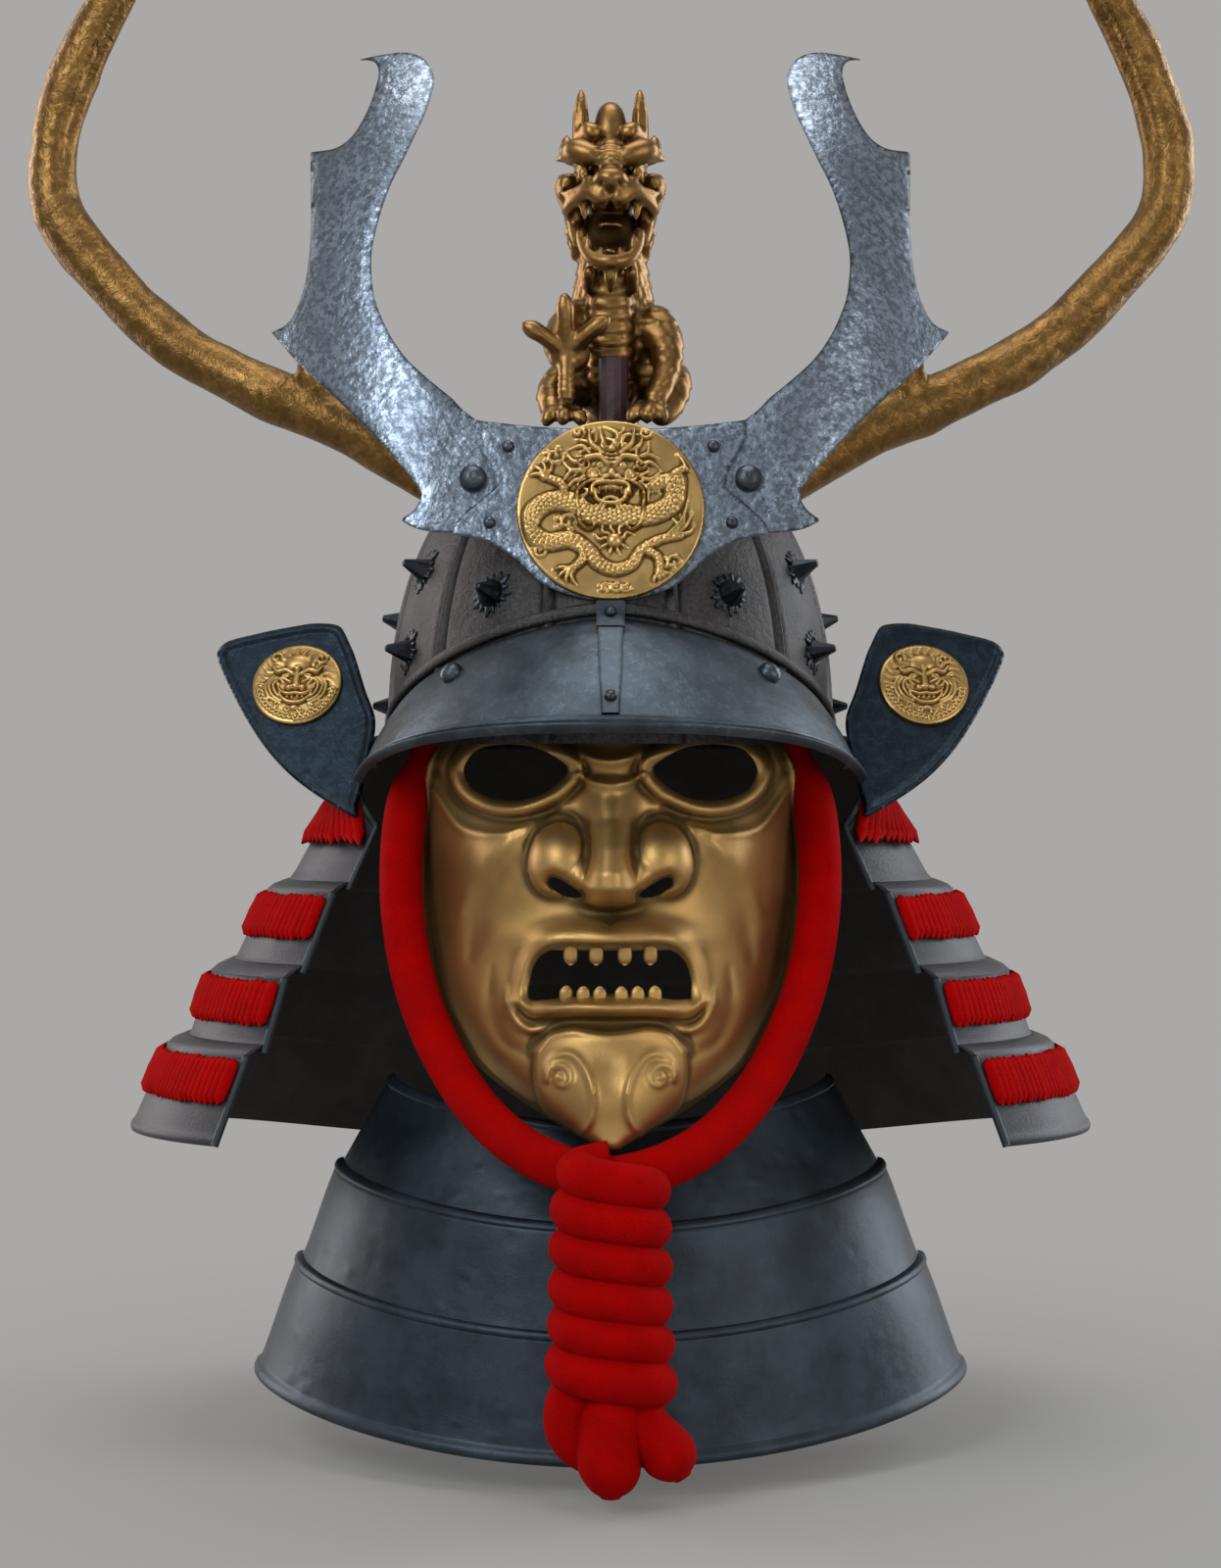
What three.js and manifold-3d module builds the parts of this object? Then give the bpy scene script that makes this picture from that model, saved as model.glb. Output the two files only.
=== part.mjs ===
// A samurai helmet with its war mask, neck guard, throat guard and chin cord.
// Millimetres. +Z is up, the face looks along -Y and +X is to the viewer's right. The origin is
// the inside of the crown, where the bowl sits on the head.
import * as THREE from 'three';
import Module from 'manifold-3d';

// Gaps
const clearance = 0.3;

// Bowl
const bowlWidth = 224;
const bowlLength = 256;
const bowlHeight = 160;
const bowlWall = 3;
const crownPower = 2.4;
const bowlPanels = 11;
const ribHeight = 1.6;
const ribWidth = 9;
const rimZ = bowlWall - bowlHeight;

// Spikes on the bowl
const spikeLength = 12;
const spikeBase = 11.5;
const spikeTip = 3;
const rosetteDiameter = 21;
const rosetteThickness = 1.4;

// Visor, its brow band and its strap
const visorWall = 2;
const visorReach = 57;
const visorSpread = 12;
const visorSeat = 30;
const visorSpan = 80;
const visorTopHeight = 58;
const visorEndHeight = 6;
const visorLipHeight = 4;
const visorLipFall = 23;
const visorBow = 3;
const visorRoll = 2.2;
const bandWidth = 5.5;
const bandThickness = 1.5;
const bandSlit = 0.6;
const strapWidth = 13.5;
const strapThickness = 1.6;
const strapRivetDiameter = 6;
const visorRivetDiameter = 11;

// Crest
const crestHeight = 235;
const crestHalfWidth = 170;
const crestLean = 14;
const crestFlat = 80;
const crestSweep = 170;
const crestTopHeight = 151;
const crestTopSweep = 440;
const crestWall = 2;
const crestDip = 0.02;
const medallionDiameter = 89;
const medallionThickness = 5;
const medallionHeight = 43.5;
const stemWidth = 18;
const stemHeight = 24;
const stemRise = 6;
const largeRivetDiameter = 13.5;
const smallRivetDiameter = 6;

// Antlers
const antlerReach = 290;
const antlerHeight = 311;
const antlerThickness = 28.4;

// Dragon
const dragonHeight = 174;
const dragonBreadth = 84;
const dragonLength = 130;
const dragonHeadDiameter = 45;
const postDiameter = 15;
const postHeight = 36;

// Neck guard
const neckTopRadius = 120;
const neckFlare = 122;
const neckDrop = 200;
const neckTopRise = 7;
const neckBackDrop = 36;
const neckBackTuck = 6; // how much shorter the flare is at the back than at the sides
const neckFrontShare = 0.63;
const neckWall = 2;
const neckLap = 4;
const neckRim = 0.6;
const neckSpan = 128.5;
const neckTopSpan = 87;
const lacingThickness = 3.2;

// Turned-back plates
const turnbackWidth = 83;
const turnbackHeight = 98;
const turnbackInset = 117.5;
const turnbackDrop = 35;
const turnbackForward = 55;
const turnbackLean = 28;
const turnbackWall = 2.4;
const turnbackRim = 1.6;
const turnbackMedallionDiameter = 46;
const turnbackMedallionThickness = 3.5;

// Mask
const maskWidth = 180;
const maskHeight = 198;
const maskRise = 12;
const maskSeat = 70;
const maskDepth = 80;
const maskWall = 2.5;
const eyeSpacing = 92;
const eyeWidth = 50;
const eyeHeight = 27;
const mouthWidth = 76;
const mouthHeight = 19;
const nostrilWidth = 13;
const nostrilHeight = 8.4;
const nostrilTilt = 2;
const toothWidth = 7;
const toothLength = 8;
const gumHeight = 7;
const gumDepth = 4;

// Throat guard
const throatTopWidth = 219;
const throatBottomWidth = 356;
const throatTopDepth = 100;
const throatBottomDepth = 150;
const throatTopDrop = 166.5;
const throatHeight = 148.5;
const throatDip = 20;
const throatWall = 2;
const throatLap = 5;
const throatRidge = 1.8;
const hangerWidth = 16;
const hangerThickness = 2;

// Chin cord and its knot
const cordDiameter = 21;
const cordSides = 8;
const cordSteps = 25;
const knotWidth = 55;
const knotDepth = 46;
const knotHeight = 112;
const knotWraps = 6;
const knotSlant = 0.2;
const knotEndDiameter = 26;
const knotDrop = 193;
const knotStandOff = 4;

const sides = [
  { name: 'left', sign: -1 },
  { name: 'right', sign: 1 },
];

const radians = (value) => (value * Math.PI) / 180;
const mix = (from, to, share) => from + (to - from) * share;
const bump = (value, centre, reach) => Math.exp(-(((value - centre) / reach) ** 2));
const vector = (x, y, z) => new THREE.Vector3(x, y, z);
const steps = (count, make) => Array.from({ length: count }, (_, index) => make(index));

const library = await Module();
library.setup();

// The value of one column of a table between its rows, which run along another column.
function between(table, along, value, column) {
  const last = table.length - 1;
  let row = 0;
  while (row < last - 1 && value > table[row + 1][along]) row += 1;
  const low = table[row];
  const high = table[row + 1];
  const share = (value - low[along]) / (high[along] - low[along]);
  return mix(low[column], high[column], THREE.MathUtils.clamp(share, 0, 1));
}

// Six times the volume inside a list of triangles, below zero where they face inwards.
function signedVolume(points, index) {
  let total = 0;
  for (let at = 0; at < index.length; at += 3) {
    const [a, b, c] = [points[index[at]], points[index[at + 1]], points[index[at + 2]]];
    total += a.dot(vector(0, 0, 0).crossVectors(b, c));
  }
  return total;
}

// A closed solid from points and triangles: equal points become one and the faces point out.
function solid(points, triangles) {
  const grain = 1e4;
  const places = new Map();
  const kept = [];
  const merged = points.map((point) => {
    const key = point.toArray().map((value) => Math.round(value * grain)).join();
    if (!places.has(key)) {
      places.set(key, kept.length);
      kept.push(point);
    }
    return places.get(key);
  });
  const index = [];
  for (const triangle of triangles) {
    const [a, b, c] = triangle.map((corner) => merged[corner]);
    if (a !== b && b !== c && c !== a) index.push(a, b, c);
  }
  if (signedVolume(kept, index) < 0) index.reverse();
  const geometry = new THREE.BufferGeometry().setFromPoints(kept);
  geometry.setIndex(index);
  geometry.computeVertexNormals();
  return geometry;
}

// A library shape as such a closed solid.
function closed(geometry) {
  const position = geometry.getAttribute('position');
  const points = steps(position.count, (at) => vector(0, 0, 0).fromBufferAttribute(position, at));
  const order = geometry.index ? Array.from(geometry.index.array) : points.map((_, at) => at);
  return solid(points, steps(order.length / 3, (at) => order.slice(3 * at, 3 * at + 3)));
}

function toManifold(geometry) {
  const vertProperties = Float32Array.from(geometry.getAttribute('position').array);
  const triVerts = Uint32Array.from(geometry.index.array);
  return new library.Manifold(new library.Mesh({ numProp: 3, vertProperties, triVerts }));
}

function fromManifold(body) {
  const { vertProperties, triVerts } = body.getMesh();
  const count = vertProperties.length / 3;
  const points = steps(count, (at) => vector(...vertProperties.slice(3 * at, 3 * at + 3)));
  return solid(points, steps(triVerts.length / 3, (at) => [...triVerts.slice(3 * at, 3 * at + 3)]));
}

function joined(...geometries) {
  return fromManifold(geometries.map(toManifold).reduce((all, next) => all.add(next)));
}

function cut(geometry, ...tools) {
  const rest = tools.map(toManifold).reduce((body, tool) => body.subtract(tool), toManifold(geometry));
  return fromManifold(rest);
}

// The largest piece of a solid, without the crumbs that a cut leaves.
function mainPiece(geometry) {
  const pieces = toManifold(geometry).decompose();
  return fromManifold(pieces.reduce((a, b) => (a.volume() > b.volume() ? a : b)));
}

// A wall between an outer and an inner grid of points, closed along its border.
function wall(outer, inner, wraps = false) {
  const rows = outer.length;
  const columns = outer[0].length;
  const half = rows * columns;
  const triangles = [];
  const quad = (a, b, c, d) => triangles.push([a, b, c], [a, c, d]);
  const at = (row, column) => row * columns + (column % columns);
  const spans = wraps ? columns : columns - 1;
  for (let column = 0; column < spans; column += 1) {
    for (let row = 0; row < rows - 1; row += 1) {
      const [a, b] = [at(row, column), at(row + 1, column)];
      const [c, d] = [at(row + 1, column + 1), at(row, column + 1)];
      quad(a, b, c, d);
      quad(half + a, half + d, half + c, half + b);
    }
    quad(at(0, column + 1), half + at(0, column + 1), half + at(0, column), at(0, column));
    const [last, next] = [at(rows - 1, column), at(rows - 1, column + 1)];
    quad(last, half + last, half + next, next);
  }
  for (let row = 0; row < rows - 1 && !wraps; row += 1) {
    const [top, low] = [at(row, 0), at(row + 1, 0)];
    quad(top, half + top, half + low, low);
    const [topEnd, lowEnd] = [at(row, columns - 1), at(row + 1, columns - 1)];
    quad(lowEnd, half + lowEnd, half + topEnd, topEnd);
  }
  return solid([...outer.flat(), ...inner.flat()], triangles);
}

// A closed skin over a row of rings with as many points each.
function skin(rings) {
  const count = rings[0].length;
  const points = rings.flat();
  const triangles = [];
  rings.slice(1).forEach((_, row) => {
    steps(count, (at) => {
      const next = (at + 1) % count;
      const [a, b] = [row * count + at, row * count + next];
      triangles.push([a, b, b + count], [a, b + count, a + count]);
    });
  });
  for (const row of [0, rings.length - 1]) {
    const centre = rings[row].reduce((sum, point) => sum.add(point), vector(0, 0, 0));
    points.push(centre.divideScalar(count));
    steps(count, (at) => {
      const [a, b] = [row * count + at, row * count + ((at + 1) % count)];
      triangles.push(row === 0 ? [b, a, points.length - 1] : [a, b, points.length - 1]);
    });
  }
  return solid(points, triangles);
}

// A round limb through a few knots, each with its place and radius.
function limb(knots, ringSides, ringCount) {
  const curve = new THREE.CatmullRomCurve3(knots.map(({ x, y, z }) => vector(x, y, z)));
  const { normals, binormals } = curve.computeFrenetFrames(ringCount - 1, false);
  const places = steps(knots.length, (at) => ({ at: at / (knots.length - 1), r: knots[at].r }));
  return skin(steps(ringCount, (row) => {
    const share = row / (ringCount - 1);
    const centre = curve.getPoint(curve.getUtoTmapping(share));
    const radius = between(places, 'at', curve.getUtoTmapping(share), 'r');
    return steps(ringSides, (side) => {
      const angle = (2 * Math.PI * side) / ringSides;
      return centre.clone()
        .addScaledVector(normals[row], radius * Math.cos(angle))
        .addScaledVector(binormals[row], radius * Math.sin(angle));
    });
  }));
}

function ball({ x, y, z }, radius) {
  return closed(new THREE.SphereGeometry(radius, 8, 6).translate(x, y, z));
}

// A boss of cast relief, which stands on a face at its height.
function boss({ x, y, width, height, relief }, scale, face) {
  const dome = turned([[0, -0.2], [1, -0.2], [0.85, 0.6], [0, 1]], 6);
  return dome.scale(width * scale, height * scale, relief).translate(x * scale, y * scale, face);
}

// A turned shape about +Z from [radius, height] pairs.
function turned(profile, segments) {
  const outline = profile.map(([radius, height]) => new THREE.Vector2(radius, height));
  return closed(new THREE.LatheGeometry(outline, segments).rotateX(Math.PI / 2));
}

const helmet = new THREE.Group();

function add(name, geometry, finish) {
  const mesh = new THREE.Mesh(geometry, new THREE.MeshStandardMaterial(finish));
  mesh.name = name;
  helmet.add(mesh);
  return mesh;
}

// Stands a mesh whose axis is +Z on a point, along the surface's normal there.
function stand(mesh, { point, normal }) {
  mesh.position.copy(point);
  mesh.quaternion.setFromUnitVectors(vector(0, 0, 1), normal);
}

// A surface's point and outward normal where the surface is given by two shares.
function seat(surface, across, down, proud) {
  const step = 0.002;
  const point = surface(across, down);
  const alongX = surface(across + step, down).sub(point);
  const alongZ = surface(across, down + step).sub(point);
  const normal = alongZ.cross(alongX).normalize();
  return { point: point.addScaledVector(normal, proud), normal };
}

const bowlSteel = { color: 0x565151, roughness: 0.55, metalness: 0.8 };
const spikeSteel = { color: 0x2d3234, roughness: 0.4, metalness: 0.9 };
const visorSteel = { color: 0x464e55, roughness: 0.4, metalness: 0.9 };
const crestSteel = { color: 0xa0afbe, roughness: 0.3, metalness: 1 };
const gold = { color: 0xbe9655, roughness: 0.35, metalness: 1 };
const bronze = { color: 0x8c693c, roughness: 0.4, metalness: 1 };
const antlerBronze = { color: 0x825a28, roughness: 0.45, metalness: 0.9 };
const maskBronze = { color: 0x967341, roughness: 0.35, metalness: 1 };
const navySteel = { color: 0x23323e, roughness: 0.5, metalness: 0.7 };
const throatSteel = { color: 0x2d3741, roughness: 0.4, metalness: 0.8 };
const lameSteel = { color: 0x69676e, roughness: 0.5, metalness: 0.8 };
const redCord = { color: 0xa00000, roughness: 0.9, metalness: 0 };
const postBrown = { color: 0x3a2026, roughness: 0.6, metalness: 0.2 };

// The bowl's outside at an azimuth from the front and a height share from the rim to the crown.
function bowlPoint(azimuth, rise, proud) {
  const inset = (1 - Math.min(rise, 1) ** crownPower) ** (1 / crownPower);
  const slope = inset ** (crownPower - 1);
  const [across, along] = [Math.sin(azimuth), -Math.cos(azimuth)];
  const up = rise ** (crownPower - 1) / bowlHeight;
  const normal = vector((2 * across * slope) / bowlWidth, (2 * along * slope) / bowlLength, up);
  const reachX = (bowlWidth / 2) * inset;
  const reachY = (bowlLength / 2) * inset;
  const point = vector(reachX * across, reachY * along, rimZ + bowlHeight * rise);
  return point.addScaledVector(normal.normalize(), proud);
}

const bowlRows = 6;
const bowlRises = steps(bowlRows, (row) => (
  Math.sin((Math.PI / 2) * (row / (bowlRows - 1))) ** (2 / crownPower)));

// One panel's columns: the foot of its rib, the rib, the rib's other foot and the panel's middle.
function bowlGrid(proud, rib) {
  const panel = (2 * Math.PI) / bowlPanels;
  const ribHalf = ribWidth / bowlWidth;
  const columns = steps(bowlPanels, (at) => {
    const seam = (at + 0.5) * panel;
    return [
      { azimuth: seam - ribHalf, raise: 0 },
      { azimuth: seam, raise: rib },
      { azimuth: seam + ribHalf, raise: 0 },
      { azimuth: seam + panel / 2, raise: 0 },
    ];
  }).flat();
  return bowlRises.map((rise, row) => {
    const fade = row === bowlRows - 1 ? 0 : 1;
    return columns.map(({ azimuth, raise }) => bowlPoint(azimuth, rise, proud + fade * raise));
  });
}

// The whole space inside the bowl's outline, with the clearance that neighbours keep to it.
function bowlSpace() {
  const skirt = 40;
  const outer = bowlGrid(clearance, ribHeight);
  const foot = outer[0].map(({ x, y, z }) => vector(x, y, z - skirt));
  return skin([foot, ...outer]);
}

const bowlRoom = bowlSpace();
add('helmet_bowl', wall(bowlGrid(0, ribHeight), bowlGrid(-bowlWall, 0), true), bowlSteel);

// How far a piece on the bowl sinks, because the faceted side lies inside its curve.
function bowlSag(rise) {
  const row = bowlRises.findIndex((next) => next > rise);
  const [low, high] = [bowlRises[row - 1], bowlRises[row]];
  const inset = (value) => (1 - value ** crownPower) ** (1 / crownPower);
  const chord = mix(inset(low), inset(high), (rise - low) / (high - low));
  return 0.5 * (bowlWidth / 2) * (inset(rise) - chord);
}

// Spikes, at panels counted from the front one and height shares of the bowl.
const spikeRows = [
  { panel: 1, rise: 0.45 },
  { panel: 2, rise: 0.54 },
  { panel: 2, rise: 0.29 },
  { panel: 3, rise: 0.4 },
  { panel: 3, rise: 0.13 },
  { panel: 4, rise: 0.54 },
  { panel: 4, rise: 0.29 },
];

function spike() {
  const petals = 4;
  const notch = 0.72;
  const ring = (radius, height, dent) => steps(2 * petals, (at) => {
    const angle = (Math.PI * at) / petals;
    const reach = at % 2 ? radius * dent : radius;
    return vector(reach * Math.cos(angle), reach * Math.sin(angle), height);
  });
  return skin([
    ring(rosetteDiameter / 2, 0, notch),
    ring(spikeBase / 2, rosetteThickness, 1),
    ring(spikeTip / 2, spikeLength, 1),
  ]);
}

for (const { name, sign } of sides) {
  spikeRows.forEach(({ panel, rise }, at) => {
    const azimuth = (sign * panel * 2 * Math.PI) / bowlPanels;
    const point = bowlPoint(azimuth, rise, clearance - bowlSag(rise));
    const normal = bowlPoint(azimuth, rise, 1).sub(bowlPoint(azimuth, rise, 0));
    stand(add(`spike_${name}_${at + 1}`, spike(), spikeSteel), { point, normal });
  });
}

// The visor's top edge lies on the bowl: its height share at a share of the visor's span.
function visorTopRise(across) {
  const arch = Math.abs(across) ** 1.6;
  return mix(visorTopHeight, visorEndHeight, arch) / bowlHeight;
}

// The visor's inner face, from its top edge at 0 to its lip at 1.
function visorInner(across, down) {
  const azimuth = radians(visorSpan) * across;
  const top = bowlPoint(azimuth, visorTopRise(across), clearance);
  const lipX = (bowlWidth / 2 + visorSpread) * Math.sin(azimuth);
  const lipReach = bowlLength / 2 + visorReach - visorSeat;
  const lipY = -visorSeat - lipReach * Math.cos(azimuth);
  const lipZ = rimZ + visorLipHeight - visorLipFall * Math.abs(across) ** 2.6;
  const point = top.lerp(vector(lipX, lipY, lipZ), down);
  const bow = visorBow * Math.sin(Math.PI * down);
  return point.add(vector(0.3 * bow * Math.sin(azimuth), -0.6 * bow * Math.cos(azimuth), 0.7 * bow));
}

const visorRows = [
  { down: 0, proud: 0 },
  { down: 0.33, proud: 0 },
  { down: 0.66, proud: 0 },
  { down: 0.91, proud: 0 },
  { down: 0.94, proud: 1 },
  { down: 1, proud: 0.7 },
];

function visorGrid(proud, roll, reach, columns) {
  return visorRows.map((row) => steps(columns, (at) => {
    const across = reach * (-1 + (2 * at) / (columns - 1));
    return seat(visorInner, across, row.down, proud + roll * row.proud).point;
  }));
}

const visorColumns = 15;
const visorOuter = visorGrid(visorWall, visorRoll, 1, visorColumns);
const visor = wall(visorOuter, visorGrid(0, 0, 1, visorColumns));
const visorRoom = wall(
  visorGrid(visorWall + 2 * clearance, visorRoll, 1.02, visorColumns),
  visorGrid(-2 * clearance, 0, 1.02, visorColumns),
);
add('visor', mainPiece(cut(visor, bowlRoom)), visorSteel);

// The brow band follows the visor's top edge on the bowl.
function bandGrid(proud) {
  const columns = 15;
  const foot = visorWall + bandSlit;
  return [foot, foot + bandWidth].map((above) => steps(columns, (at) => {
    const across = -1 + (2 * at) / (columns - 1);
    const rise = visorTopRise(across) + above / bowlHeight;
    return bowlPoint(radians(visorSpan) * across, rise, proud);
  }));
}

const bandTop = clearance + ribHeight + bandThickness;
add('brow_band', mainPiece(cut(wall(bandGrid(bandTop), bandGrid(0)), bowlRoom)), visorSteel);

// The strap's folded block covers the band, and its blade tapers down the visor.
const strapBlock = 0.13;
const strapRows = [
  { down: -0.1, half: 1, top: 1 },
  { down: strapBlock, half: 1, top: 1 },
  { down: strapBlock + 0.01, half: 0.9, top: 0 },
  { down: 0.5, half: 0.82, top: 0 },
  { down: 0.89, half: 0.6, top: 0 },
];

function strapPoint(sideways, { down, half, top }, proud) {
  const { point } = seat(visorInner, 0, Math.max(down, 0), visorWall + 2 * clearance + proud);
  const above = Math.max(-down, 0) * (visorReach + visorLipHeight);
  const blockRaise = top * bandThickness;
  return vector(sideways * half * (strapWidth / 2), point.y - blockRaise, point.z + above);
}

// The strap's outer face between two of its rows, where a rivet sits.
function strapSeat(first, second, share) {
  const [top, low] = [first, second].map((row) => strapPoint(0, row, strapThickness + clearance));
  const along = low.clone().sub(top);
  const normal = along.clone().cross(vector(1, 0, 0)).normalize();
  return { point: top.addScaledVector(along, share), normal };
}

const strapGrid = (proud) => strapRows.map((row) => [-1, 0, 1].map((at) => strapPoint(at, row, proud)));
add('visor_strap', wall(strapGrid(strapThickness), strapGrid(0)), visorSteel);

// A dome-headed rivet.
function domeRivet(diameter) {
  const radius = diameter / 2;
  return turned([
    [0, 0],
    [radius, 0],
    [0.8 * radius, 0.55 * radius],
    [0, 0.82 * radius],
  ], 8);
}

for (const { name, sign } of sides) {
  const rivet = add(`visor_rivet_${name}`, domeRivet(visorRivetDiameter), spikeSteel);
  stand(rivet, seat(visorInner, sign * 0.5, 0.27, visorWall + clearance));
}

const strapRivets = [
  { name: 'upper', first: 0, share: 0.5 },
  { name: 'lower', first: 3, share: 0.68 },
];

for (const { name, first, share } of strapRivets) {
  const rivet = add(`strap_rivet_${name}`, domeRivet(strapRivetDiameter), spikeSteel);
  stand(rivet, strapSeat(strapRows[first], strapRows[first + 1], share));
}

// The crest leans back and sweeps back at its sides and top. Its front face at a place.
const crestFootHeight = visorTopHeight + visorWall + bandSlit + bandWidth + 3 * clearance;
const crestFootZ = rimZ + crestFootHeight;
const crestFootY = bowlPoint(0, crestFootHeight / bowlHeight, clearance + crestWall).y;

function crestY(x, z) {
  const sideways = Math.max(0, Math.abs(x) - crestFlat);
  const upwards = Math.max(0, z - crestFootZ - crestTopHeight);
  const lean = (z - crestFootZ) * Math.tan(radians(crestLean));
  return crestFootY + lean + sideways ** 2 / crestSweep + upwards ** 2 / crestTopSweep;
}

const crestPoint = (side, up, back) => {
  const x = side * crestHalfWidth;
  const z = crestFootZ + up * crestHeight;
  return vector(x, crestY(x, z) + back, z);
};

// Half widths of the centre plate up its height, as shares of the crest.
const plateRows = [
  { up: 0.375, half: 0.38 },
  { up: 0.341, half: 0.38 },
  { up: 0.308, half: 0.359 },
  { up: 0.275, half: 0.331 },
  { up: 0.238, half: 0.317 },
  { up: 0.158, half: 0.434 },
  { up: 0.138, half: 0.44 },
  { up: 0.122, half: 0.341 },
  { up: 0.085, half: 0.261 },
  { up: 0.033, half: 0.18 },
  { up: 0.009, half: 0.087 },
  { up: 0, half: 0.02 },
];

function plateGrid(back) {
  return plateRows.map(({ up, half }, row) => {
    const dip = row === 0 ? crestDip : 0;
    return [-1, -0.5, 0, 0.5, 1].map((share) => (
      crestPoint(share * half, up - dip * (1 - share * share), back)));
  });
}

add('crest_plate', wall(plateGrid(0), plateGrid(crestWall)), crestSteel);

// Each horn from its root under the plate to its hooked tip: its outer and inner edge.
const hornRows = [
  { outer: 0.25, outerUp: 0.13, inner: 0.25, innerUp: 0.33 },
  { outer: 0.332, outerUp: 0.14, inner: 0.32, innerUp: 0.352 },
  { outer: 0.47, outerUp: 0.142, inner: 0.382, innerUp: 0.378 },
  { outer: 0.54, outerUp: 0.15, inner: 0.42, innerUp: 0.4 },
  { outer: 0.589, outerUp: 0.168, inner: 0.447, innerUp: 0.421 },
  { outer: 0.548, outerUp: 0.191, inner: 0.47, innerUp: 0.435 },
  { outer: 0.531, outerUp: 0.222, inner: 0.495, innerUp: 0.45 },
  { outer: 0.571, outerUp: 0.266, inner: 0.53, innerUp: 0.472 },
  { outer: 0.665, outerUp: 0.343, inner: 0.58, innerUp: 0.508 },
  { outer: 0.775, outerUp: 0.424, inner: 0.625, innerUp: 0.555 },
  { outer: 0.9, outerUp: 0.512, inner: 0.655, innerUp: 0.6 },
  { outer: 0.993, outerUp: 0.59, inner: 0.673, innerUp: 0.635 },
  { outer: 0.938, outerUp: 0.606, inner: 0.684, innerUp: 0.682 },
  { outer: 0.892, outerUp: 0.675, inner: 0.687, innerUp: 0.737 },
  { outer: 0.876, outerUp: 0.798, inner: 0.668, innerUp: 0.815 },
  { outer: 0.881, outerUp: 0.88, inner: 0.637, innerUp: 0.89 },
  { outer: 0.891, outerUp: 0.991, inner: 0.607, innerUp: 0.94 },
  { outer: 0.812, outerUp: 0.991, inner: 0.59, innerUp: 0.968 },
  { outer: 0.768, outerUp: 1.01, inner: 0.571, innerUp: 1.005 },
  { outer: 0.722, outerUp: 1.069, inner: 0.54, innerUp: 1.068 },
  { outer: 0.694, outerUp: 1.151, inner: 0.523, innerUp: 1.142 },
  { outer: 0.695, outerUp: 1.183, inner: 0.535, innerUp: 1.176 },
  { outer: 0.712, outerUp: 1.203, inner: 0.568, innerUp: 1.205 },
  { outer: 0.758, outerUp: 1.212, inner: 0.62, innerUp: 1.219 },
];

function hornGrid(sign, back) {
  return hornRows.map(({ outer, outerUp, inner, innerUp }) => [0, 0.5, 1].map((share) => (
    crestPoint(sign * mix(outer, inner, share), mix(outerUp, innerUp, share), back))));
}

const hornBack = crestWall + clearance;
for (const { name, sign } of sides) {
  const horn = wall(hornGrid(sign, hornBack), hornGrid(sign, hornBack + crestWall));
  add(`crest_horn_${name}`, horn, crestSteel);
}

const crestNormal = (x, z) => {
  const step = 0.5;
  const slopeX = (crestY(x + step, z) - crestY(x - step, z)) / (2 * step);
  const slopeZ = (crestY(x, z + step) - crestY(x, z - step)) / (2 * step);
  return vector(slopeX, -1, slopeZ).normalize();
};

// Crest rivets: on the plate or on the horn behind it.
const crestRivets = [
  { name: 'large', side: 0.386, up: 0.252, diameter: largeRivetDiameter, back: hornBack },
  { name: 'upper', side: 0.288, up: 0.319, diameter: smallRivetDiameter, back: 0 },
  { name: 'lower', side: 0.338, up: 0.161, diameter: smallRivetDiameter, back: 0 },
];

for (const { name, sign } of sides) {
  for (const rivet of crestRivets) {
    const point = crestPoint(sign * rivet.side, rivet.up, rivet.back);
    const normal = crestNormal(point.x, point.z);
    point.addScaledVector(normal, clearance);
    const mesh = add(`crest_rivet_${rivet.name}_${name}`, domeRivet(rivet.diameter), spikeSteel);
    stand(mesh, { point, normal });
  }
}

// A cast disc with a raised border, before its relief is joined on.
function disc(diameter, thickness, relief) {
  const radius = diameter / 2;
  return turned([
    [0, 0],
    [radius, 0],
    [0.97 * radius, thickness],
    [0.91 * radius, thickness - relief],
    [0, thickness - relief],
  ], 18);
}

// The crest medallion: a coiled serpent body, its head, its whisker arches and a pearl.
function crestMedallion() {
  const radius = medallionDiameter / 2;
  const face = medallionThickness - 1.4;
  const coil = [
    { x: 0.08, y: 0.34, r: 0.15 },
    { x: -0.3, y: 0.12, r: 0.12 },
    { x: -0.62, y: -0.12, r: 0.12 },
    { x: -0.38, y: -0.4, r: 0.12 },
    { x: 0.05, y: -0.26, r: 0.12 },
    { x: 0.45, y: 0.02, r: 0.12 },
    { x: 0.72, y: 0.26, r: 0.1 },
    { x: 0.66, y: 0.52, r: 0.08 },
    { x: 0.42, y: 0.6, r: 0.04 },
  ].map(({ x, y, r }) => ({ x: x * radius, y: y * radius, z: face - 0.6, r: r * radius }));
  const body = limb(coil, 6, 13);
  body.translate(0, 0, -face).scale(1, 1, 0.42).translate(0, 0, face);
  const bosses = [
    { x: 0.02, y: 0.5, width: 0.24, height: 0.27, relief: 4 },
    { x: -0.04, y: 0.27, width: 0.15, height: 0.13, relief: 4.6 },
    { x: 0.04, y: -0.34, width: 0.12, height: 0.12, relief: 3.4 },
    { x: -0.72, y: 0.36, width: 0.13, height: 0.1, relief: 1.6 },
    { x: -0.46, y: -0.66, width: 0.14, height: 0.1, relief: 1.6 },
    { x: 0.6, y: -0.5, width: 0.16, height: 0.12, relief: 1.6 },
  ].map((place) => boss(place, radius, face));
  return joined(disc(medallionDiameter, medallionThickness, 1.4), body, ...bosses);
}

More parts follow.
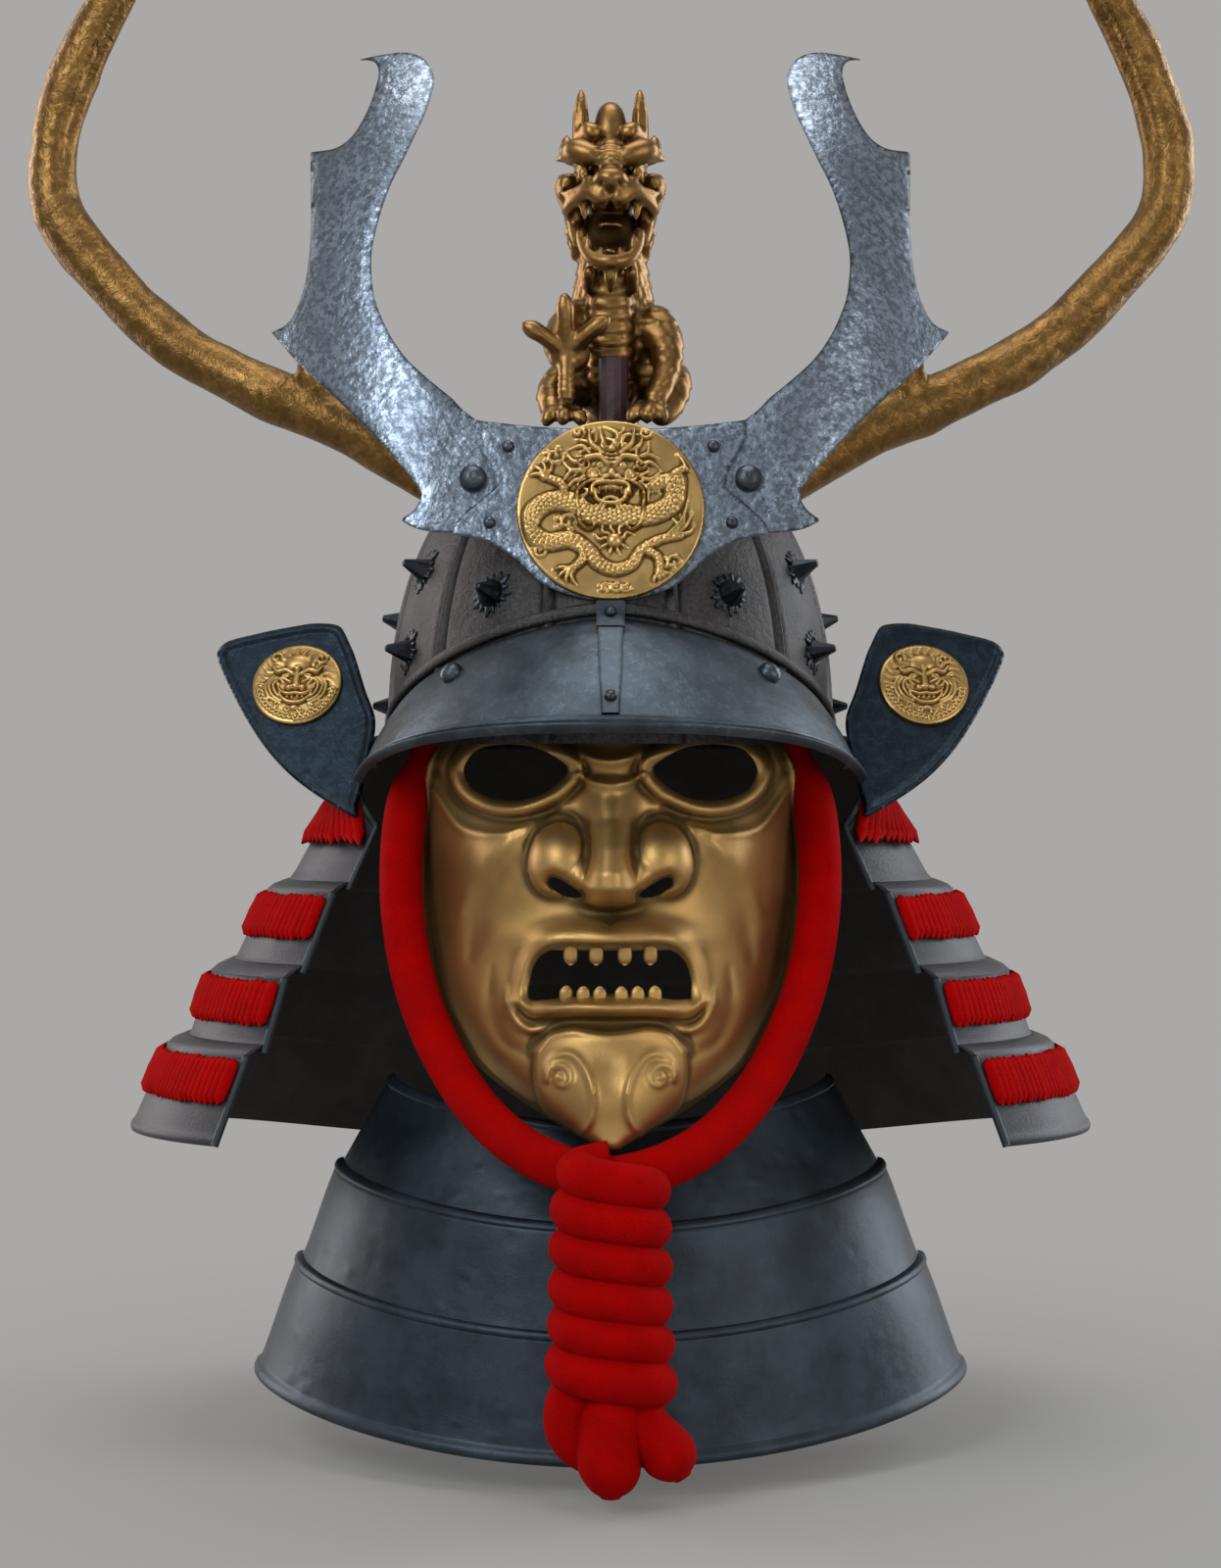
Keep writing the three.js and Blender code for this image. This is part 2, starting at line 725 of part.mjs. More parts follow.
const medallionMesh = add('crest_medallion', crestMedallion(), gold);
const medallionZ = crestFootZ + medallionHeight;
const leanAngle = radians(90 - crestLean);
medallionMesh.rotation.x = leanAngle;
medallionMesh.position.set(0, crestY(0, medallionZ), medallionZ);
medallionMesh.position.addScaledVector(crestNormal(0, medallionZ), clearance);

// The hidden stem between the bowl's front and the back of the centre plate.
function crestStem() {
  const rows = steps(3, (at) => crestFootZ + stemRise + (stemHeight * at) / 2);
  const across = [-1, 1].map((share) => (share * stemWidth) / 2);
  const front = rows.map((z) => across.map((x) => vector(x, crestY(x, z) + crestWall + clearance, z)));
  const back = rows.map((z) => across.map((x) => {
    const depth = bowlPoint(0, (z - rimZ) / bowlHeight, 0).y;
    return vector(x, depth + bowlWall, z);
  }));
  return cut(wall(front, back), bowlRoom);
}

add('crest_stem', crestStem(), visorSteel);

// Antlers: a route from the bowl's side out, up and back in, as shares of the antler.
const antlerRows = [
  { out: 0.22, up: -0.14, back: 0, thick: 0.8 },
  { out: 0.31, up: -0.07, back: 2, thick: 0.84 },
  { out: 0.375, up: -0.03, back: 4, thick: 0.93 },
  { out: 0.445, up: 0.012, back: 6, thick: 1 },
  { out: 0.523, up: 0.045, back: 9, thick: 1 },
  { out: 0.62, up: 0.085, back: 12, thick: 0.98 },
  { out: 0.762, up: 0.157, back: 18, thick: 0.96 },
  { out: 0.903, up: 0.28, back: 24, thick: 0.97 },
  { out: 0.989, up: 0.39, back: 27, thick: 0.95 },
  { out: 0.997, up: 0.497, back: 28, thick: 0.93 },
  { out: 0.958, up: 0.618, back: 26, thick: 0.9 },
  { out: 0.891, up: 0.738, back: 22, thick: 0.82 },
  { out: 0.85, up: 0.801, back: 20, thick: 0.71 },
  { out: 0.796, up: 0.944, back: 16, thick: 0.32 },
  { out: 0.793, up: 1, back: 15, thick: 0.1 },
];

const tineRows = [
  { out: 0.53, up: 0.04, back: 8, thick: 0.66 },
  { out: 0.525, up: 0.095, back: 4, thick: 0.62 },
  { out: 0.53, up: 0.145, back: 2, thick: 0.48 },
  { out: 0.543, up: 0.18, back: 1, thick: 0.34 },
  { out: 0.55, up: 0.2, back: 1, thick: 0.12 },
];

function antlerLimb(rows, sign, ringSides, ringCount) {
  return limb(rows.map(({ out, up, back, thick }) => ({
    x: sign * out * antlerReach,
    y: back,
    z: up * antlerHeight,
    r: (thick * antlerThickness) / 2,
  })), ringSides, ringCount);
}

for (const { name, sign } of sides) {
  const whole = joined(antlerLimb(antlerRows, sign, 7, 18), antlerLimb(tineRows, sign, 5, 5));
  add(`antler_${name}`, mainPiece(cut(whole, bowlRoom)), antlerBronze);
}

// The dragon stands on the crown. Its parts as shares of its breadth, length and height.
const dragonLimbs = [
  { name: 'trunk', sides: 7, rings: 8, knots: [
    { x: 0.2, y: 0.42, z: 0.3, r: 0.02 },
    { x: 0.3, y: 0.36, z: 0.2, r: 0.06 },
    { x: 0.26, y: 0.2, z: 0.17, r: 0.13 },
    { x: 0.08, y: 0.02, z: 0.25, r: 0.21 },
    { x: 0.02, y: -0.14, z: 0.36, r: 0.21 },
    { x: 0, y: -0.18, z: 0.5, r: 0.19 },
    { x: 0, y: -0.14, z: 0.64, r: 0.17 },
    { x: 0, y: -0.16, z: 0.78, r: 0.16 },
  ] },
  { name: 'hind leg right', sides: 5, rings: 4, knots: [
    { x: 0.34, y: 0.14, z: 0.24, r: 0.16 },
    { x: 0.42, y: 0.04, z: 0.16, r: 0.13 },
    { x: 0.34, y: 0.1, z: 0.06, r: 0.07 },
    { x: 0.3, y: -0.04, z: -0.01, r: 0.07 },
  ] },
  { name: 'hind leg left', sides: 5, rings: 4, knots: [
    { x: -0.1, y: 0.16, z: 0.22, r: 0.15 },
    { x: -0.2, y: 0.06, z: 0.15, r: 0.12 },
    { x: -0.18, y: 0.12, z: 0.06, r: 0.07 },
    { x: -0.2, y: 0, z: -0.01, r: 0.07 },
  ] },
  { name: 'fore leg right', sides: 5, rings: 4, knots: [
    { x: 0.18, y: -0.12, z: 0.36, r: 0.14 },
    { x: 0.3, y: -0.14, z: 0.22, r: 0.1 },
    { x: 0.24, y: -0.16, z: 0.1, r: 0.08 },
    { x: 0.2, y: -0.26, z: -0.01, r: 0.08 },
  ] },
  { name: 'fore leg left', sides: 5, rings: 4, knots: [
    { x: -0.16, y: -0.12, z: 0.36, r: 0.13 },
    { x: -0.3, y: -0.14, z: 0.24, r: 0.1 },
    { x: -0.24, y: -0.18, z: 0.1, r: 0.1 },
    { x: -0.24, y: -0.26, z: -0.01, r: 0.1 },
  ] },
  { name: 'raised paw', sides: 5, rings: 3, knots: [
    { x: -0.24, y: -0.2, z: 0.07, r: 0.09 },
    { x: -0.24, y: -0.28, z: 0.14, r: 0.08 },
    { x: -0.24, y: -0.32, z: 0.22, r: 0.1 },
  ] },
  { name: 'paw finger', sides: 4, rings: 3, knots: [
    { x: -0.26, y: -0.32, z: 0.22, r: 0.05 },
    { x: -0.4, y: -0.34, z: 0.25, r: 0.035 },
    { x: -0.49, y: -0.34, z: 0.31, r: 0.02 },
  ] },
  { name: 'paw finger', sides: 4, rings: 3, knots: [
    { x: -0.24, y: -0.32, z: 0.22, r: 0.05 },
    { x: -0.26, y: -0.34, z: 0.31, r: 0.035 },
    { x: -0.25, y: -0.36, z: 0.38, r: 0.02 },
  ] },
  { name: 'paw finger', sides: 4, rings: 3, knots: [
    { x: -0.22, y: -0.32, z: 0.22, r: 0.05 },
    { x: -0.1, y: -0.34, z: 0.27, r: 0.035 },
    { x: -0.03, y: -0.35, z: 0.31, r: 0.02 },
  ] },
  { name: 'jaw', sides: 7, rings: 3, knots: [
    { x: 0, y: -0.14, z: 0.58, r: 0.13 },
    { x: 0, y: -0.28, z: 0.52, r: 0.17 },
    { x: 0, y: -0.4, z: 0.48, r: 0.12 },
  ] },
  { name: 'muzzle', sides: 7, rings: 3, knots: [
    { x: 0, y: -0.16, z: 0.72, r: 0.26 },
    { x: 0, y: -0.32, z: 0.7, r: 0.22 },
    { x: 0, y: -0.45, z: 0.68, r: 0.14 },
  ] },
];

for (const sign of [-1, 1]) {
  dragonLimbs.push({ name: 'horn', sides: 4, rings: 3, knots: [
    { x: 0.14 * sign, y: -0.16, z: 0.84, r: 0.08 },
    { x: 0.16 * sign, y: -0.12, z: 0.92, r: 0.055 },
    { x: 0.17 * sign, y: -0.1, z: 1, r: 0.015 },
  ] });
  dragonLimbs.push({ name: 'brow', sides: 4, rings: 3, knots: [
    { x: 0.05 * sign, y: -0.34, z: 0.76, r: 0.07 },
    { x: 0.2 * sign, y: -0.32, z: 0.79, r: 0.06 },
    { x: 0.33 * sign, y: -0.26, z: 0.79, r: 0.015 },
  ] });
  dragonLimbs.push({ name: 'cheek', sides: 5, rings: 3, knots: [
    { x: 0.2 * sign, y: -0.26, z: 0.74, r: 0.09 },
    { x: 0.27 * sign, y: -0.2, z: 0.68, r: 0.08 },
    { x: 0.18 * sign, y: -0.22, z: 0.56, r: 0.06 },
  ] });
}

const dragonFootZ = bowlWall + clearance;
const dragonPoint = ({ x, y, z, r }) => ({
  x: x * dragonBreadth,
  y: y * dragonLength,
  z: dragonFootZ + z * dragonHeight,
  r: r * dragonBreadth,
});

// The post under the belly reaches from the crown into a socket in the belly.
const postX = 0.02 * dragonBreadth;
const postY = -0.1 * dragonLength;
const postTop = dragonFootZ + postHeight;
const postColumn = (radius, low, high) => turned([[0, low], [radius, low], [radius, high], [0, high]], 12)
  .translate(postX, postY, 0);
const postRadius = postDiameter / 2;
const postFloor = rimZ + bowlHeight;
const post = postColumn(postRadius, postFloor - 4, postTop);
const postRoom = postColumn(postRadius + clearance, postFloor - 4, postTop + clearance);

const head = ball(dragonPoint({ x: 0, y: -0.2, z: 0.76, r: 0 }), dragonHeadDiameter / 2);
const dragonBodies = dragonLimbs.map((part) => limb(part.knots.map(dragonPoint), part.sides, part.rings));
const dragonWhole = joined(head, ...dragonBodies);
add('dragon', mainPiece(cut(dragonWhole, bowlRoom, postRoom)), bronze);
add('dragon_post', mainPiece(cut(post, bowlRoom)), postBrown);

// Neck guard lames: shares of the flare and of the drop at their top and bottom edges.
const lameRows = [
  { top: 0, bottom: 0.352, high: 0, low: 0.39 },
  { top: 0.41, bottom: 0.578, high: 0.375, low: 0.59 },
  { top: 0.648, bottom: 0.762, high: 0.58, low: 0.78 },
  { top: 0.828, bottom: 1, high: 0.765, low: 1 },
];

// Where the lacing bands lie down their lames.
const lacingRows = [
  { from: 0.28, to: 0.6 },
  { from: 0.13, to: 0.62 },
  { from: 0.14, to: 0.68 },
  { from: 0.12, to: 0.58 },
];

const neckColumns = 17;
const neckTopZ = rimZ + neckTopRise;
const neckTopStep = neckTopRadius - bowlWidth / 2 - clearance;

// A lame's inner face around the neck, at an angle from the back.
function lamePoint(at, share, down, proud) {
  const { top, bottom, high, low } = lameRows[at];
  const flare = mix(top, bottom, down);
  const drop = mix(high, low, down);
  const radius = neckTopRadius + neckFlare * flare + proud;
  const opened = at === 0 ? Math.min(1, down / lacingRows[0].to) : 1;
  const span = mix(neckTopSpan, neckSpan, opened);
  const angle = radians(span) * share;
  const backReach = mix((bowlLength - bowlWidth) / 2, -neckBackTuck, flare);
  const along = Math.cos(angle);
  const reachY = along > 0 ? radius + backReach : radius * neckFrontShare;
  const z = neckTopZ - neckDrop * drop - neckBackDrop * drop * Math.max(along, 0) ** 2;
  return vector(radius * Math.sin(angle), reachY * along, z);
}

const neckShares = (end) => steps(neckColumns, (column) => (
  THREE.MathUtils.clamp(-1 + (2 * column) / (neckColumns - 1), -end, end)));

// The share of a lame's height that a length takes.
const lameShare = (at, length) => length / (neckDrop * (lameRows[at].low - lameRows[at].high));

// A lame's top edge turns in to the rim of the bowl, or to the foot of the lame above it.
function lameGrid(at, face) {
  const edge = lameShare(at, neckLap);
  const top = neckShares(1).map((share) => {
    if (at === 0) return lamePoint(0, share, 0, face * neckWall - neckTopStep);
    const above = 1 - lameShare(at - 1, neckLap);
    return lamePoint(at - 1, share, above, neckWall + clearance + face * neckWall);
  });
  const rim = neckShares(1).map((share) => lamePoint(at, share, edge, face * (neckWall + neckRim)));
  const { from, to } = lacingRows[at];
  const downs = at === 0 ? [from, to, 1] : [1];
  const rest = downs.map((down) => (
    neckShares(1).map((share) => lamePoint(at, share, down, face * neckWall))));
  return [top, rim, ...rest];
}

// A lacing band ends just short of the lame's front edge.
function lacingGrid(at, face) {
  const { from, to } = lacingRows[at];
  return [from, to].map((down) => neckShares(0.985).map((share) => (
    lamePoint(at, share, down, neckWall + neckRim + 2 * clearance + face * lacingThickness))));
}

lameRows.forEach((_, at) => {
  const lame = wall(lameGrid(at, 1), lameGrid(at, 0));
  const fitted = at === 0 ? mainPiece(cut(lame, bowlRoom, visorRoom)) : lame;
  add(`neck_lame_${at + 1}`, fitted, lameSteel);
  add(`lacing_band_${at + 1}`, wall(lacingGrid(at, 1), lacingGrid(at, 0)), redCord);
});

// Turned-back plates: inner and outer edge up their height, from the lower tip.
const turnbackRows = [
  { up: 0, inner: 0.085, outer: 0.12 },
  { up: 0.054, inner: 0.09, outer: 0.234 },
  { up: 0.123, inner: 0.07, outer: 0.369 },
  { up: 0.213, inner: 0.05, outer: 0.511 },
  { up: 0.339, inner: 0.02, outer: 0.657 },
  { up: 0.491, inner: 0.005, outer: 0.788 },
  { up: 0.645, inner: 0.073, outer: 0.896 },
  { up: 0.786, inner: 0.13, outer: 0.981 },
  { up: 0.843, inner: 0.155, outer: 1 },
  { up: 0.895, inner: 0.185, outer: 0.96 },
  { up: 0.946, inner: 0.215, outer: 0.76 },
  { up: 0.985, inner: 0.25, outer: 0.53 },
];

const turnbackFootZ = rimZ - turnbackDrop;
const turnbackSlope = Math.tan(radians(turnbackLean));

function turnbackPoint(sign, out, up, back) {
  const x = turnbackInset + out * turnbackWidth;
  const rise = up * turnbackHeight;
  const away = 0.12 * out * turnbackWidth;
  return vector(sign * x, -turnbackForward + rise * turnbackSlope + away + back, turnbackFootZ + rise);
}

function turnbackGrid(sign, back, rim) {
  const last = turnbackRows.length - 1;
  return turnbackRows.map(({ up, inner, outer }, row) => {
    const edge = row === 0 || row === last;
    return [0, 0.07, 0.5, 0.93, 1].map((share) => {
      const raised = edge || share === 0 || share === 1 ? rim : 0;
      return turnbackPoint(sign, mix(inner, outer, share), up, back - raised);
    });
  });
}

// The root of a turned-back plate, which carries on the neck guard's first lame.
function turnbackRoot(sign) {
  const grid = (face) => [0.04, 0.14, 0.24].map((down) => [0.93, 1.03, 1.16].map((share) => (
    lamePoint(0, sign * share, down, neckWall + neckRim + 2 * clearance + face * turnbackWall))));
  return wall(grid(1), grid(0));
}

for (const { name, sign } of sides) {
  const plate = wall(turnbackGrid(sign, 0, turnbackRim), turnbackGrid(sign, turnbackWall, 0));
  const whole = joined(plate, turnbackRoot(sign));
  add(`turnback_${name}`, mainPiece(cut(whole, bowlRoom, visorRoom)), navySteel);
}

// A turned-back plate's medallion: a beast's face with brows, nose, cheeks and curled mane.
function beastMedallion() {
  const radius = turnbackMedallionDiameter / 2;
  const face = turnbackMedallionThickness - 1;
  const parts = [
    { x: 0, y: 0.42, width: 0.36, height: 0.26, relief: 3 },
    { x: 0, y: -0.02, width: 0.15, height: 0.14, relief: 4.2 },
    { x: 0, y: -0.4, width: 0.34, height: 0.1, relief: 2.6 },
  ];
  for (const sign of [-1, 1]) {
    parts.push({ x: 0.27 * sign, y: 0.14, width: 0.17, height: 0.1, relief: 2.8 });
    parts.push({ x: 0.36 * sign, y: -0.14, width: 0.17, height: 0.15, relief: 2.8 });
    parts.push({ x: 0.62 * sign, y: 0.2, width: 0.15, height: 0.26, relief: 2 });
  }
  const bodies = parts.map((place) => boss(place, radius, face));
  return joined(disc(turnbackMedallionDiameter, turnbackMedallionThickness, 1), ...bodies);
}

for (const { name, sign } of sides) {
  const point = turnbackPoint(sign, 0.49, 0.67, 0);
  const up = turnbackPoint(sign, 0.49, 0.7, 0).sub(point);
  const out = turnbackPoint(sign, 0.52, 0.67, 0).sub(point);
  const normal = out.cross(up).normalize().multiplyScalar(sign);
  point.addScaledVector(normal, clearance);
  const mesh = add(`turnback_medallion_${name}`, beastMedallion(), gold);
  mesh.position.copy(point);
  mesh.up.set(0, 0, 1);
  mesh.lookAt(point.clone().add(normal));
}

// The mask's plain form down its height: half width, and depth at its edge and its middle.
const maskRows = [
  { down: 0, half: 0.84, edge: 0.04, middle: 0.52 },
  { down: 0.1, half: 0.95, edge: 0, middle: 0.64 },
  { down: 0.2, half: 0.98, edge: 0, middle: 0.7 },
  { down: 0.41, half: 1, edge: 0, middle: 0.8 },
  { down: 0.55, half: 0.97, edge: 0.04, middle: 0.86 },
  { down: 0.655, half: 0.92, edge: 0.13, middle: 0.92 },
  { down: 0.76, half: 0.8, edge: 0.28, middle: 0.98 },
  { down: 0.843, half: 0.67, edge: 0.42, middle: 1.04 },
  { down: 0.92, half: 0.43, edge: 0.66, middle: 1.12 },
  { down: 0.975, half: 0.18, edge: 0.98, middle: 1.17 },
  { down: 1, half: 0.05, edge: 1.16, middle: 1.18 },
];

// The mask's raised features, as shares of its width, height and depth.
const maskFeatures = [
  { name: 'bridge', x: 0, down: 0.16, wide: 0.075, tall: 0.12, high: 0.16 },
  { name: 'nose', x: 0, down: 0.32, wide: 0.1, tall: 0.1, high: 0.36 },
  { name: 'nostril', x: 0.12, down: 0.37, wide: 0.07, tall: 0.055, high: 0.2 },
  { name: 'brow', x: 0.27, down: 0.09, wide: 0.2, tall: 0.03, high: 0.08 },
  { name: 'cheek', x: 0.3, down: 0.3, wide: 0.14, tall: 0.09, high: 0.1 },
  { name: 'upper lip', x: 0.1, down: 0.52, wide: 0.17, tall: 0.03, high: 0.1 },
  { name: 'lower lip', x: 0.08, down: 0.68, wide: 0.16, tall: 0.03, high: 0.1 },
  { name: 'chin', x: 0.05, down: 0.85, wide: 0.11, tall: 0.09, high: 0.1 },
];

const maskTopZ = rimZ + maskRise;

function maskY(x, down) {
  const half = (between(maskRows, 'down', down, 'half') * maskWidth) / 2;
  const share = Math.min(Math.abs(x) / half, 1);
  const round = 1 - share ** 2.3;
  const edge = between(maskRows, 'down', down, 'edge');
  const middle = between(maskRows, 'down', down, 'middle');
  const raised = maskFeatures.map((feature) => {
    const along = bump(down, feature.down, feature.tall);
    const across = bump(Math.abs(x) / maskWidth, feature.x, feature.wide);
    return feature.high * along * across * Math.min(1, 3 * (1 - share));
  });
  const relief = raised.reduce((sum, value) => sum + value, 0);
  return -maskSeat - maskDepth * (mix(edge, middle, round) + relief);
}

// Levels down the mask and shares of its half width that carry its features.
const maskLevels = [0, 0.07, 0.15, 0.24, 0.31, 0.36, 0.42, 0.49, 0.54, 0.61, 0.68, 0.75, 0.84, 0.92, 1];
const maskShares = [0, 0.14, 0.29, 0.5, 0.75, 1];

function maskGrid(back) {
  const across = [...maskShares.slice(1).reverse().map((share) => -share), ...maskShares];
  return maskLevels.map((down) => across.map((share) => {
    const half = (between(maskRows, 'down', down, 'half') * maskWidth) / 2;
    const x = share * half;
    const narrowing = Math.sign(share) * back * 0.6 * Math.abs(share) ** 3;
    return vector(x - narrowing, maskY(x, down) + back, maskTopZ - down * maskHeight);
  }));
}

// A straight hole through the mask, from its outline in X and Z.
function hole(outline) {
  const shape = new THREE.Shape(outline.map(([x, z]) => new THREE.Vector2(x, z)));
  const depth = 3 * maskDepth;
  const prism = new THREE.ExtrudeGeometry(shape, { depth, bevelEnabled: false, steps: 1 });
  return closed(prism.rotateX(Math.PI / 2));
}

const eyeZ = maskTopZ - 0.131 * maskHeight;
const mouthZ = maskTopZ - 0.59 * maskHeight;

// An almond, pointed towards the nose.
function eyeOutline(sign) {
  const corners = 10;
  return steps(corners, (at) => {
    const angle = (2 * Math.PI * at) / corners;
    const point = Math.cos(angle) < 0 ? 1.05 : 0.98;
    const x = eyeSpacing / 2 + (eyeWidth / 2) * Math.cos(angle) * point;
    return [sign * x, eyeZ + (eyeHeight / 2) * Math.sin(angle) - 2 * Math.cos(angle)];
  });
}

// The mouth arches over its upper edge and its corners hang.
const mouthRows = [
  { x: 0, high: 0.5, low: -0.5 },
  { x: 0.35, high: 0.52, low: -0.52 },
  { x: 0.68, high: 0.38, low: -0.64 },
  { x: 0.92, high: -0.06, low: -0.86 },
  { x: 1, high: -0.5, low: -0.78 },
];

const mouthOutline = (inset) => [
  ...mouthRows.map(({ x, high }) => [x, high]),
  ...mouthRows.slice().reverse().map(({ x, low }) => [x, low]),
  ...mouthRows.slice(1).map(({ x, low }) => [-x, low]),
  ...mouthRows.slice(1).reverse().map(({ x, high }) => [-x, high]),
].map(([x, z]) => [x * (mouthWidth / 2 - inset), mouthZ + z * (mouthHeight - 2 * inset)]);

function nostrilOutline(sign) {
  const corners = 6;
  const x = 0.11 * maskWidth;
  const z = maskTopZ - 0.395 * maskHeight;
  return steps(corners, (at) => {
    const angle = (2 * Math.PI * at) / corners;
    const tilt = nostrilTilt * Math.cos(angle);
    return [
      sign * (x + (nostrilWidth / 2) * Math.cos(angle)),
      z + (nostrilHeight / 2) * Math.sin(angle) + tilt,
    ];
  });
}

const maskHoles = [
  hole(mouthOutline(0)),
  ...[-1, 1].map((sign) => hole(eyeOutline(sign))),
  ...[-1, 1].map((sign) => hole(nostrilOutline(sign))),
];
const maskShell = wall(maskGrid(0), maskGrid(maskWall));
add('mask', mainPiece(cut(maskShell, ...maskHoles)), maskBronze);

// A row of teeth on a gum bar just behind the mask's lip.
function teeth(places, z, way) {
  const behind = (x, height) => (
    maskY(x, (maskTopZ - height) / maskHeight) + maskWall + 2 * clearance);
  const barShares = [-1, -0.4, 0.4, 1];
  const barHalf = 0.42 * mouthWidth;
  const bar = (back) => [way * gumHeight, 0].map((rise) => barShares.map((share) => (
    vector(share * barHalf, behind(share * barHalf, z + rise) + back, z + rise))));
  const teethSolids = places.map((x) => {
    const y = behind(x, z) + 0.5 * toothWidth;
    const crown = [
      { x, y, z: z + way * 0.4 * gumHeight, r: 0.5 * toothWidth },
      { x, y, z: z - way * 0.5 * toothLength, r: 0.46 * toothWidth },
      { x, y, z: z - way * toothLength, r: 0.2 * toothWidth },
    ];
    return limb(crown, 4, 3);
  });
  return joined(wall(bar(0), bar(gumDepth)), ...teethSolids);
}

const upperPlaces = [-0.49, -0.18, 0.17, 0.49].map((share) => (share * mouthWidth) / 2);
const lowerPlaces = [-0.54, -0.33, -0.13, 0.13, 0.33, 0.54].map((share) => (share * mouthWidth) / 2);
const maskRoom = wall(maskGrid(-2 * clearance), maskGrid(maskWall + 2 * clearance));
const toothRoom = cut(maskRoom, hole(mouthOutline(2 * clearance)));
const upperTeeth = teeth(upperPlaces, mouthZ + 0.5 * mouthHeight, 1);
const lowerTeeth = teeth(lowerPlaces, mouthZ - 0.5 * mouthHeight, -1);
add('upper_teeth', mainPiece(cut(upperTeeth, toothRoom)), maskBronze);
add('lower_teeth', mainPiece(cut(lowerTeeth, toothRoom)), maskBronze);

// The throat guard's edges from the top: half width, depth and height as shares.
const throatEdges = [
  { at: 0, half: 0, depth: 0, low: 0 },
  { at: 1, half: 0.387, depth: 0.56, low: 0.32 },
  { at: 2, half: 0.679, depth: 0.8, low: 0.64 },
  { at: 3, half: 1, depth: 1, low: 1 },
];
const throatTopZ = rimZ - throatTopDrop;

function throatPoint(share, edge, proud) {
  const angle = (Math.PI / 2) * share;
  const half = mix(throatTopWidth, throatBottomWidth, between(throatEdges, 'at', edge, 'half')) / 2;
  const depth = mix(throatTopDepth, throatBottomDepth, between(throatEdges, 'at', edge, 'depth'));
  const low = between(throatEdges, 'at', edge, 'low') * throatHeight;
  const dip = mix(0.72, 1, low / throatHeight) * throatDip * Math.cos(angle) ** 2;
  const [x, y] = [(half + proud) * Math.sin(angle), -(depth + proud) * Math.cos(angle)];
  return vector(x, y, throatTopZ - low - dip);
}

function throatGrid(lame, face) {
  const columns = 11;
  const lap = lame === 0 ? 0 : (throatLap * (throatEdges.length - 1)) / throatHeight;
  const step = lame === 0 ? 0 : throatWall + clearance;
  const hem = lame === 2 ? throatRidge : 0;
  const rows = [
    { edge: lame - lap, inset: 1, ridge: throatRidge },
    { edge: lame - lap + 0.09, inset: 1, ridge: throatRidge },
    { edge: lame - lap + 0.12, inset: 1, ridge: 0 },
    { edge: lame + 0.93, inset: 0, ridge: 0 },
    { edge: lame + 1, inset: 0, ridge: hem },
  ];
  return rows.map(({ edge, inset, ridge }) => steps(columns, (column) => {
    const share = -1 + (2 * column) / (columns - 1);
    return throatPoint(share, edge, step * inset + face * (throatWall + ridge));
  }));
}

for (const lame of [0, 1, 2]) {
  add(`throat_lame_${lame + 1}`, wall(throatGrid(lame, 1), throatGrid(lame, 0)), throatSteel);
}

// The hidden strap from inside the mask's chin to the front of the throat guard.
function throatHanger() {
  const chinDown = 0.9;
  const chinY = maskY(0, chinDown) + maskWall;
  const chinZ = maskTopZ - chinDown * maskHeight;
  const throat = throatPoint(0, 0.12, throatWall + throatRidge + clearance);
  const foot = throatPoint(0, 0.28, throatWall + clearance);
  const path = [
    vector(0, chinY, chinZ),
    vector(0, chinY + 3, chinZ - 6),
    vector(0, mix(chinY, throat.y, 0.8), throat.z + 6),
    vector(0, throat.y - hangerThickness, throat.z),
    vector(0, foot.y - hangerThickness, foot.z),
  ];
  const grid = (back) => path.map(({ y, z }) => [-1, 1].map((share) => (
    vector((share * hangerWidth) / 2, y + back, z))));
  return wall(grid(0), grid(hangerThickness));
}

add('throat_hanger', mainPiece(cut(throatHanger(), maskRoom)), throatSteel);

// The chin cord's route from inside the bowl's left side, under the chin, to its middle.
const cordRoute = [
  [-91, -28, -116],
  [-90, -34, -134],
  [-86.5, -43, -151],
  [-90, -53, -166],
  [-98, -64, -181],
  [-101, -76, -203],
  [-101, -84, -232],
  [-96, -92, -264],
  [-86, -105, -292],
  [-71, -124, -317],
  [-54, -142, -335],
  [-37, -156, -346],
  [-18, -166, -353],
  [0, -170, -356],
];
const cordPoints = [
  ...cordRoute.map(([x, y, z]) => vector(x, y, z)),
  ...cordRoute.slice(0, -1).reverse().map(([x, y, z]) => vector(-x, y, z)),
];

function cordTube(radius) {
  const section = new THREE.Shape(steps(cordSides, (at) => {
    const angle = (2 * Math.PI * at) / cordSides;
    return new THREE.Vector2(radius * Math.cos(angle), radius * Math.sin(angle));
  }));
  const extrudePath = new THREE.CatmullRomCurve3(cordPoints, false, 'centripetal');
  return closed(new THREE.ExtrudeGeometry(section, { steps: cordSteps, bevelEnabled: false, extrudePath }));
}

add('chin_cord', cordTube(cordDiameter / 2), redCord);

// The knot: wraps down its height, sheared by their slant, and the cord's three ends below.
const knotTopZ = maskTopZ - knotDrop - (knotStandOff + cordDiameter) / 2;
const knotY = -(throatBottomDepth + throatWall + throatRidge + knotDepth / 2 + knotStandOff);

function knotWrapsSolid() {
  const rings = 2 * knotWraps + 1;
  const ringSides = 8;
  return skin(steps(rings, (row) => {
    const share = row / (rings - 1);
    const waist = row % 2 === 0 ? 0.84 : 1;
    return steps(ringSides, (side) => {
      const angle = (2 * Math.PI * side) / ringSides;
      const x = (knotWidth / 2) * waist * Math.cos(angle);
      const y = (knotDepth / 2) * waist * Math.sin(angle);
      return vector(x, knotY + y, knotTopZ - knotHeight * share - knotSlant * x);
    });
  }));
}

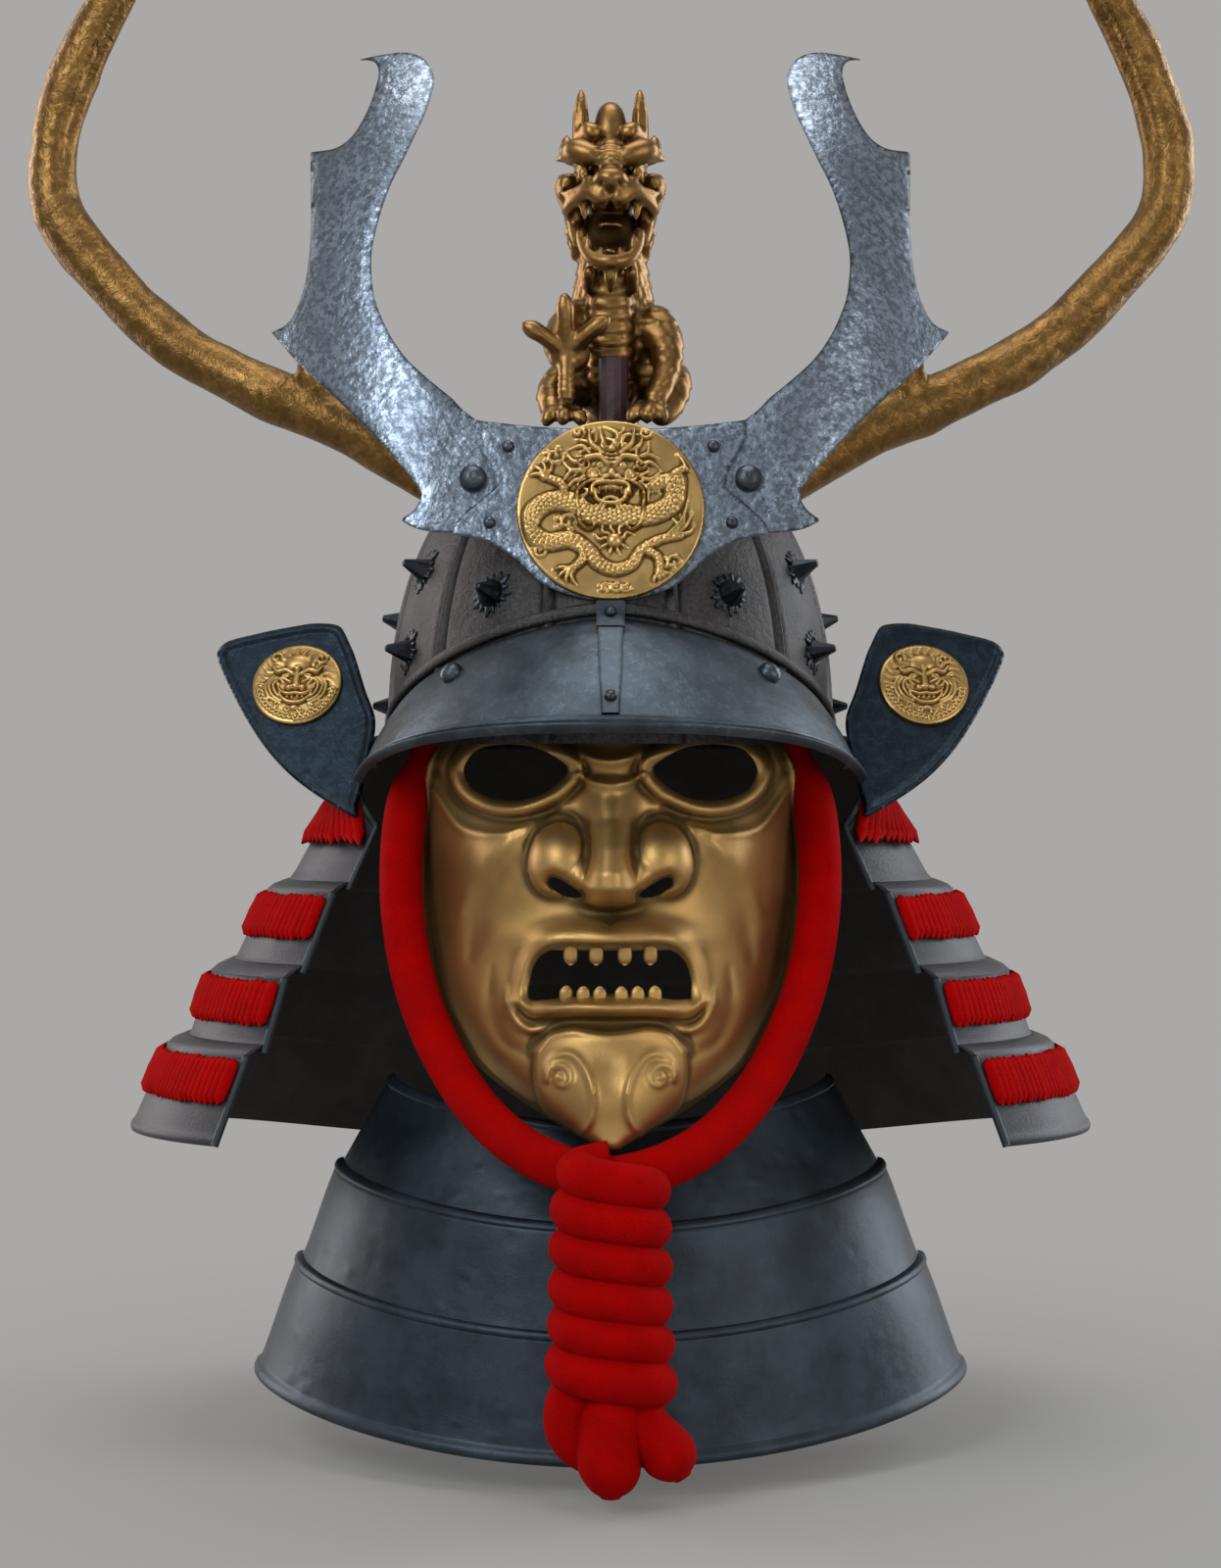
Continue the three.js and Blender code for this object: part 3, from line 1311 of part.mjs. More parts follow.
const knotLowZ = knotTopZ - knotHeight;
const knotEnds = [
  [
    { x: -16, y: knotY, z: knotLowZ + 12, r: 0.7 },
    { x: -19, y: knotY + 2, z: knotLowZ - 4, r: 0.95 },
    { x: -13, y: knotY + 3, z: knotLowZ - 15, r: 0.95 },
    { x: -4, y: knotY + 3, z: knotLowZ - 20, r: 0.6 },
  ],
  [
    { x: 0, y: knotY - 6, z: knotLowZ + 8, r: 0.7 },
    { x: 0, y: knotY - 8, z: knotLowZ - 10, r: 1 },
    { x: 0, y: knotY - 8, z: knotLowZ - 26, r: 1 },
    { x: 0, y: knotY - 8, z: knotLowZ - 36, r: 0.75 },
    { x: 0, y: knotY - 8, z: knotLowZ - 40, r: 0.25 },
  ],
  [
    { x: 8, y: knotY - 2, z: knotLowZ + 4, r: 0.8 },
    { x: 20, y: knotY - 2, z: knotLowZ - 10, r: 0.9 },
    { x: 29, y: knotY - 2, z: knotLowZ - 23, r: 1 },
    { x: 36, y: knotY - 2, z: knotLowZ - 32, r: 0.6 },
    { x: 38, y: knotY - 2, z: knotLowZ - 35, r: 0.2 },
  ],
].map((knots) => limb(
  knots.map((knot) => ({ ...knot, r: (knot.r * knotEndDiameter) / 2 })), 6, 6));
const knotWhole = joined(knotWrapsSolid(), ...knotEnds);
add('cord_knot', mainPiece(cut(knotWhole, cordTube(cordDiameter / 2 + clearance))), redCord);

export default helmet;
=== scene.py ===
"""The looks of a samurai helmet, built round the packed frame of its solids.

Lengths in the tables are millimetres in the frame's own axes: +Z up, the face looks along -Y and
the origin is the inside of the crown.
"""

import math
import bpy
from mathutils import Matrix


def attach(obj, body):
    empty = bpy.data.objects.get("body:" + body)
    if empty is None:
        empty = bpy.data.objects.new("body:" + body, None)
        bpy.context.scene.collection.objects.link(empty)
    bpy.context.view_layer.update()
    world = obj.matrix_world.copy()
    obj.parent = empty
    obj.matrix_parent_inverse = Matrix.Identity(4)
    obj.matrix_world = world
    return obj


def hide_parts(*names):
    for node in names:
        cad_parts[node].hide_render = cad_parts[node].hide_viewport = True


bl_info = {
    "name": "Samurai Helmet",
    "version": (1, 0, 0),
    "blender": (4, 5, 0),
    "location": "View3D > Sidebar > Helmet",
    "description": "Dresses the frame of a samurai helmet with its detailed pieces",
    "category": "Object",
}

import bmesh
import bpy
import numpy as np
from bpy.props import FloatProperty, FloatVectorProperty, IntProperty, PointerProperty
from mathutils import Vector

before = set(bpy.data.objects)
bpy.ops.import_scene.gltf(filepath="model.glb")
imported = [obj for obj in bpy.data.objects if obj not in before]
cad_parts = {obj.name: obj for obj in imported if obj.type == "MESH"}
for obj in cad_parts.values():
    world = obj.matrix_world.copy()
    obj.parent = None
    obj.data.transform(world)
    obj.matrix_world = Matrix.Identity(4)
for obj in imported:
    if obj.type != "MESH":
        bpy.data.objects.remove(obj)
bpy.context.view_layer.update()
MM = 0.001
ROOT = "root"
SIDES = (("left", -1), ("right", 1))

# Sizes that the solids have too, in millimetres and degrees
CLEARANCE = 0.3
BOWL_WIDTH, BOWL_LENGTH, BOWL_HEIGHT, BOWL_WALL = 224, 256, 160, 3
CROWN_POWER, PANELS, RIM_Z = 2.4, 11, -157
VISOR_WALL, VISOR_REACH, VISOR_SPREAD, VISOR_SEAT, VISOR_SPAN = 2, 57, 12, 30, 80
VISOR_TOP, VISOR_END, VISOR_LIP, VISOR_FALL, VISOR_BOW = 58, 6, 4, 23, 3
BAND_WIDTH, BAND_THICKNESS, BAND_SLIT = 5.5, 1.5, 0.6
STRAP_WIDTH, STRAP_THICKNESS = 13.5, 1.6
CREST_HEIGHT, CREST_HALF, CREST_LEAN, CREST_FLAT, CREST_SWEEP = 235, 170, 14, 80, 170
CREST_TOP, CREST_TOP_SWEEP, CREST_WALL = 151, 440, 2
MEDALLION_DIAMETER, MEDALLION_THICKNESS, MEDALLION_HEIGHT = 89, 5, 43.5
ANTLER_REACH, ANTLER_HEIGHT, ANTLER_THICKNESS = 290, 311, 28.4
NECK_RADIUS, NECK_FLARE, NECK_DROP, NECK_RISE, NECK_BACK = 120, 122, 200, 7, 36
NECK_FRONT, NECK_WALL, NECK_LAP, NECK_RIM = 0.63, 2, 4, 0.6
NECK_SPAN, NECK_TOP_SPAN, NECK_BACK_TUCK = 128.5, 87, 6
PLATE_WIDTH, PLATE_HEIGHT, PLATE_INSET, PLATE_DROP = 83, 98, 117.5, 35
PLATE_FORWARD, PLATE_LEAN, PLATE_SWEEP, PLATE_WALL, PLATE_RIM = 55, 28, 0.12, 2.4, 1.6
BEAST_DIAMETER, BEAST_THICKNESS = 46, 3.5
MASK_WIDTH, MASK_HEIGHT, MASK_TOP, MASK_SEAT, MASK_DEPTH, MASK_WALL = 180, 198, -145, 70, 80, 2.5
THROAT_TOP_WIDTH, THROAT_WIDTH, THROAT_TOP_DEPTH, THROAT_DEPTH = 219, 356, 100, 150
THROAT_TOP, THROAT_HEIGHT, THROAT_DIP, THROAT_LAP, THROAT_WALL, THROAT_RIDGE = -323.5, 148.5, 20, 5, 2, 1.8
CORD_DIAMETER, KNOT_TOP, KNOT_Y, KNOT_HEIGHT = 21, -350.5, -180.8, 112
FLOOR_Z = -505


def colour(red, green, blue):
    """A colour's linear values from the usual 0 to 255."""
    def linear(value):
        value /= 255
        return value / 12.92 if value <= 0.04045 else ((value + 0.055) / 1.055) ** 2.4
    return tuple(linear(value) for value in (red, green, blue))


class HelmetSizes(bpy.types.PropertyGroup):
    """Sizes of the details that are worked on the helmet."""

    rib_height: FloatProperty(
        name="Rib Height", description="Height of the ribs between the bowl's panels",
        default=1.6 * MM, min=0, unit="LENGTH")
    spike_length: FloatProperty(
        name="Spike Length", description="How far a spike stands out of the bowl",
        default=12 * MM, min=0, unit="LENGTH")
    spike_width: FloatProperty(
        name="Spike Width", description="Diameter of a spike at its foot",
        default=11.5 * MM, min=0, unit="LENGTH")
    rosette_width: FloatProperty(
        name="Rosette Width", description="Diameter of the leafed rosette under a spike",
        default=21 * MM, min=0, unit="LENGTH")
    lace_width: FloatProperty(
        name="Lace Width", description="Width of one lace of the neck guard's lacing",
        default=6.4 * MM, min=0.5 * MM, unit="LENGTH")
    scale_length: FloatProperty(
        name="Scale Length", description="Length of one of the dragon's scales",
        default=6.5 * MM, min=MM, unit="LENGTH")
    dent_count: IntProperty(
        name="Dents", description="Number of small dents on each lame of the throat guard",
        default=110, min=0)


def tint(title, red, green, blue):
    """A colour that the user can change."""
    return FloatVectorProperty(
        name=title, description=f"Colour of the {title.lower()}", default=colour(red, green, blue),
        size=3, min=0, max=1, subtype="COLOR")


class HelmetColours(bpy.types.PropertyGroup):
    """Colours of the helmet's finishes."""

    bowl: tint("Bowl Iron", 62, 60, 60)
    visor: tint("Visor Steel", 70, 80, 88)
    crest: tint("Crest Steel", 154, 167, 183)
    gilt: tint("Gilt Brass", 196, 160, 100)
    dragon: tint("Dragon Bronze", 142, 108, 64)
    antler: tint("Antler Bronze", 140, 106, 60)
    mask: tint("Mask Bronze", 190, 152, 94)
    plate: tint("Turned-back Plates", 32, 43, 53)
    lame: tint("Neck Lames", 50, 50, 56)
    throat: tint("Throat Lames", 45, 55, 64)
    red: tint("Red Cord", 172, 0, 0)
    spike: tint("Spike Iron", 50, 55, 60)
    rivet: tint("Rivet Steel", 72, 79, 86)
    post: tint("Post Paint", 62, 36, 44)
    ground: tint("Floor", 150, 149, 147)


# Numbers and shapes

def stack(*parts):
    return np.stack(np.broadcast_arrays(*parts), -1).astype(float)


def unit(vectors):
    return vectors / np.maximum(np.linalg.norm(vectors, axis=-1, keepdims=True), 1e-12)


def mix(low, high, share):
    return low + (high - low) * share


def bump(value, centre, reach):
    return np.exp(-(((value - centre) / reach) ** 2))


def smooth(value, low, high):
    share = np.clip((value - low) / (high - low), 0, 1)
    return share * share * (3 - 2 * share)


def dome(value, centre, reach):
    """A round hump over a centre, flat beyond its reach."""
    return np.sqrt(np.clip(1 - ((value - centre) / reach) ** 2, 0, 1))


def round_angles(count):
    return np.linspace(0, 2 * math.pi, count, endpoint=False)


def lengths_along(line):
    """How far along a line each of its points lies."""
    return np.concatenate([[0], np.cumsum(np.linalg.norm(np.diff(line, axis=0), axis=1))])


def spline(knots, count, axes=3, closed=False):
    """A smooth line through knots at even steps; its length is told by the first few columns."""
    knots = np.asarray(knots, float)
    if closed:
        line = np.vstack([knots[-1:], knots, knots[:2]])
    else:
        line = np.vstack([2 * knots[0] - knots[1], knots, 2 * knots[-1] - knots[-2]])
    gaps = np.linalg.norm(np.diff(line[:, :axes], axis=0), axis=1)
    time = np.concatenate([[0], np.cumsum(np.sqrt(np.maximum(gaps, 1e-9)))])
    fine = []
    for row in range(1, len(line) - 2):
        t0, t1, t2, t3 = time[row - 1:row + 3]
        p0, p1, p2, p3 = line[row - 1:row + 3]
        t = np.linspace(t1, t2, 24, endpoint=False)[:, None]
        a1 = mix(p0, p1, (t - t0) / (t1 - t0))
        a2 = mix(p1, p2, (t - t1) / (t2 - t1))
        a3 = mix(p2, p3, (t - t2) / (t3 - t2))
        b1 = mix(a1, a2, (t - t0) / (t2 - t0))
        b2 = mix(a2, a3, (t - t1) / (t3 - t1))
        fine.append(mix(b1, b2, (t - t1) / (t2 - t1)))
    fine = np.vstack(fine + [line[-2:-1]])
    length = lengths_along(fine[:, :axes])
    even = np.linspace(0, length[-1], count)
    return np.stack([np.interp(even, length, column) for column in fine.T], 1)


def grid_quads(rows, columns, wraps=False):
    """Squares of a grid of points, row by row."""
    row, column = np.mgrid[0:rows - 1, 0:columns if wraps else columns - 1]
    after = (column + 1) % columns
    corners = [row * columns + column, (row + 1) * columns + column,
               (row + 1) * columns + after, row * columns + after]
    return np.stack(corners, -1).reshape(-1, 4)


def shell_faces(faces, count):
    """A closed shell's faces: the outer ones, the same turned round behind them and their rims."""
    edges = np.concatenate([faces[:, [at, (at + 1) % 4]] for at in range(4)])
    ahead = edges[:, 0] * count + edges[:, 1]
    back = edges[:, 1] * count + edges[:, 0]
    rim = edges[~np.isin(ahead, back)]
    rims = np.stack([rim[:, 1], rim[:, 0], rim[:, 0] + count, rim[:, 1] + count], 1)
    return np.concatenate([faces, faces[:, ::-1] + count, rims])


def capped(rows, sides):
    """Squares round a limb's rings, and the triangles from its ends to the two poles that follow."""
    faces = grid_quads(rows, sides, True).tolist()
    count = rows * sides
    for at in range(sides):
        after = (at + 1) % sides
        faces.append([after, at, count])
        faces.append([count - sides + at, count - sides + after, count + 1])
    return faces


def tube(line, radius, sides, flat=1.0):
    """Points and faces of a round limb along a line, with a pole at each end."""
    line = np.asarray(line, float)
    radius = np.broadcast_to(radius, len(line))
    tangent = unit(np.gradient(line, axis=0))
    first = np.cross(tangent[0], (0.31, 0.17, 0.93))
    normals = [first / np.linalg.norm(first)]
    for direction in tangent[1:]:
        turned = normals[-1] - direction * normals[-1].dot(direction)
        normals.append(turned / np.linalg.norm(turned))
    normal = np.array(normals)
    binormal = np.cross(tangent, normal)
    angle = round_angles(sides)
    across = np.cos(angle)[None, :, None] * normal[:, None]
    upwards = flat * np.sin(angle)[None, :, None] * binormal[:, None]
    rings = line[:, None] + radius[:, None, None] * (across + upwards)
    points = np.concatenate([rings.reshape(-1, 3), line[:1], line[-1:]])
    return points, capped(len(line), sides)


def limb(knots, count, sides, flat=1.0):
    """A limb through knots of x, y, z and radius, rounded off at both ends."""
    line = spline(knots, count)
    along = lengths_along(line[:, :3])
    close = np.minimum(along, along[::-1].max() - along) / np.maximum(line[:, 3], 1e-6)
    cap = np.sqrt(np.clip(1 - (1 - np.clip(close, 0.06, 1)) ** 2, 0, 1))
    return tube(line[:, :3], line[:, 3] * cap, sides, flat)


def ball(centre, radii, rows=10, columns=14):
    """A ball with its own radius along each axis."""
    height = np.sin(np.linspace(-1, 1, rows) * math.pi / 2)
    ring = dome(height, 0, 1)
    angle = round_angles(columns)
    rings = stack(ring[:, None] * np.cos(angle), ring[:, None] * np.sin(angle), height[:, None] + 0 * angle)
    points = rings.reshape(-1, 3) * radii + centre
    return points, grid_quads(rows, columns, True).tolist()


def together(parts):
    """Several shapes' points and faces as one."""
    points, faces, count = [], [], 0
    for part_points, part_faces in parts:
        points.append(part_points)
        faces.extend([[corner + count for corner in face] for face in part_faces])
        count += len(part_points)
    return np.concatenate(points), faces


def outward_volume(points, faces):
    """Six times the volume that a shape's faces hold, below zero where they look inwards."""
    total = 0.0
    for size in (3, 4):
        same = np.array([face for face in faces if len(face) == size])
        for last in range(2, size) if len(same) else ():
            a, b, c = (points[same[:, at]] for at in (0, last - 1, last))
            total += np.einsum("ij,ij->i", a, np.cross(b, c)).sum()
    return total


def new_piece(name, mesh, finish=None):
    """An object at the origin for a finished mesh."""
    piece = bpy.data.objects.new(name, mesh)
    bpy.context.scene.collection.objects.link(piece)
    if finish:
        mesh.materials.clear()
        mesh.materials.append(finish)
    return piece


def mesh_of(name, points, faces, sharp=None, merge=True, **fields):
    """A clean closed mesh from points in millimetres, faces and numbers for each point."""
    points = np.asarray(points, float)
    faces = faces.tolist() if isinstance(faces, np.ndarray) else faces
    if outward_volume(points, faces) < 0:
        faces = [face[::-1] for face in faces]
    used = np.zeros(len(points), bool)
    for face in faces:
        used[face] = True
    place = np.cumsum(used) - 1
    mesh = bpy.data.meshes.new(name)
    mesh.from_pydata((points[used] * MM).tolist(), [], [place[face].tolist() for face in faces])
    for field, values in fields.items():
        mesh.attributes.new(field, "FLOAT", "POINT").data.foreach_set(
            "value", np.asarray(values, np.float32)[used])
    if merge:
        work = bmesh.new()
        work.from_mesh(mesh)
        bmesh.ops.remove_doubles(work, verts=work.verts, dist=0.002 * MM)
        bmesh.ops.dissolve_degenerate(work, edges=work.edges, dist=0.001 * MM)
        work.to_mesh(mesh)
        work.free()
    mesh.shade_smooth()
    if sharp:
        mesh.set_sharp_from_angle(angle=math.radians(sharp))
    return mesh


def seat_piece(piece, slot, *nodes):
    """Rides a finished piece on the helmet, with its slot and the solids it stands for."""
    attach(piece, ROOT)
    if nodes:
        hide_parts(*nodes)
    return piece


def finished(name, mesh, slot, *nodes, finish=None):
    """A piece on the helmet for a finished mesh, in its slot's material or in another one."""
    return seat_piece(new_piece(name, mesh, finish_of(finish or slot)), slot, *nodes)


def shell_piece(name, outer, inner, slot, nodes=(), wraps=False, sharp=50, finish=None, **fields):
    """A closed wall between two grids of points."""
    rows, columns = outer.shape[:2]
    faces = shell_faces(grid_quads(rows, columns, wraps), rows * columns)
    points = np.concatenate([outer.reshape(-1, 3), inner.reshape(-1, 3)])
    back = np.repeat([0.0, 1.0], rows * columns)
    extra = {field: np.concatenate([np.ravel(values)] * 2) for field, values in fields.items()}
    mesh = mesh_of(name, points, faces, sharp, inside=back, **extra)
    return finished(name, mesh, slot, *nodes, finish=finish)


# Outlines and relief in a plane

def nearest_on(points, path):
    """For each point, its distance to a path, the nearest place on it, how far along and which side."""
    start, step = path[:-1], np.diff(path, axis=0)
    square = np.maximum((step ** 2).sum(1), 1e-12)
    length = np.sqrt(square)
    reach = np.cumsum(length) - length
    distance, along, side = (np.empty(len(points)) for _ in range(3))
    place = np.empty((len(points), 2))
    for part in np.array_split(np.arange(len(points)), 1 + len(points) * len(start) // 1_500_000):
        offset = points[part, None] - start
        share = np.clip((offset * step).sum(2) / square, 0, 1)
        gap = offset - share[..., None] * step
        size = (gap ** 2).sum(2)
        best = size.argmin(1)
        row = np.arange(len(part))
        distance[part] = np.sqrt(size[row, best])
        place[part] = start[best] + share[row, best, None] * step[best]
        along[part] = reach[best] + share[row, best] * length[best]
        cross = step[best, 0] * gap[row, best, 1] - step[best, 1] * gap[row, best, 0]
        side[part] = np.sign(cross)
    return distance, place, along, side


def inside(points, outline):
    """Which points lie inside a closed outline."""
    x, y = points.T
    within = np.zeros(len(points), bool)
    for (ax, ay), (bx, by) in zip(outline, np.roll(outline, -1, 0)):
        crosses = (ay > y) != (by > y)
        if crosses.any():
            within ^= crosses & (x < (bx - ax) * (y - ay) / (by - ay if by != ay else 1) + ax)
    return within


def depth_in(points, outline):
    """Distance inside a closed outline, below zero outside it, and the nearest place on it."""
    distance, place, _, _ = nearest_on(points, np.vstack([outline, outline[:1]]))
    return np.where(inside(points, outline), distance, -distance), place


class Sheet:
    """A grid of points and squares in a plane, cut along an outline and its holes."""

    def __init__(self, outline, spacing, holes=()):
        low, high = outline.min(0) - spacing, outline.max(0) + spacing
        self.shape = tuple(np.ceil((high - low) / spacing).astype(int) + 1)
        axes = [low[at] + spacing * np.arange(self.shape[at]) for at in (0, 1)]
        self.points = np.stack(np.meshgrid(*axes, indexing="ij"), -1).reshape(-1, 2)
        self.depth, place = depth_in(self.points, outline)
        for hole in holes:
            away, edge = depth_in(self.points, hole)
            nearer = -away < self.depth
            self.depth = np.where(nearer, -away, self.depth)
            place = np.where(nearer[:, None], edge, place)
        snap = np.abs(self.depth) < 0.75 * spacing
        self.points[snap] = place[snap]
        self.depth[snap] = 0
        quads = grid_quads(*self.shape)
        mean = self.depth[quads].mean(1)
        flat = np.abs(mean) < 1e-9
        centre = self.points[quads].mean(1)
        kept = mean > 1e-9
        if flat.any():
            within = inside(centre, outline)
            for hole in holes:
                within &= ~inside(centre, hole)
            kept |= flat & within
        self.quads = quads[kept]

    def softened(self, values, passes):
        """Numbers on the grid, evened out with their neighbours."""
        field = np.reshape(values, self.shape).astype(float)
        for _ in range(passes):
            wide = np.pad(field, 1, mode="edge")
            field = (wide[:-2, 1:-1] + wide[2:, 1:-1] + wide[1:-1, :-2] + wide[1:-1, 2:]
                     + 4 * field) / 8
        return field.ravel()

    def hollows(self, height, passes=10):
        """How far each place lies below its surroundings, in millimetres."""
        return self.softened(height, passes) - height

    def piece(self, name, front, back, slot, nodes=(), sharp=55, **fields):
        """A closed plate between a front and a back place for each point."""
        count = len(self.points)
        faces = shell_faces(self.quads, count)
        extra = {field: np.concatenate([values, 0 * values]) for field, values in fields.items()}
        mesh = mesh_of(name, np.concatenate([front, back]), faces, sharp, merge=False, **extra)
        return finished(name, mesh, slot, *nodes)


class Relief:
    """A height for each point of a plane, raised by strokes, bosses and steps."""

    def __init__(self, points):
        self.points = points
        self.height = np.zeros(len(points))

    def join(self, rows, raised, add):
        self.height[rows] = self.height[rows] + raised if add else np.maximum(self.height[rows], raised)

    def stroke(self, knots, width, height, ends=(1, 1), soft=False, add=False, scale=0, count=40):
        """A raised line, or a groove where its height is below zero."""
        line = spline(knots, count, axes=2)[:, :2] if len(knots) > 2 else np.asarray(knots, float)
        reach = width * (2.6 if soft else 1)
        low, high = line.min(0) - reach, line.max(0) + reach
        rows = np.flatnonzero(((self.points > low) & (self.points < high)).all(1))
        if not len(rows):
            return
        distance, _, along, side = nearest_on(self.points[rows], line)
        share = along / max(along.max(), 1e-9)
        taper = np.interp(share, (0, 0.5, 1), (ends[0], 1, ends[1]))
        across = distance / (width * np.maximum(taper, 1e-3))
        profile = np.exp(-across ** 2) if soft else dome(across, 0, 1)
        raised = height * profile * (np.minimum(1, taper * 1.6) if soft else np.sqrt(taper))
        if scale:
            raised = raised * (1 + 0.35 * scales(along / scale, side * distance / scale))
        self.join(rows, raised, add)

    def boss(self, x, y, wide, tall, height, turn=0.0, soft=False, add=False):
        """A rounded boss."""
        offset = self.points - (x, y)
        c, s = math.cos(turn), math.sin(turn)
        u = (offset[:, 0] * c + offset[:, 1] * s) / wide
        v = (-offset[:, 0] * s + offset[:, 1] * c) / tall
        size = u ** 2 + v ** 2
        profile = np.exp(-size) if soft else np.sqrt(np.clip(1 - size, 0, 1))
        rows = np.flatnonzero(profile > 1e-3)
        self.join(rows, height * profile[rows], add)

    def step(self, outline, height, bevel, add=False):
        """A flat raised place with sloped borders."""
        depth, _ = depth_in(self.points, np.asarray(outline, float))
        rows = np.flatnonzero(depth > 0)
        self.join(rows, height * smooth(depth[rows], 0, bevel), add)


def scales(along, across):
    """Overlapping scales: near one at the middle of each and below zero between them."""
    row = np.floor(along)
    u = along - row
    v = across + 0.5 * (row % 2)
    v = v - np.floor(v) - 0.5
    return 1 - 1.6 * np.sqrt((0.75 * u) ** 2 + (1.5 * v) ** 2)


# Finishes

class Field:
    """A value that varies over a surface, with the arithmetic that the finishes need."""

    def __init__(self, finish, socket):
        self.finish, self.socket = finish, socket

    def math(self, operation, *values):
        return self.finish.node("ShaderNodeMath", {"operation": operation}, dict(enumerate(values)))

    def __add__(self, other):
        return self.math("ADD", self, other)

    def __sub__(self, other):
        return self.math("SUBTRACT", self, other)

    def __rsub__(self, other):
        return self.math("SUBTRACT", other, self)

    def __mul__(self, other):
        return self.math("MULTIPLY", self, other)

    __radd__, __rmul__ = __add__, __mul__

    def between(self, low, high):
        """From nought to one as the value goes from low to high."""
        return self.finish.node("ShaderNodeMapRange", {"interpolation_type": "SMOOTHSTEP"},
                                {"Value": self, "From Min": low, "From Max": high})


class Finish:
    """A material and the one way its nodes are made."""

    def __init__(self, name, metallic=1.0, roughness=0.4, **fixed):
        self.material = bpy.data.materials.new(name)
        self.material.use_nodes = True
        self.tree = self.material.node_tree
        self.shader = self.tree.nodes["Principled BSDF"]
        fixed = {"Metallic": metallic, "Roughness": roughness, **fixed}
        for socket, value in fixed.items():
            self.shader.inputs[socket.replace("_", " ")].default_value = value
        self.place = self.node("ShaderNodeTexCoord", {}, {}, "Object")

    def node(self, kind, settings, values, output=0):
        """A node of a kind with its settings and its sockets' values, as one of its outputs."""
        node = self.tree.nodes.new(kind)
        for name, value in settings.items():
            setattr(node, name, value)
        for socket, value in values.items():
            if isinstance(value, Field):
                self.tree.links.new(value.socket, node.inputs[socket])
            else:
                node.inputs[socket].default_value = value
        return Field(self, node.outputs[output])

    def set(self, socket, value):
        """Feeds one of the shader's sockets."""
        if isinstance(value, Field):
            self.tree.links.new(value.socket, self.shader.inputs[socket])
        else:
            self.shader.inputs[socket].default_value = value

    def noise(self, size, detail=4.0, roughness=0.55, distortion=0.0):
        """Cloudy noise with features of a size in millimetres."""
        return self.node("ShaderNodeTexNoise", {}, {
            "Vector": self.place, "Scale": 1 / (size * MM), "Detail": detail,
            "Roughness": roughness, "Distortion": distortion})

    def cells(self, size, feature="F1", smoothness=0.5):
        """Cells of a size in millimetres: the distance from each one's middle."""
        settings = {"feature": feature}
        values = {"Vector": self.place, "Scale": 1 / (size * MM)}
        if feature == "SMOOTH_F1":
            values["Smoothness"] = smoothness
        return self.node("ShaderNodeTexVoronoi", settings, values, "Distance")

    def field(self, name):
        """Numbers that a mesh carries for each point."""
        return self.node("ShaderNodeAttribute", {"attribute_name": name}, {}, "Fac")

    def blend(self, share, low, high):
        """A colour between two."""
        low, high = ((*value, 1) if isinstance(value, tuple) else value for value in (low, high))
        return self.node("ShaderNodeMix", {"data_type": "RGBA"}, {0: share, 6: low, 7: high}, 2)

    def dent(self, height, depth, normal=None):
        """Turns a height field of a depth in millimetres into the surface's normal."""
        values = {"Height": height, "Distance": depth * MM, "Strength": 1.0}
        if normal:
            values["Normal"] = normal
        return self.node("ShaderNodeBump", {}, values)


def shade(base, amount):
    """A colour made darker or lighter."""
    return tuple(min(1.0, value * amount) for value in base)


def bowl_iron(name, base):
    """Dark iron with a fine eroded grain and a soft hammering, dark beside its ribs."""
    finish = Finish(name, 0.8, 0.5)
    grain, patches = finish.noise(1.5, 6, 0.72), finish.noise(24)
    pits, seam = finish.noise(4.5, 3, 0.6, 0.4), finish.field("hollow")
    tone = finish.blend(patches.between(0.35, 0.65), shade(base, 0.72), shade(base, 1.2))
    tone = finish.blend(grain.between(0.5, 0.66) * 0.4, tone, shade(base, 2.4))
    tone = finish.blend((1 - grain.between(0.36, 0.5)) * 0.6, tone, shade(base, 0.3))
    # painted shade: the hollow field darkens the grooves beside the ribs
    finish.set("Base Color", finish.blend(seam * 0.85, tone, shade(base, 0.12)))
    finish.set("Roughness", grain * 0.36 + 0.32)
    finish.set("Normal", finish.dent(grain, 0.3, finish.dent(pits, 0.7)))
    return finish.material


def dark_steel(name, base, hammer, rough=0.42, streak=0.35, metal=0.9):
    """Blue-grey steel with a softly hammered face, speckles and a fine grain."""
    finish = Finish(name, metal, rough)
    grain, patches = finish.noise(1.2, 6, 0.72), finish.noise(34, 5, 0.62)
    blows, waves = finish.cells(hammer, "SMOOTH_F1", 0.7), finish.noise(hammer * 1.6, 3)
    worn = finish.noise(3.2, 6, 0.7, 0.5).between(0.5, 0.66)
    tone = finish.blend(patches.between(0.32, 0.68), shade(base, 0.6), shade(base, 1.2))
    finish.set("Base Color", finish.blend(worn * patches.between(0.4, 0.6) * streak, tone, shade(base, 2.0)))
    finish.set("Roughness", grain * 0.26 + patches * 0.16 + (rough - 0.2))
    finish.set("Normal", finish.dent(grain, 0.14, finish.dent(blows * 0.5 + waves, 0.42)))
    return finish.material


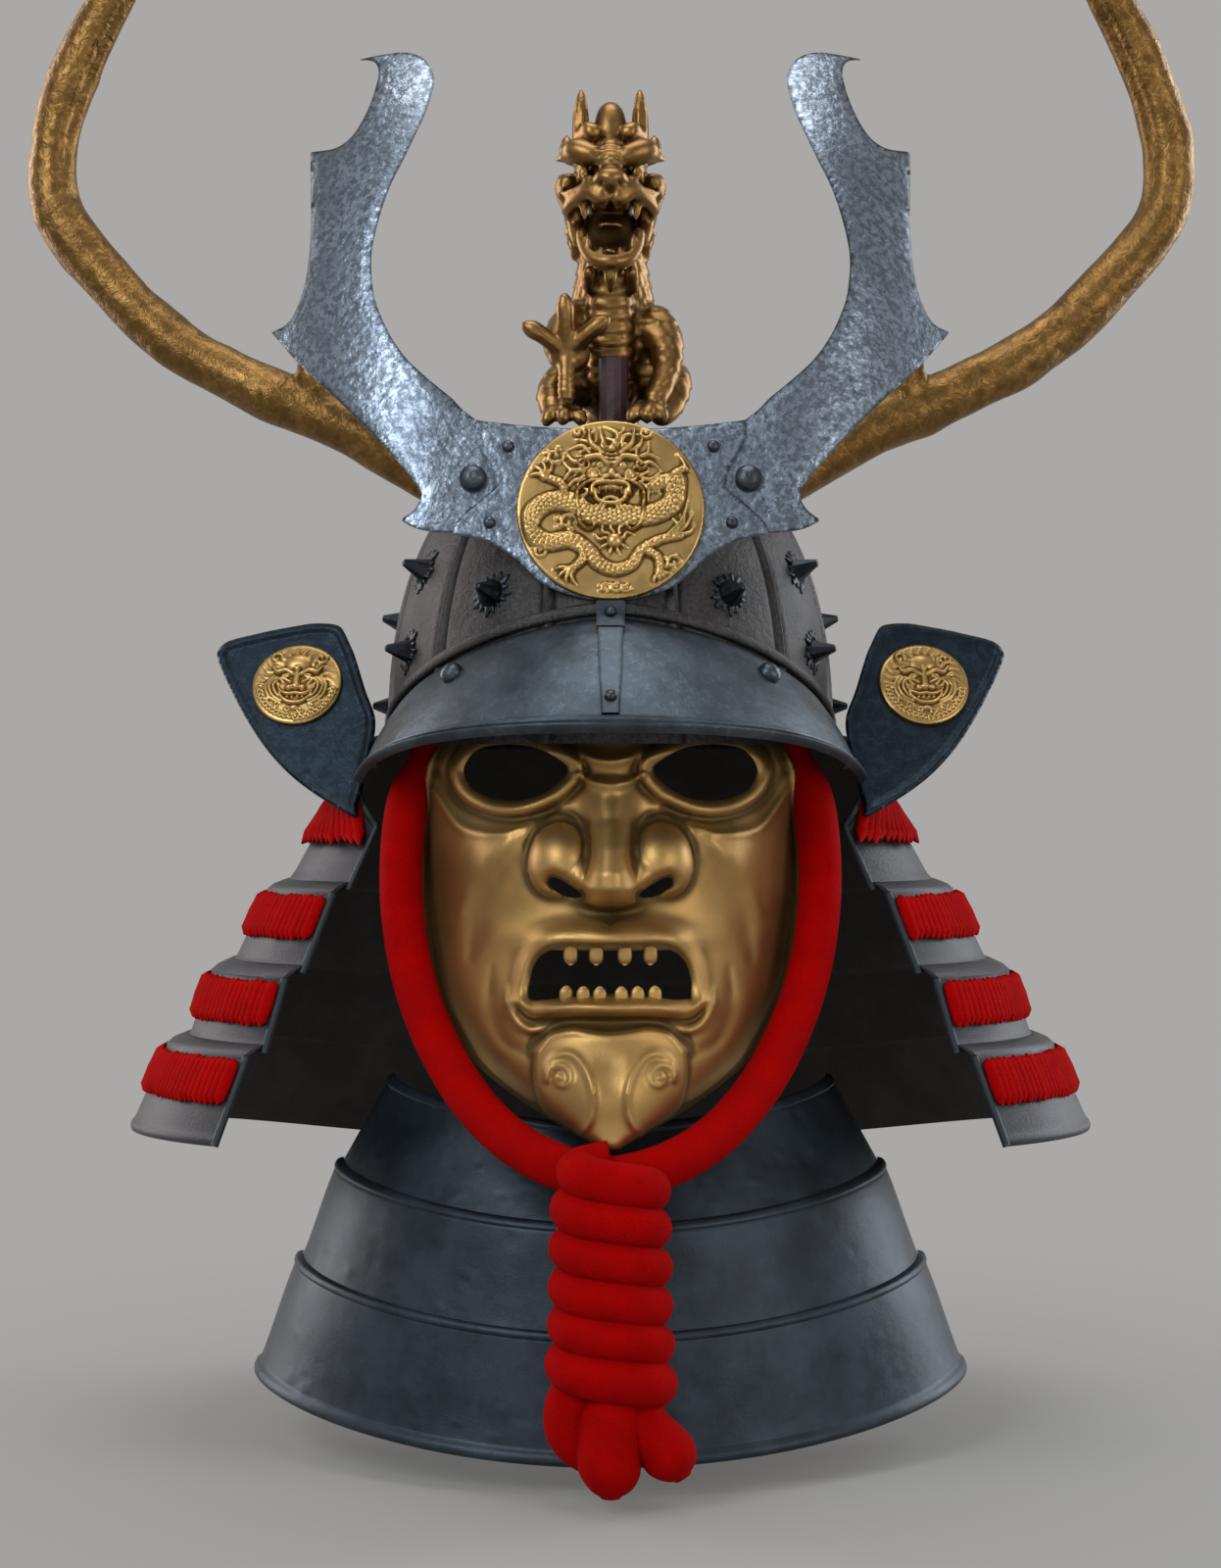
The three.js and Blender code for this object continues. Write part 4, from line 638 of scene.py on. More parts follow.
def crest_steel(name, base):
    """Bright hammered steel, mottled with dark specks and dark along its cut edges."""
    finish = Finish(name, 1.0, 0.3)
    blows, small = finish.cells(5.5, "SMOOTH_F1", 0.5), finish.noise(2.6, 3, 0.5)
    mottle, specks = finish.noise(3.4, 5, 0.62, 0.4), finish.noise(1.5, 4, 0.6)
    clouds, edge = finish.noise(34, 4, 0.6), finish.field("hollow")
    tone = finish.blend(mottle.between(0.4, 0.6), base, shade(base, 0.42))
    tone = finish.blend(clouds.between(0.35, 0.68) * 0.6, tone, shade(base, 0.34))
    tone = finish.blend(specks.between(0.58, 0.68) * 0.7, tone, shade(base, 0.12))
    finish.set("Base Color", finish.blend(edge.between(0.15, 0.8) * 0.75, tone, shade(base, 0.08)))
    finish.set("Roughness", mottle * 0.3 + clouds * 0.2 + 0.12)
    finish.set("Normal", finish.dent(blows * 0.6 + small, 0.42))
    return finish.material


def old_metal(name, base, rough, hollow, grain_depth):
    """Gilt or bronze, dark in its hollows and rubbed bright on its heights."""
    finish = Finish(name, 1.0, rough)
    hollows = finish.field("hollow")
    grain, clouds = finish.noise(0.9, 5, 0.7), finish.noise(16, 4)
    # painted shade: the deeper a place lies among its neighbours, the darker it is painted
    low = (hollows + (grain - 0.5) * 0.12).between(-0.02, hollow)
    high = (hollows * -1.0).between(0.08, hollow * 1.6)
    tone = finish.blend(clouds.between(0.35, 0.65), shade(base, 0.72), base)
    tone = finish.blend(high * 0.7, tone, shade(base, 1.3))
    finish.set("Base Color", finish.blend(low * 0.9, tone, shade(base, 0.1)))
    finish.set("Roughness", low * 0.3 + grain * 0.24 + clouds * 0.12 + (rough - 0.2))
    finish.set("Normal", finish.dent(grain, grain_depth))
    return finish.material


def antler_bronze(name, base):
    """Brown bronze with a bumpy skin and rubbed ridges."""
    finish = Finish(name, 1.0, 0.4)
    lumps, grain, clouds = finish.noise(6, 4, 0.6, 0.6), finish.noise(1.2, 5), finish.noise(40, 3)
    tone = finish.blend(lumps.between(0.36, 0.66), shade(base, 0.62), shade(base, 1.05))
    finish.set("Base Color", finish.blend(clouds.between(0.4, 0.7) * 0.5, tone, shade(base, 0.5)))
    finish.set("Roughness", grain * 0.22 + clouds * 0.16 + 0.2)
    finish.set("Normal", finish.dent(grain, 0.12, finish.dent(lumps, 1.1)))
    return finish.material


def mask_bronze(name, base):
    """Satin bronze-gold with a fine orange-peel skin."""
    finish = Finish(name, 0.92, 0.42)
    hollows, skin, clouds = finish.field("hollow"), finish.noise(0.7, 3, 0.6), finish.noise(40, 4)
    # painted shade: the face's hollows are painted dark
    low = hollows.between(0.1, 1.4)
    tone = finish.blend(clouds.between(0.3, 0.7), shade(base, 0.74), base)
    finish.set("Base Color", finish.blend(low * 0.8, tone, shade(base, 0.16)))
    finish.set("Roughness", clouds * 0.16 + low * 0.15 + skin * 0.12 + 0.3)
    finish.set("Normal", finish.dent(skin, 0.12))
    return finish.material


def navy_steel(name, base):
    """Dark blued steel with a leathery grain."""
    finish = Finish(name, 0.85, 0.36)
    grain, pits = finish.noise(1.8, 5, 0.65), finish.noise(7, 6, 0.7, 0.6)
    tone = finish.blend(pits.between(0.4, 0.66), shade(base, 0.75), shade(base, 1.3))
    finish.set("Base Color", finish.blend(grain.between(0.58, 0.72) * 0.4, tone, shade(base, 2.4)))
    finish.set("Roughness", grain * 0.36 + 0.16)
    finish.set("Normal", finish.dent(grain, 0.25, finish.dent(pits, 0.5)))
    return finish.material


def lame_steel(name, base):
    """Dull grey steel outside and brown-black inside, with a dark trim at its front edges."""
    finish = Finish(name, 0.4, 0.55)
    inner, edge = finish.field("inside"), finish.field("trim")
    grain, clouds = finish.noise(1.3, 5, 0.7), finish.noise(28, 4)
    outer = finish.blend(clouds.between(0.3, 0.7), shade(base, 0.75), shade(base, 1.1))
    # the inside's brown, painted near black for the shade inside the neck guard
    inner_brown_and_shade = finish.blend(clouds.between(0.35, 0.7), colour(24, 21, 18), colour(46, 38, 30))
    tone = finish.blend(edge, outer, colour(38, 46, 52))
    finish.set("Base Color", finish.blend(inner.between(0.4, 0.6), tone, inner_brown_and_shade))
    finish.set("Roughness", grain * 0.3 + inner * 0.2 + 0.3)
    finish.set("Metallic", 0.4 - inner * 0.3)
    finish.set("Normal", finish.dent(grain, 0.25))
    return finish.material


def red_braid(name, base):
    """Matte red cord or lace with a fine braid and a soft nap."""
    finish = Finish(name, 0.0, 0.92, Specular_IOR_Level=0.06)
    nap, weave, folds = finish.noise(0.7, 4, 0.7), finish.cells(1.1), finish.noise(14, 3)
    tone = finish.blend(folds.between(0.3, 0.7), shade(base, 0.8), base)
    finish.set("Base Color", finish.blend(nap.between(0.3, 0.6), shade(base, 0.7), tone))
    finish.set("Roughness", nap * 0.1 + 0.85)
    finish.set("Normal", finish.dent(nap + weave * 0.6, 0.35))
    return finish.material


def post_paint(name, base):
    """Worn purple-brown paint."""
    finish = Finish(name, 0.2, 0.5)
    wear = finish.noise(6, 6, 0.7)
    finish.set("Base Color", finish.blend(wear.between(0.45, 0.7), base, shade(base, 0.5)))
    finish.set("Roughness", wear * 0.4 + 0.3)
    finish.set("Normal", finish.dent(wear, 0.3))
    return finish.material


FINISHES = {}


def finish_of(slot):
    """The material of one of the record's slots, made once."""
    if slot not in FINISHES:
        tones = bpy.context.scene.helmet_colours
        makers = {
            "bowl_iron": (bowl_iron, tones.bowl),
            "visor_steel": (dark_steel, tones.visor, 7, 0.42, 0.6),
            "throat_steel": (dark_steel, tones.throat, 16, 0.4, 0.16, 0.6),
            "dark_iron": (dark_steel, tones.spike, 4, 0.32, 0.2),
            "rivet_steel": (dark_steel, tones.rivet, 3, 0.3, 0.2),
            "crest_steel": (crest_steel, tones.crest),
            "gilt_brass": (old_metal, tones.gilt, 0.36, 0.32, 0.05),
            "dragon_bronze": (old_metal, tones.dragon, 0.36, 0.9, 0.1),
            "antler_bronze": (antler_bronze, tones.antler),
            "mask_bronze": (mask_bronze, tones.mask),
            "navy_steel": (navy_steel, tones.plate),
            "lame_steel": (lame_steel, tones.lame),
            "red_lacing": (red_braid, tones.red),
            "red_cord": (red_braid, tones.red),
            "post_paint": (post_paint, tones.post),
        }
        maker, tone, *numbers = makers[slot]
        FINISHES[slot] = maker(slot, tuple(tone), *numbers)
    return FINISHES[slot]


def refinish(node, slot):
    """Gives a solid that stays as it is its finish."""
    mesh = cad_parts[node].data
    mesh.materials.clear()
    mesh.materials.append(finish_of(slot))


# Repeats

def scatter_tree():
    """Geometry nodes that stand a copy of a template on every point of a mesh."""
    tree = bpy.data.node_groups.new("stand_on_points", "GeometryNodeTree")
    face = tree.interface
    face.new_socket("Geometry", in_out="INPUT", socket_type="NodeSocketGeometry")
    sockets = {name: face.new_socket(name, in_out="INPUT", socket_type=kind).identifier
               for name, kind in (("Template", "NodeSocketObject"), ("Jitter", "NodeSocketFloat"),
                                  ("Seed", "NodeSocketInt"), ("Finish", "NodeSocketMaterial"))}
    face.new_socket("Geometry", in_out="OUTPUT", socket_type="NodeSocketGeometry")

    def node(kind, **settings):
        made = tree.nodes.new(kind)
        for name, value in settings.items():
            setattr(made, name, value)
        return made

    def named(name):
        made = node("GeometryNodeInputNamedAttribute", data_type="FLOAT_VECTOR")
        made.inputs["Name"].default_value = name
        return made.outputs["Attribute"]

    link = tree.links.new
    given, result = node("NodeGroupInput"), node("NodeGroupOutput")
    template = node("GeometryNodeObjectInfo", transform_space="ORIGINAL")
    stand = node("FunctionNodeAlignRotationToVector", axis="Z")
    turn = node("FunctionNodeAlignRotationToVector", axis="Y", pivot_axis="Z")
    copies = node("GeometryNodeInstanceOnPoints")
    chance = node("FunctionNodeRandomValue", data_type="FLOAT")
    spread = node("ShaderNodeMath", operation="MULTIPLY_ADD")
    sized = node("ShaderNodeVectorMath", operation="SCALE")
    real, painted = node("GeometryNodeRealizeInstances"), node("GeometryNodeSetMaterial")
    chance.inputs["Min"].default_value, chance.inputs["Max"].default_value = -1, 1
    float_out = next(socket for socket in chance.outputs if socket.enabled)
    link(given.outputs["Template"], template.inputs["Object"])
    link(named("outward"), stand.inputs["Vector"])
    link(stand.outputs["Rotation"], turn.inputs["Rotation"])
    link(named("fall"), turn.inputs["Vector"])
    link(given.outputs["Seed"], chance.inputs["Seed"])
    link(float_out, spread.inputs[0])
    link(given.outputs["Jitter"], spread.inputs[1])
    spread.inputs[2].default_value = 1
    link(named("stretch"), sized.inputs[0])
    link(spread.outputs[0], sized.inputs["Scale"])
    link(given.outputs["Geometry"], copies.inputs["Points"])
    link(template.outputs["Geometry"], copies.inputs["Instance"])
    link(turn.outputs["Rotation"], copies.inputs["Rotation"])
    link(sized.outputs["Vector"], copies.inputs["Scale"])
    link(copies.outputs["Instances"], real.inputs["Geometry"])
    link(real.outputs["Geometry"], painted.inputs["Geometry"])
    link(given.outputs["Finish"], painted.inputs["Material"])
    link(painted.outputs["Geometry"], result.inputs["Geometry"])
    return tree, sockets


def scattered(name, template, places, outward, fall, stretch, slot, jitter=0.0, seed=3, sharp=40):
    """A plain mesh of a template's copies: each on its place, outward along its own Z."""
    tree, sockets = scatter_tree()
    finish = finish_of(slot)
    mesh = bpy.data.meshes.new(name)
    mesh.from_pydata((np.asarray(places) * MM).tolist(), [], [])
    for field, values in (("outward", outward), ("fall", fall), ("stretch", stretch)):
        vectors = np.broadcast_to(np.asarray(values, np.float32), (len(places), 3))
        mesh.attributes.new(field, "FLOAT_VECTOR", "POINT").data.foreach_set("vector", vectors.ravel())
    piece = new_piece(name, mesh)
    pattern = new_piece(name + "_pattern", template)
    modifier = piece.modifiers.new("stand_on_points", "NODES")
    modifier.node_group = tree
    for socket, value in (("Template", pattern), ("Jitter", jitter), ("Seed", seed), ("Finish", finish)):
        modifier[sockets[socket]] = value
    graph = bpy.context.evaluated_depsgraph_get()
    made = bpy.data.meshes.new_from_object(piece.evaluated_get(graph))
    piece.modifiers.clear()
    piece.data = made
    made.name = name
    made.materials.clear()
    made.materials.append(finish)
    made.shade_smooth()
    if sharp:
        made.set_sharp_from_angle(angle=math.radians(sharp))
    bpy.data.objects.remove(pattern)
    bpy.data.node_groups.remove(tree)
    return piece


# The helmet's surfaces, as the solids have them

def bowl_point(azimuth, rise, proud):
    """The bowl's outside at an azimuth from the front and a share of its height."""
    inset = (1 - np.minimum(rise, 1) ** CROWN_POWER) ** (1 / CROWN_POWER)
    slope = inset ** (CROWN_POWER - 1)
    across, along = np.sin(azimuth), -np.cos(azimuth)
    up = rise ** (CROWN_POWER - 1) / BOWL_HEIGHT
    normal = unit(stack(2 * across * slope / BOWL_WIDTH, 2 * along * slope / BOWL_LENGTH, up))
    point = stack(BOWL_WIDTH / 2 * inset * across, BOWL_LENGTH / 2 * inset * along,
                  RIM_Z + BOWL_HEIGHT * rise)
    return point + normal * np.asarray(proud, float)[..., None]


def seated(surface, across, down, proud):
    """A surface's point at two shares, moved out along its normal."""
    step = 0.002
    point = surface(across, down)
    along_x = surface(across + step, down) - point
    along_z = surface(across, down + step) - point
    normal = unit(np.cross(along_z, along_x))
    return point + normal * np.asarray(proud, float)[..., None], normal


def visor_rise(across):
    return mix(VISOR_TOP, VISOR_END, np.abs(across) ** 1.6) / BOWL_HEIGHT


def visor_inner(across, down):
    """The visor's inner face, from its top edge at nought to its lip at one."""
    azimuth = np.radians(VISOR_SPAN) * across
    top = bowl_point(azimuth, visor_rise(across), 0 * across + CLEARANCE)
    reach = BOWL_LENGTH / 2 + VISOR_REACH - VISOR_SEAT
    lip = stack((BOWL_WIDTH / 2 + VISOR_SPREAD) * np.sin(azimuth), -VISOR_SEAT - reach * np.cos(azimuth),
                RIM_Z + VISOR_LIP - VISOR_FALL * np.abs(across) ** 2.6)
    bow = VISOR_BOW * np.sin(math.pi * down)
    swell = stack(0.3 * bow * np.sin(azimuth), -0.6 * bow * np.cos(azimuth), 0.7 * bow)
    return top + (lip - top) * np.asarray(down)[..., None] + swell


CREST_FOOT = VISOR_TOP + VISOR_WALL + BAND_SLIT + BAND_WIDTH + 3 * CLEARANCE
CREST_FOOT_Z = RIM_Z + CREST_FOOT
CREST_FOOT_Y = float(bowl_point(0.0, CREST_FOOT / BOWL_HEIGHT, CLEARANCE + CREST_WALL)[1])


def crest_y(x, z):
    sideways = np.maximum(0, np.abs(x) - CREST_FLAT)
    upwards = np.maximum(0, z - CREST_FOOT_Z - CREST_TOP)
    lean = (z - CREST_FOOT_Z) * math.tan(math.radians(CREST_LEAN))
    return CREST_FOOT_Y + lean + sideways ** 2 / CREST_SWEEP + upwards ** 2 / CREST_TOP_SWEEP


LAME_ROWS = ((0, 0.352, 0, 0.39), (0.41, 0.578, 0.375, 0.59), (0.648, 0.762, 0.58, 0.78),
             (0.828, 1, 0.765, 1))
LACE_PITCH, LACE_HEIGHT, LACE_RUN = 0.62, 4.6, 0.1
LACING_ROWS = ((0.28, 0.6), (0.13, 0.62), (0.14, 0.68), (0.12, 0.58))


def lame_point(lame, share, down, proud):
    """A neck lame's inner face, at a share of its span from the back and a share of its height."""
    top, bottom, high, low = LAME_ROWS[lame]
    flare, drop = mix(top, bottom, down), mix(high, low, down)
    radius = NECK_RADIUS + NECK_FLARE * flare + proud
    opened = np.minimum(1, down / LACING_ROWS[0][1]) if lame == 0 else 1
    angle = np.radians(mix(NECK_TOP_SPAN, NECK_SPAN, opened)) * share
    along = np.cos(angle)
    back = mix((BOWL_LENGTH - BOWL_WIDTH) / 2, -NECK_BACK_TUCK, flare)
    reach = np.where(along > 0, radius + back, radius * NECK_FRONT)
    z = RIM_Z + NECK_RISE - NECK_DROP * drop - NECK_BACK * drop * np.maximum(along, 0) ** 2
    return stack(radius * np.sin(angle), reach * along, z)


def lame_share(lame, length):
    _, _, high, low = LAME_ROWS[lame]
    return length / (NECK_DROP * (low - high))


THROAT_EDGES = ((0, 1, 2, 3), (0, 0.387, 0.679, 1), (0, 0.56, 0.8, 1), (0, 0.32, 0.64, 1))


def throat_point(share, edge, proud):
    """The throat guard's inner face, at a share of its half and a place down its three lames."""
    at, halves, depths, lows = THROAT_EDGES
    angle = math.pi / 2 * share
    half = mix(THROAT_TOP_WIDTH, THROAT_WIDTH, np.interp(edge, at, halves)) / 2
    depth = mix(THROAT_TOP_DEPTH, THROAT_DEPTH, np.interp(edge, at, depths))
    low = np.interp(edge, at, lows) * THROAT_HEIGHT
    dip = mix(0.72, 1, low / THROAT_HEIGHT) * THROAT_DIP * np.cos(angle) ** 2
    return stack((half + proud) * np.sin(angle), -(depth + proud) * np.cos(angle), THROAT_TOP - low - dip)


def plate_point(sign, out, up, back):
    """A turned-back plate's front at shares of its width and height."""
    rise = up * PLATE_HEIGHT
    away = PLATE_SWEEP * out * PLATE_WIDTH
    return stack(sign * (PLATE_INSET + out * PLATE_WIDTH),
                 rise * math.tan(math.radians(PLATE_LEAN)) - PLATE_FORWARD + away + back,
                 RIM_Z - PLATE_DROP + rise)


# Stage

def build_stage(colours):
    """Camera, floor and lights."""
    scene = bpy.context.scene
    camera = bpy.data.objects.new("camera", bpy.data.cameras.new("camera"))
    camera.data.lens, camera.data.sensor_width = 72, 36
    camera.location, camera.rotation_euler = (0, -1.6, -0.176), (math.pi / 2, 0, 0)
    scene.collection.objects.link(camera)
    scene.camera = camera
    scene.view_settings.view_transform = "Standard"

    ground = Finish("ground", 0.0, 0.9, Specular_IOR_Level=0.1)
    ground.set("Base Color", (*colours.ground, 1))
    radius = 3.2
    angle = round_angles(96)
    rim = stack(radius * np.cos(angle), radius * np.sin(angle), 0 * angle + FLOOR_Z * MM)
    mesh = bpy.data.meshes.new("floor")
    mesh.from_pydata(rim.tolist(), [], [list(range(96))])
    floor = new_piece("floor", mesh, ground.material)
    distance = ground.node("ShaderNodeVectorMath", {"operation": "LENGTH"}, {0: ground.place}, "Value")
    ground.set("Alpha", 1 - distance.between(0.3, 0.95))

    world = bpy.data.worlds.new("studio")
    scene.world = world
    world.use_nodes = True
    backdrop = world.node_tree.nodes["Background"]
    backdrop.inputs["Color"].default_value = (*colour(170, 169, 167), 1)
    backdrop.inputs["Strength"].default_value = 1.0
    soft_lights = (
        ("key", (-1.2, -1.8, 1.1), (0.9, 1.1), 25, (0.88, 0.94, 1.0)),
        ("fill", (1.6, -1.5, 0.3), (0.7, 1.2), 9, (1.0, 0.97, 0.94)),
        ("top", (0.0, -0.1, 1.6), (1.2, 1.0), 13, (1.0, 1.0, 1.0)),
        ("low", (0.0, -1.9, -0.42), (1.2, 0.3), 2, (0.95, 0.97, 1.0)),
        ("rim_left", (-1.5, 0.8, 0.3), (0.5, 1.4), 13, (1.0, 0.93, 0.92)),
        ("rim_right", (1.5, 0.8, 0.3), (0.5, 1.4), 16, (0.9, 0.95, 1.0)),
    )
    for name, place, (width, height), power, tone in soft_lights:
        lamp = bpy.data.lights.new(name, "AREA")
        lamp.shape, lamp.size, lamp.size_y, lamp.energy, lamp.color = "RECTANGLE", width, height, power, tone
        holder = bpy.data.objects.new(name, lamp)
        holder.location = place
        aim = Vector((0, 0, -0.15)) - Vector(place)
        holder.rotation_euler = aim.to_track_quat("-Z", "Y").to_euler()
        scene.collection.objects.link(holder)


# Cord

CORD_HALF = ((-91, -28, -116), (-90, -34, -134), (-86.5, -43, -151), (-90, -53, -166), (-98, -64, -181),
             (-101, -76, -203), (-101, -84, -232), (-96, -92, -264), (-86, -105, -292), (-71, -124, -317),
             (-54, -142, -335), (-37, -156, -346), (-18, -166, -353), (0, -170, -356))


def build_cord():
    """The chin cord, its wrapped knot and its ends."""
    half = np.array(CORD_HALF, float)
    route = np.vstack([half, half[:-1][::-1] * (-1, 1, 1)])
    line = spline(route, 260)
    mesh = mesh_of("chin_cord", *tube(line, CORD_DIAMETER / 2 - 0.1, 28))
    cord = finished("chin_cord_braid", mesh, "red_cord", "chin_cord")

    turns, rows = 6, 6 * 40
    share = np.linspace(0, 1, rows)
    angle = 2 * math.pi * (turns * share - 0.25)
    swell = np.interp(share, (0, 0.1, 0.8, 1), (0.7, 0.95, 1.02, 1.04))
    radius = CORD_DIAMETER / 2 * np.interp(share, (0, 0.05, 0.75, 0.97, 1), (0.8, 0.96, 0.98, 1.1, 0.8))
    height = KNOT_TOP + 4 - (KNOT_HEIGHT - 7) * share
    coil = stack(-18.6 * swell * np.cos(angle), KNOT_Y - 12.8 * swell * np.sin(angle), height)
    low = KNOT_TOP - KNOT_HEIGHT
    ends = (
        ((-12, KNOT_Y, low + 18, 11.5), (-18, KNOT_Y + 2, low + 4, 12), (-17, KNOT_Y + 3, low - 8, 12),
         (-6, KNOT_Y + 3, low - 16, 11), (8, KNOT_Y + 4, low - 12, 9)),
        ((2, KNOT_Y - 2, low + 14, 12), (0, KNOT_Y - 7, low, 13.6), (-1, KNOT_Y - 8, low - 16, 14.2),
         (0, KNOT_Y - 8, low - 24, 14), (0, KNOT_Y - 8, low - 35, 12.5)),
        ((6, KNOT_Y - 1, low + 8, 12), (17, KNOT_Y - 2, low - 6, 12), (26, KNOT_Y - 2, low - 16, 12.8),
         (33, KNOT_Y - 2, low - 27, 12)),
    )
    parts = [tube(coil, radius, 24, 0.97)] + [limb(end, 44, 24) for end in ends]
    parts.append(ball((0, KNOT_Y, (KNOT_TOP + low) / 2), (14, 10, KNOT_HEIGHT / 2 - 8), 14, 16))
    knot_mesh = mesh_of("cord_knot", *together(parts), merge=False)
    knot = finished("cord_knot_wraps", knot_mesh, "red_cord", "cord_knot")
    path = (spline(route, 40) * MM).tolist()


# Bowl, spikes and visor

def build_bowl(sizes):
    """The ribbed bowl."""
    panel = 2 * math.pi / PANELS
    per_panel, rings = 36, 46
    azimuth = np.arange(PANELS * per_panel) * panel / per_panel
    rise = np.sin(np.linspace(0, math.pi / 2, rings)) ** (2 / CROWN_POWER)
    around, up = np.meshgrid(azimuth, rise)
    girth = BOWL_WIDTH / 2 * (1 - up ** CROWN_POWER) ** (1 / CROWN_POWER)
    seam = ((around / panel) % 1 - 0.5) * panel * np.maximum(girth, 18)
    rib = sizes.rib_height / MM * bump(seam, 0, 1.9) - 0.7 * (bump(seam, 3.4, 0.9) + bump(seam, -3.4, 0.9))
    # painted shade in the grooves beside each rib, stronger on one side
    dark = bump(seam, 3.3, 0.7) + 0.6 * bump(seam, -3.3, 0.7)
    fade = 1 - smooth(up, 0.985, 1)
    outer = bowl_point(around, up, rib * fade)
    outer[0] = bowl_point(azimuth, 0 * azimuth, -0.5)
    inner = bowl_point(around, up, 0 * up - BOWL_WALL)
    shell_piece("bowl_ribbed", outer, inner, "bowl_iron", ["helmet_bowl"], True,
                hollow=dark * fade)


SPIKE_ROWS = ((1, 0.45), (2, 0.54), (2, 0.29), (3, 0.4), (3, 0.13), (4, 0.54), (4, 0.29))


def turned(profile, segments, notch=None):
    """A closed turned shape about +Z from pairs of radius and height."""
    rows = np.array(profile, float)
    angle = round_angles(segments)
    reach = rows[:, 0, None] * (1 if notch is None else notch(angle, rows[:, 0, None]))
    rings = stack(reach * np.cos(angle), reach * np.sin(angle), rows[:, 1, None] + 0 * angle)
    points = np.concatenate([rings.reshape(-1, 3), [[0, 0, rows[0, 1]], [0, 0, rows[-1, 1]]]])
    return points, capped(len(rows), segments)


def build_spikes(sizes):
    """Spikes on their torn, leafed rosettes."""
    length, foot = sizes.spike_length / MM, sizes.spike_width / MM / 2
    leaf = sizes.rosette_width / MM / 2
    cone = turned([(foot * 1.04, 0.1), (foot, 1.2), (1.7, length), (1.0, length + 0.3)], 9)
    petals = 15

    def ragged(angle, radius):
        wave = 0.5 + 0.5 * np.cos(petals * angle)
        torn = 0.09 * np.cos(5 * angle + 1) + 0.06 * np.cos(8 * angle)
        return np.where(radius > foot * 1.3, 0.74 + 0.3 * wave + torn + 0.1 * np.cos(2 * (angle - 0.9)), 1)

    rosette = turned([(leaf, 0.0), (leaf * 0.97, 0.7), (foot * 1.25, 1.5), (foot, 0.5)], 6 * petals, ragged)
    template = mesh_of("spike", *together([cone, rosette]), merge=False)
    places, outward = [], []
    for _, sign in SIDES:
        for panel, rise in SPIKE_ROWS:
            azimuth = sign * panel * 2 * math.pi / PANELS
            places.append(bowl_point(azimuth, rise, -0.15))
            outward.append(bowl_point(azimuth, rise, 1.0) - bowl_point(azimuth, rise, 0.0))
    outward = unit(np.array(outward))
    piece = scattered("spikes_on_rosettes", template, places, outward, (0, 0, 1), (1, 1, 1), "dark_iron",
                      0.03, 5, 30)
    seat_piece(piece, "dark_iron", *[f"spike_{name}_{at}" for name, _ in SIDES for at in range(1, 8)])


def build_visor():
    """The visor with its rolled lip, the brow band and the strap."""
    columns = np.linspace(-1, 1, 151)
    downs = np.concatenate([np.linspace(0, 0.86, 24), np.linspace(0.87, 1, 24)])
    across, down = np.meshgrid(columns, downs)
    lip = sum(bump(down, at, 0.013) * high for at, high in ((0.905, 1.1), (0.94, 1.8), (0.985, 2.6)))
    flange = 0.7 * smooth(down, 0.88, 0.93)
    ends = np.minimum(1, (1 - np.abs(across)) / 0.012)
    outer, _ = seated(visor_inner, across, down, (VISOR_WALL + lip + flange) * mix(0.55, 1, ends))
    inner, _ = seated(visor_inner, across, down, 0 * down)
    outer[0] = mix(outer[0], inner[0], 0.4)
    shell_piece("visor_peak", outer, inner, "visor_steel", ["visor"])

    rows = np.array([0, 0.06, 0.2, 0.5, 0.8, 0.94, 1])
    across, row = np.meshgrid(columns, rows)
    rise = visor_rise(across) + (VISOR_WALL + BAND_SLIT + BAND_WIDTH * row) / BOWL_HEIGHT
    azimuth = np.radians(VISOR_SPAN) * across
    top = CLEARANCE + 1.6 + BAND_THICKNESS * np.minimum(1, 0.45 + 4 * np.minimum(row, 1 - row))
    outer = bowl_point(azimuth, rise, top)
    inner = bowl_point(azimuth, rise, 0 * rise + CLEARANCE)
    shell_piece("brow_band_strip", outer, inner, "visor_steel", ["brow_band"], finish="bowl_iron")

    sides = np.linspace(-1, 1, 13)
    downs = np.array([-0.1, -0.085, 0, 0.1, 0.125, 0.135, 0.15, 0.3, 0.5, 0.7, 0.84, 0.875, 0.89])
    side, down = np.meshgrid(sides, downs)
    half = np.interp(down, (-0.1, 0.13, 0.14, 0.5, 0.89), (1, 1, 0.9, 0.82, 0.6)) * STRAP_WIDTH / 2
    block = BAND_THICKNESS * (1 - smooth(down, 0.125, 0.14))
    edge = 0.5 * smooth(np.abs(side), 0.8, 1)
    base, _ = seated(visor_inner, 0 * down, np.maximum(down, 0),
                     0 * down + VISOR_WALL + 2 * CLEARANCE)
    above = np.maximum(-down, 0) * (VISOR_REACH + VISOR_LIP)
    inner = stack(side * half, base[..., 1] - block, base[..., 2] + above)
    outer = inner + stack(0, -0.78, 0.62) * (STRAP_THICKNESS - edge)[..., None]
    shell_piece("visor_strap_folded", outer, inner, "visor_steel",
                ["visor_strap"])


def rivet_dome(radius, height=0.82):
    angle = np.linspace(0, math.pi / 2, 8)
    rows = [(radius, 0)] + [(radius * math.cos(at) ** 0.9, 0.12 * radius + height * radius * math.sin(at))
                            for at in angle[:-1]]
    return turned(rows, 24)


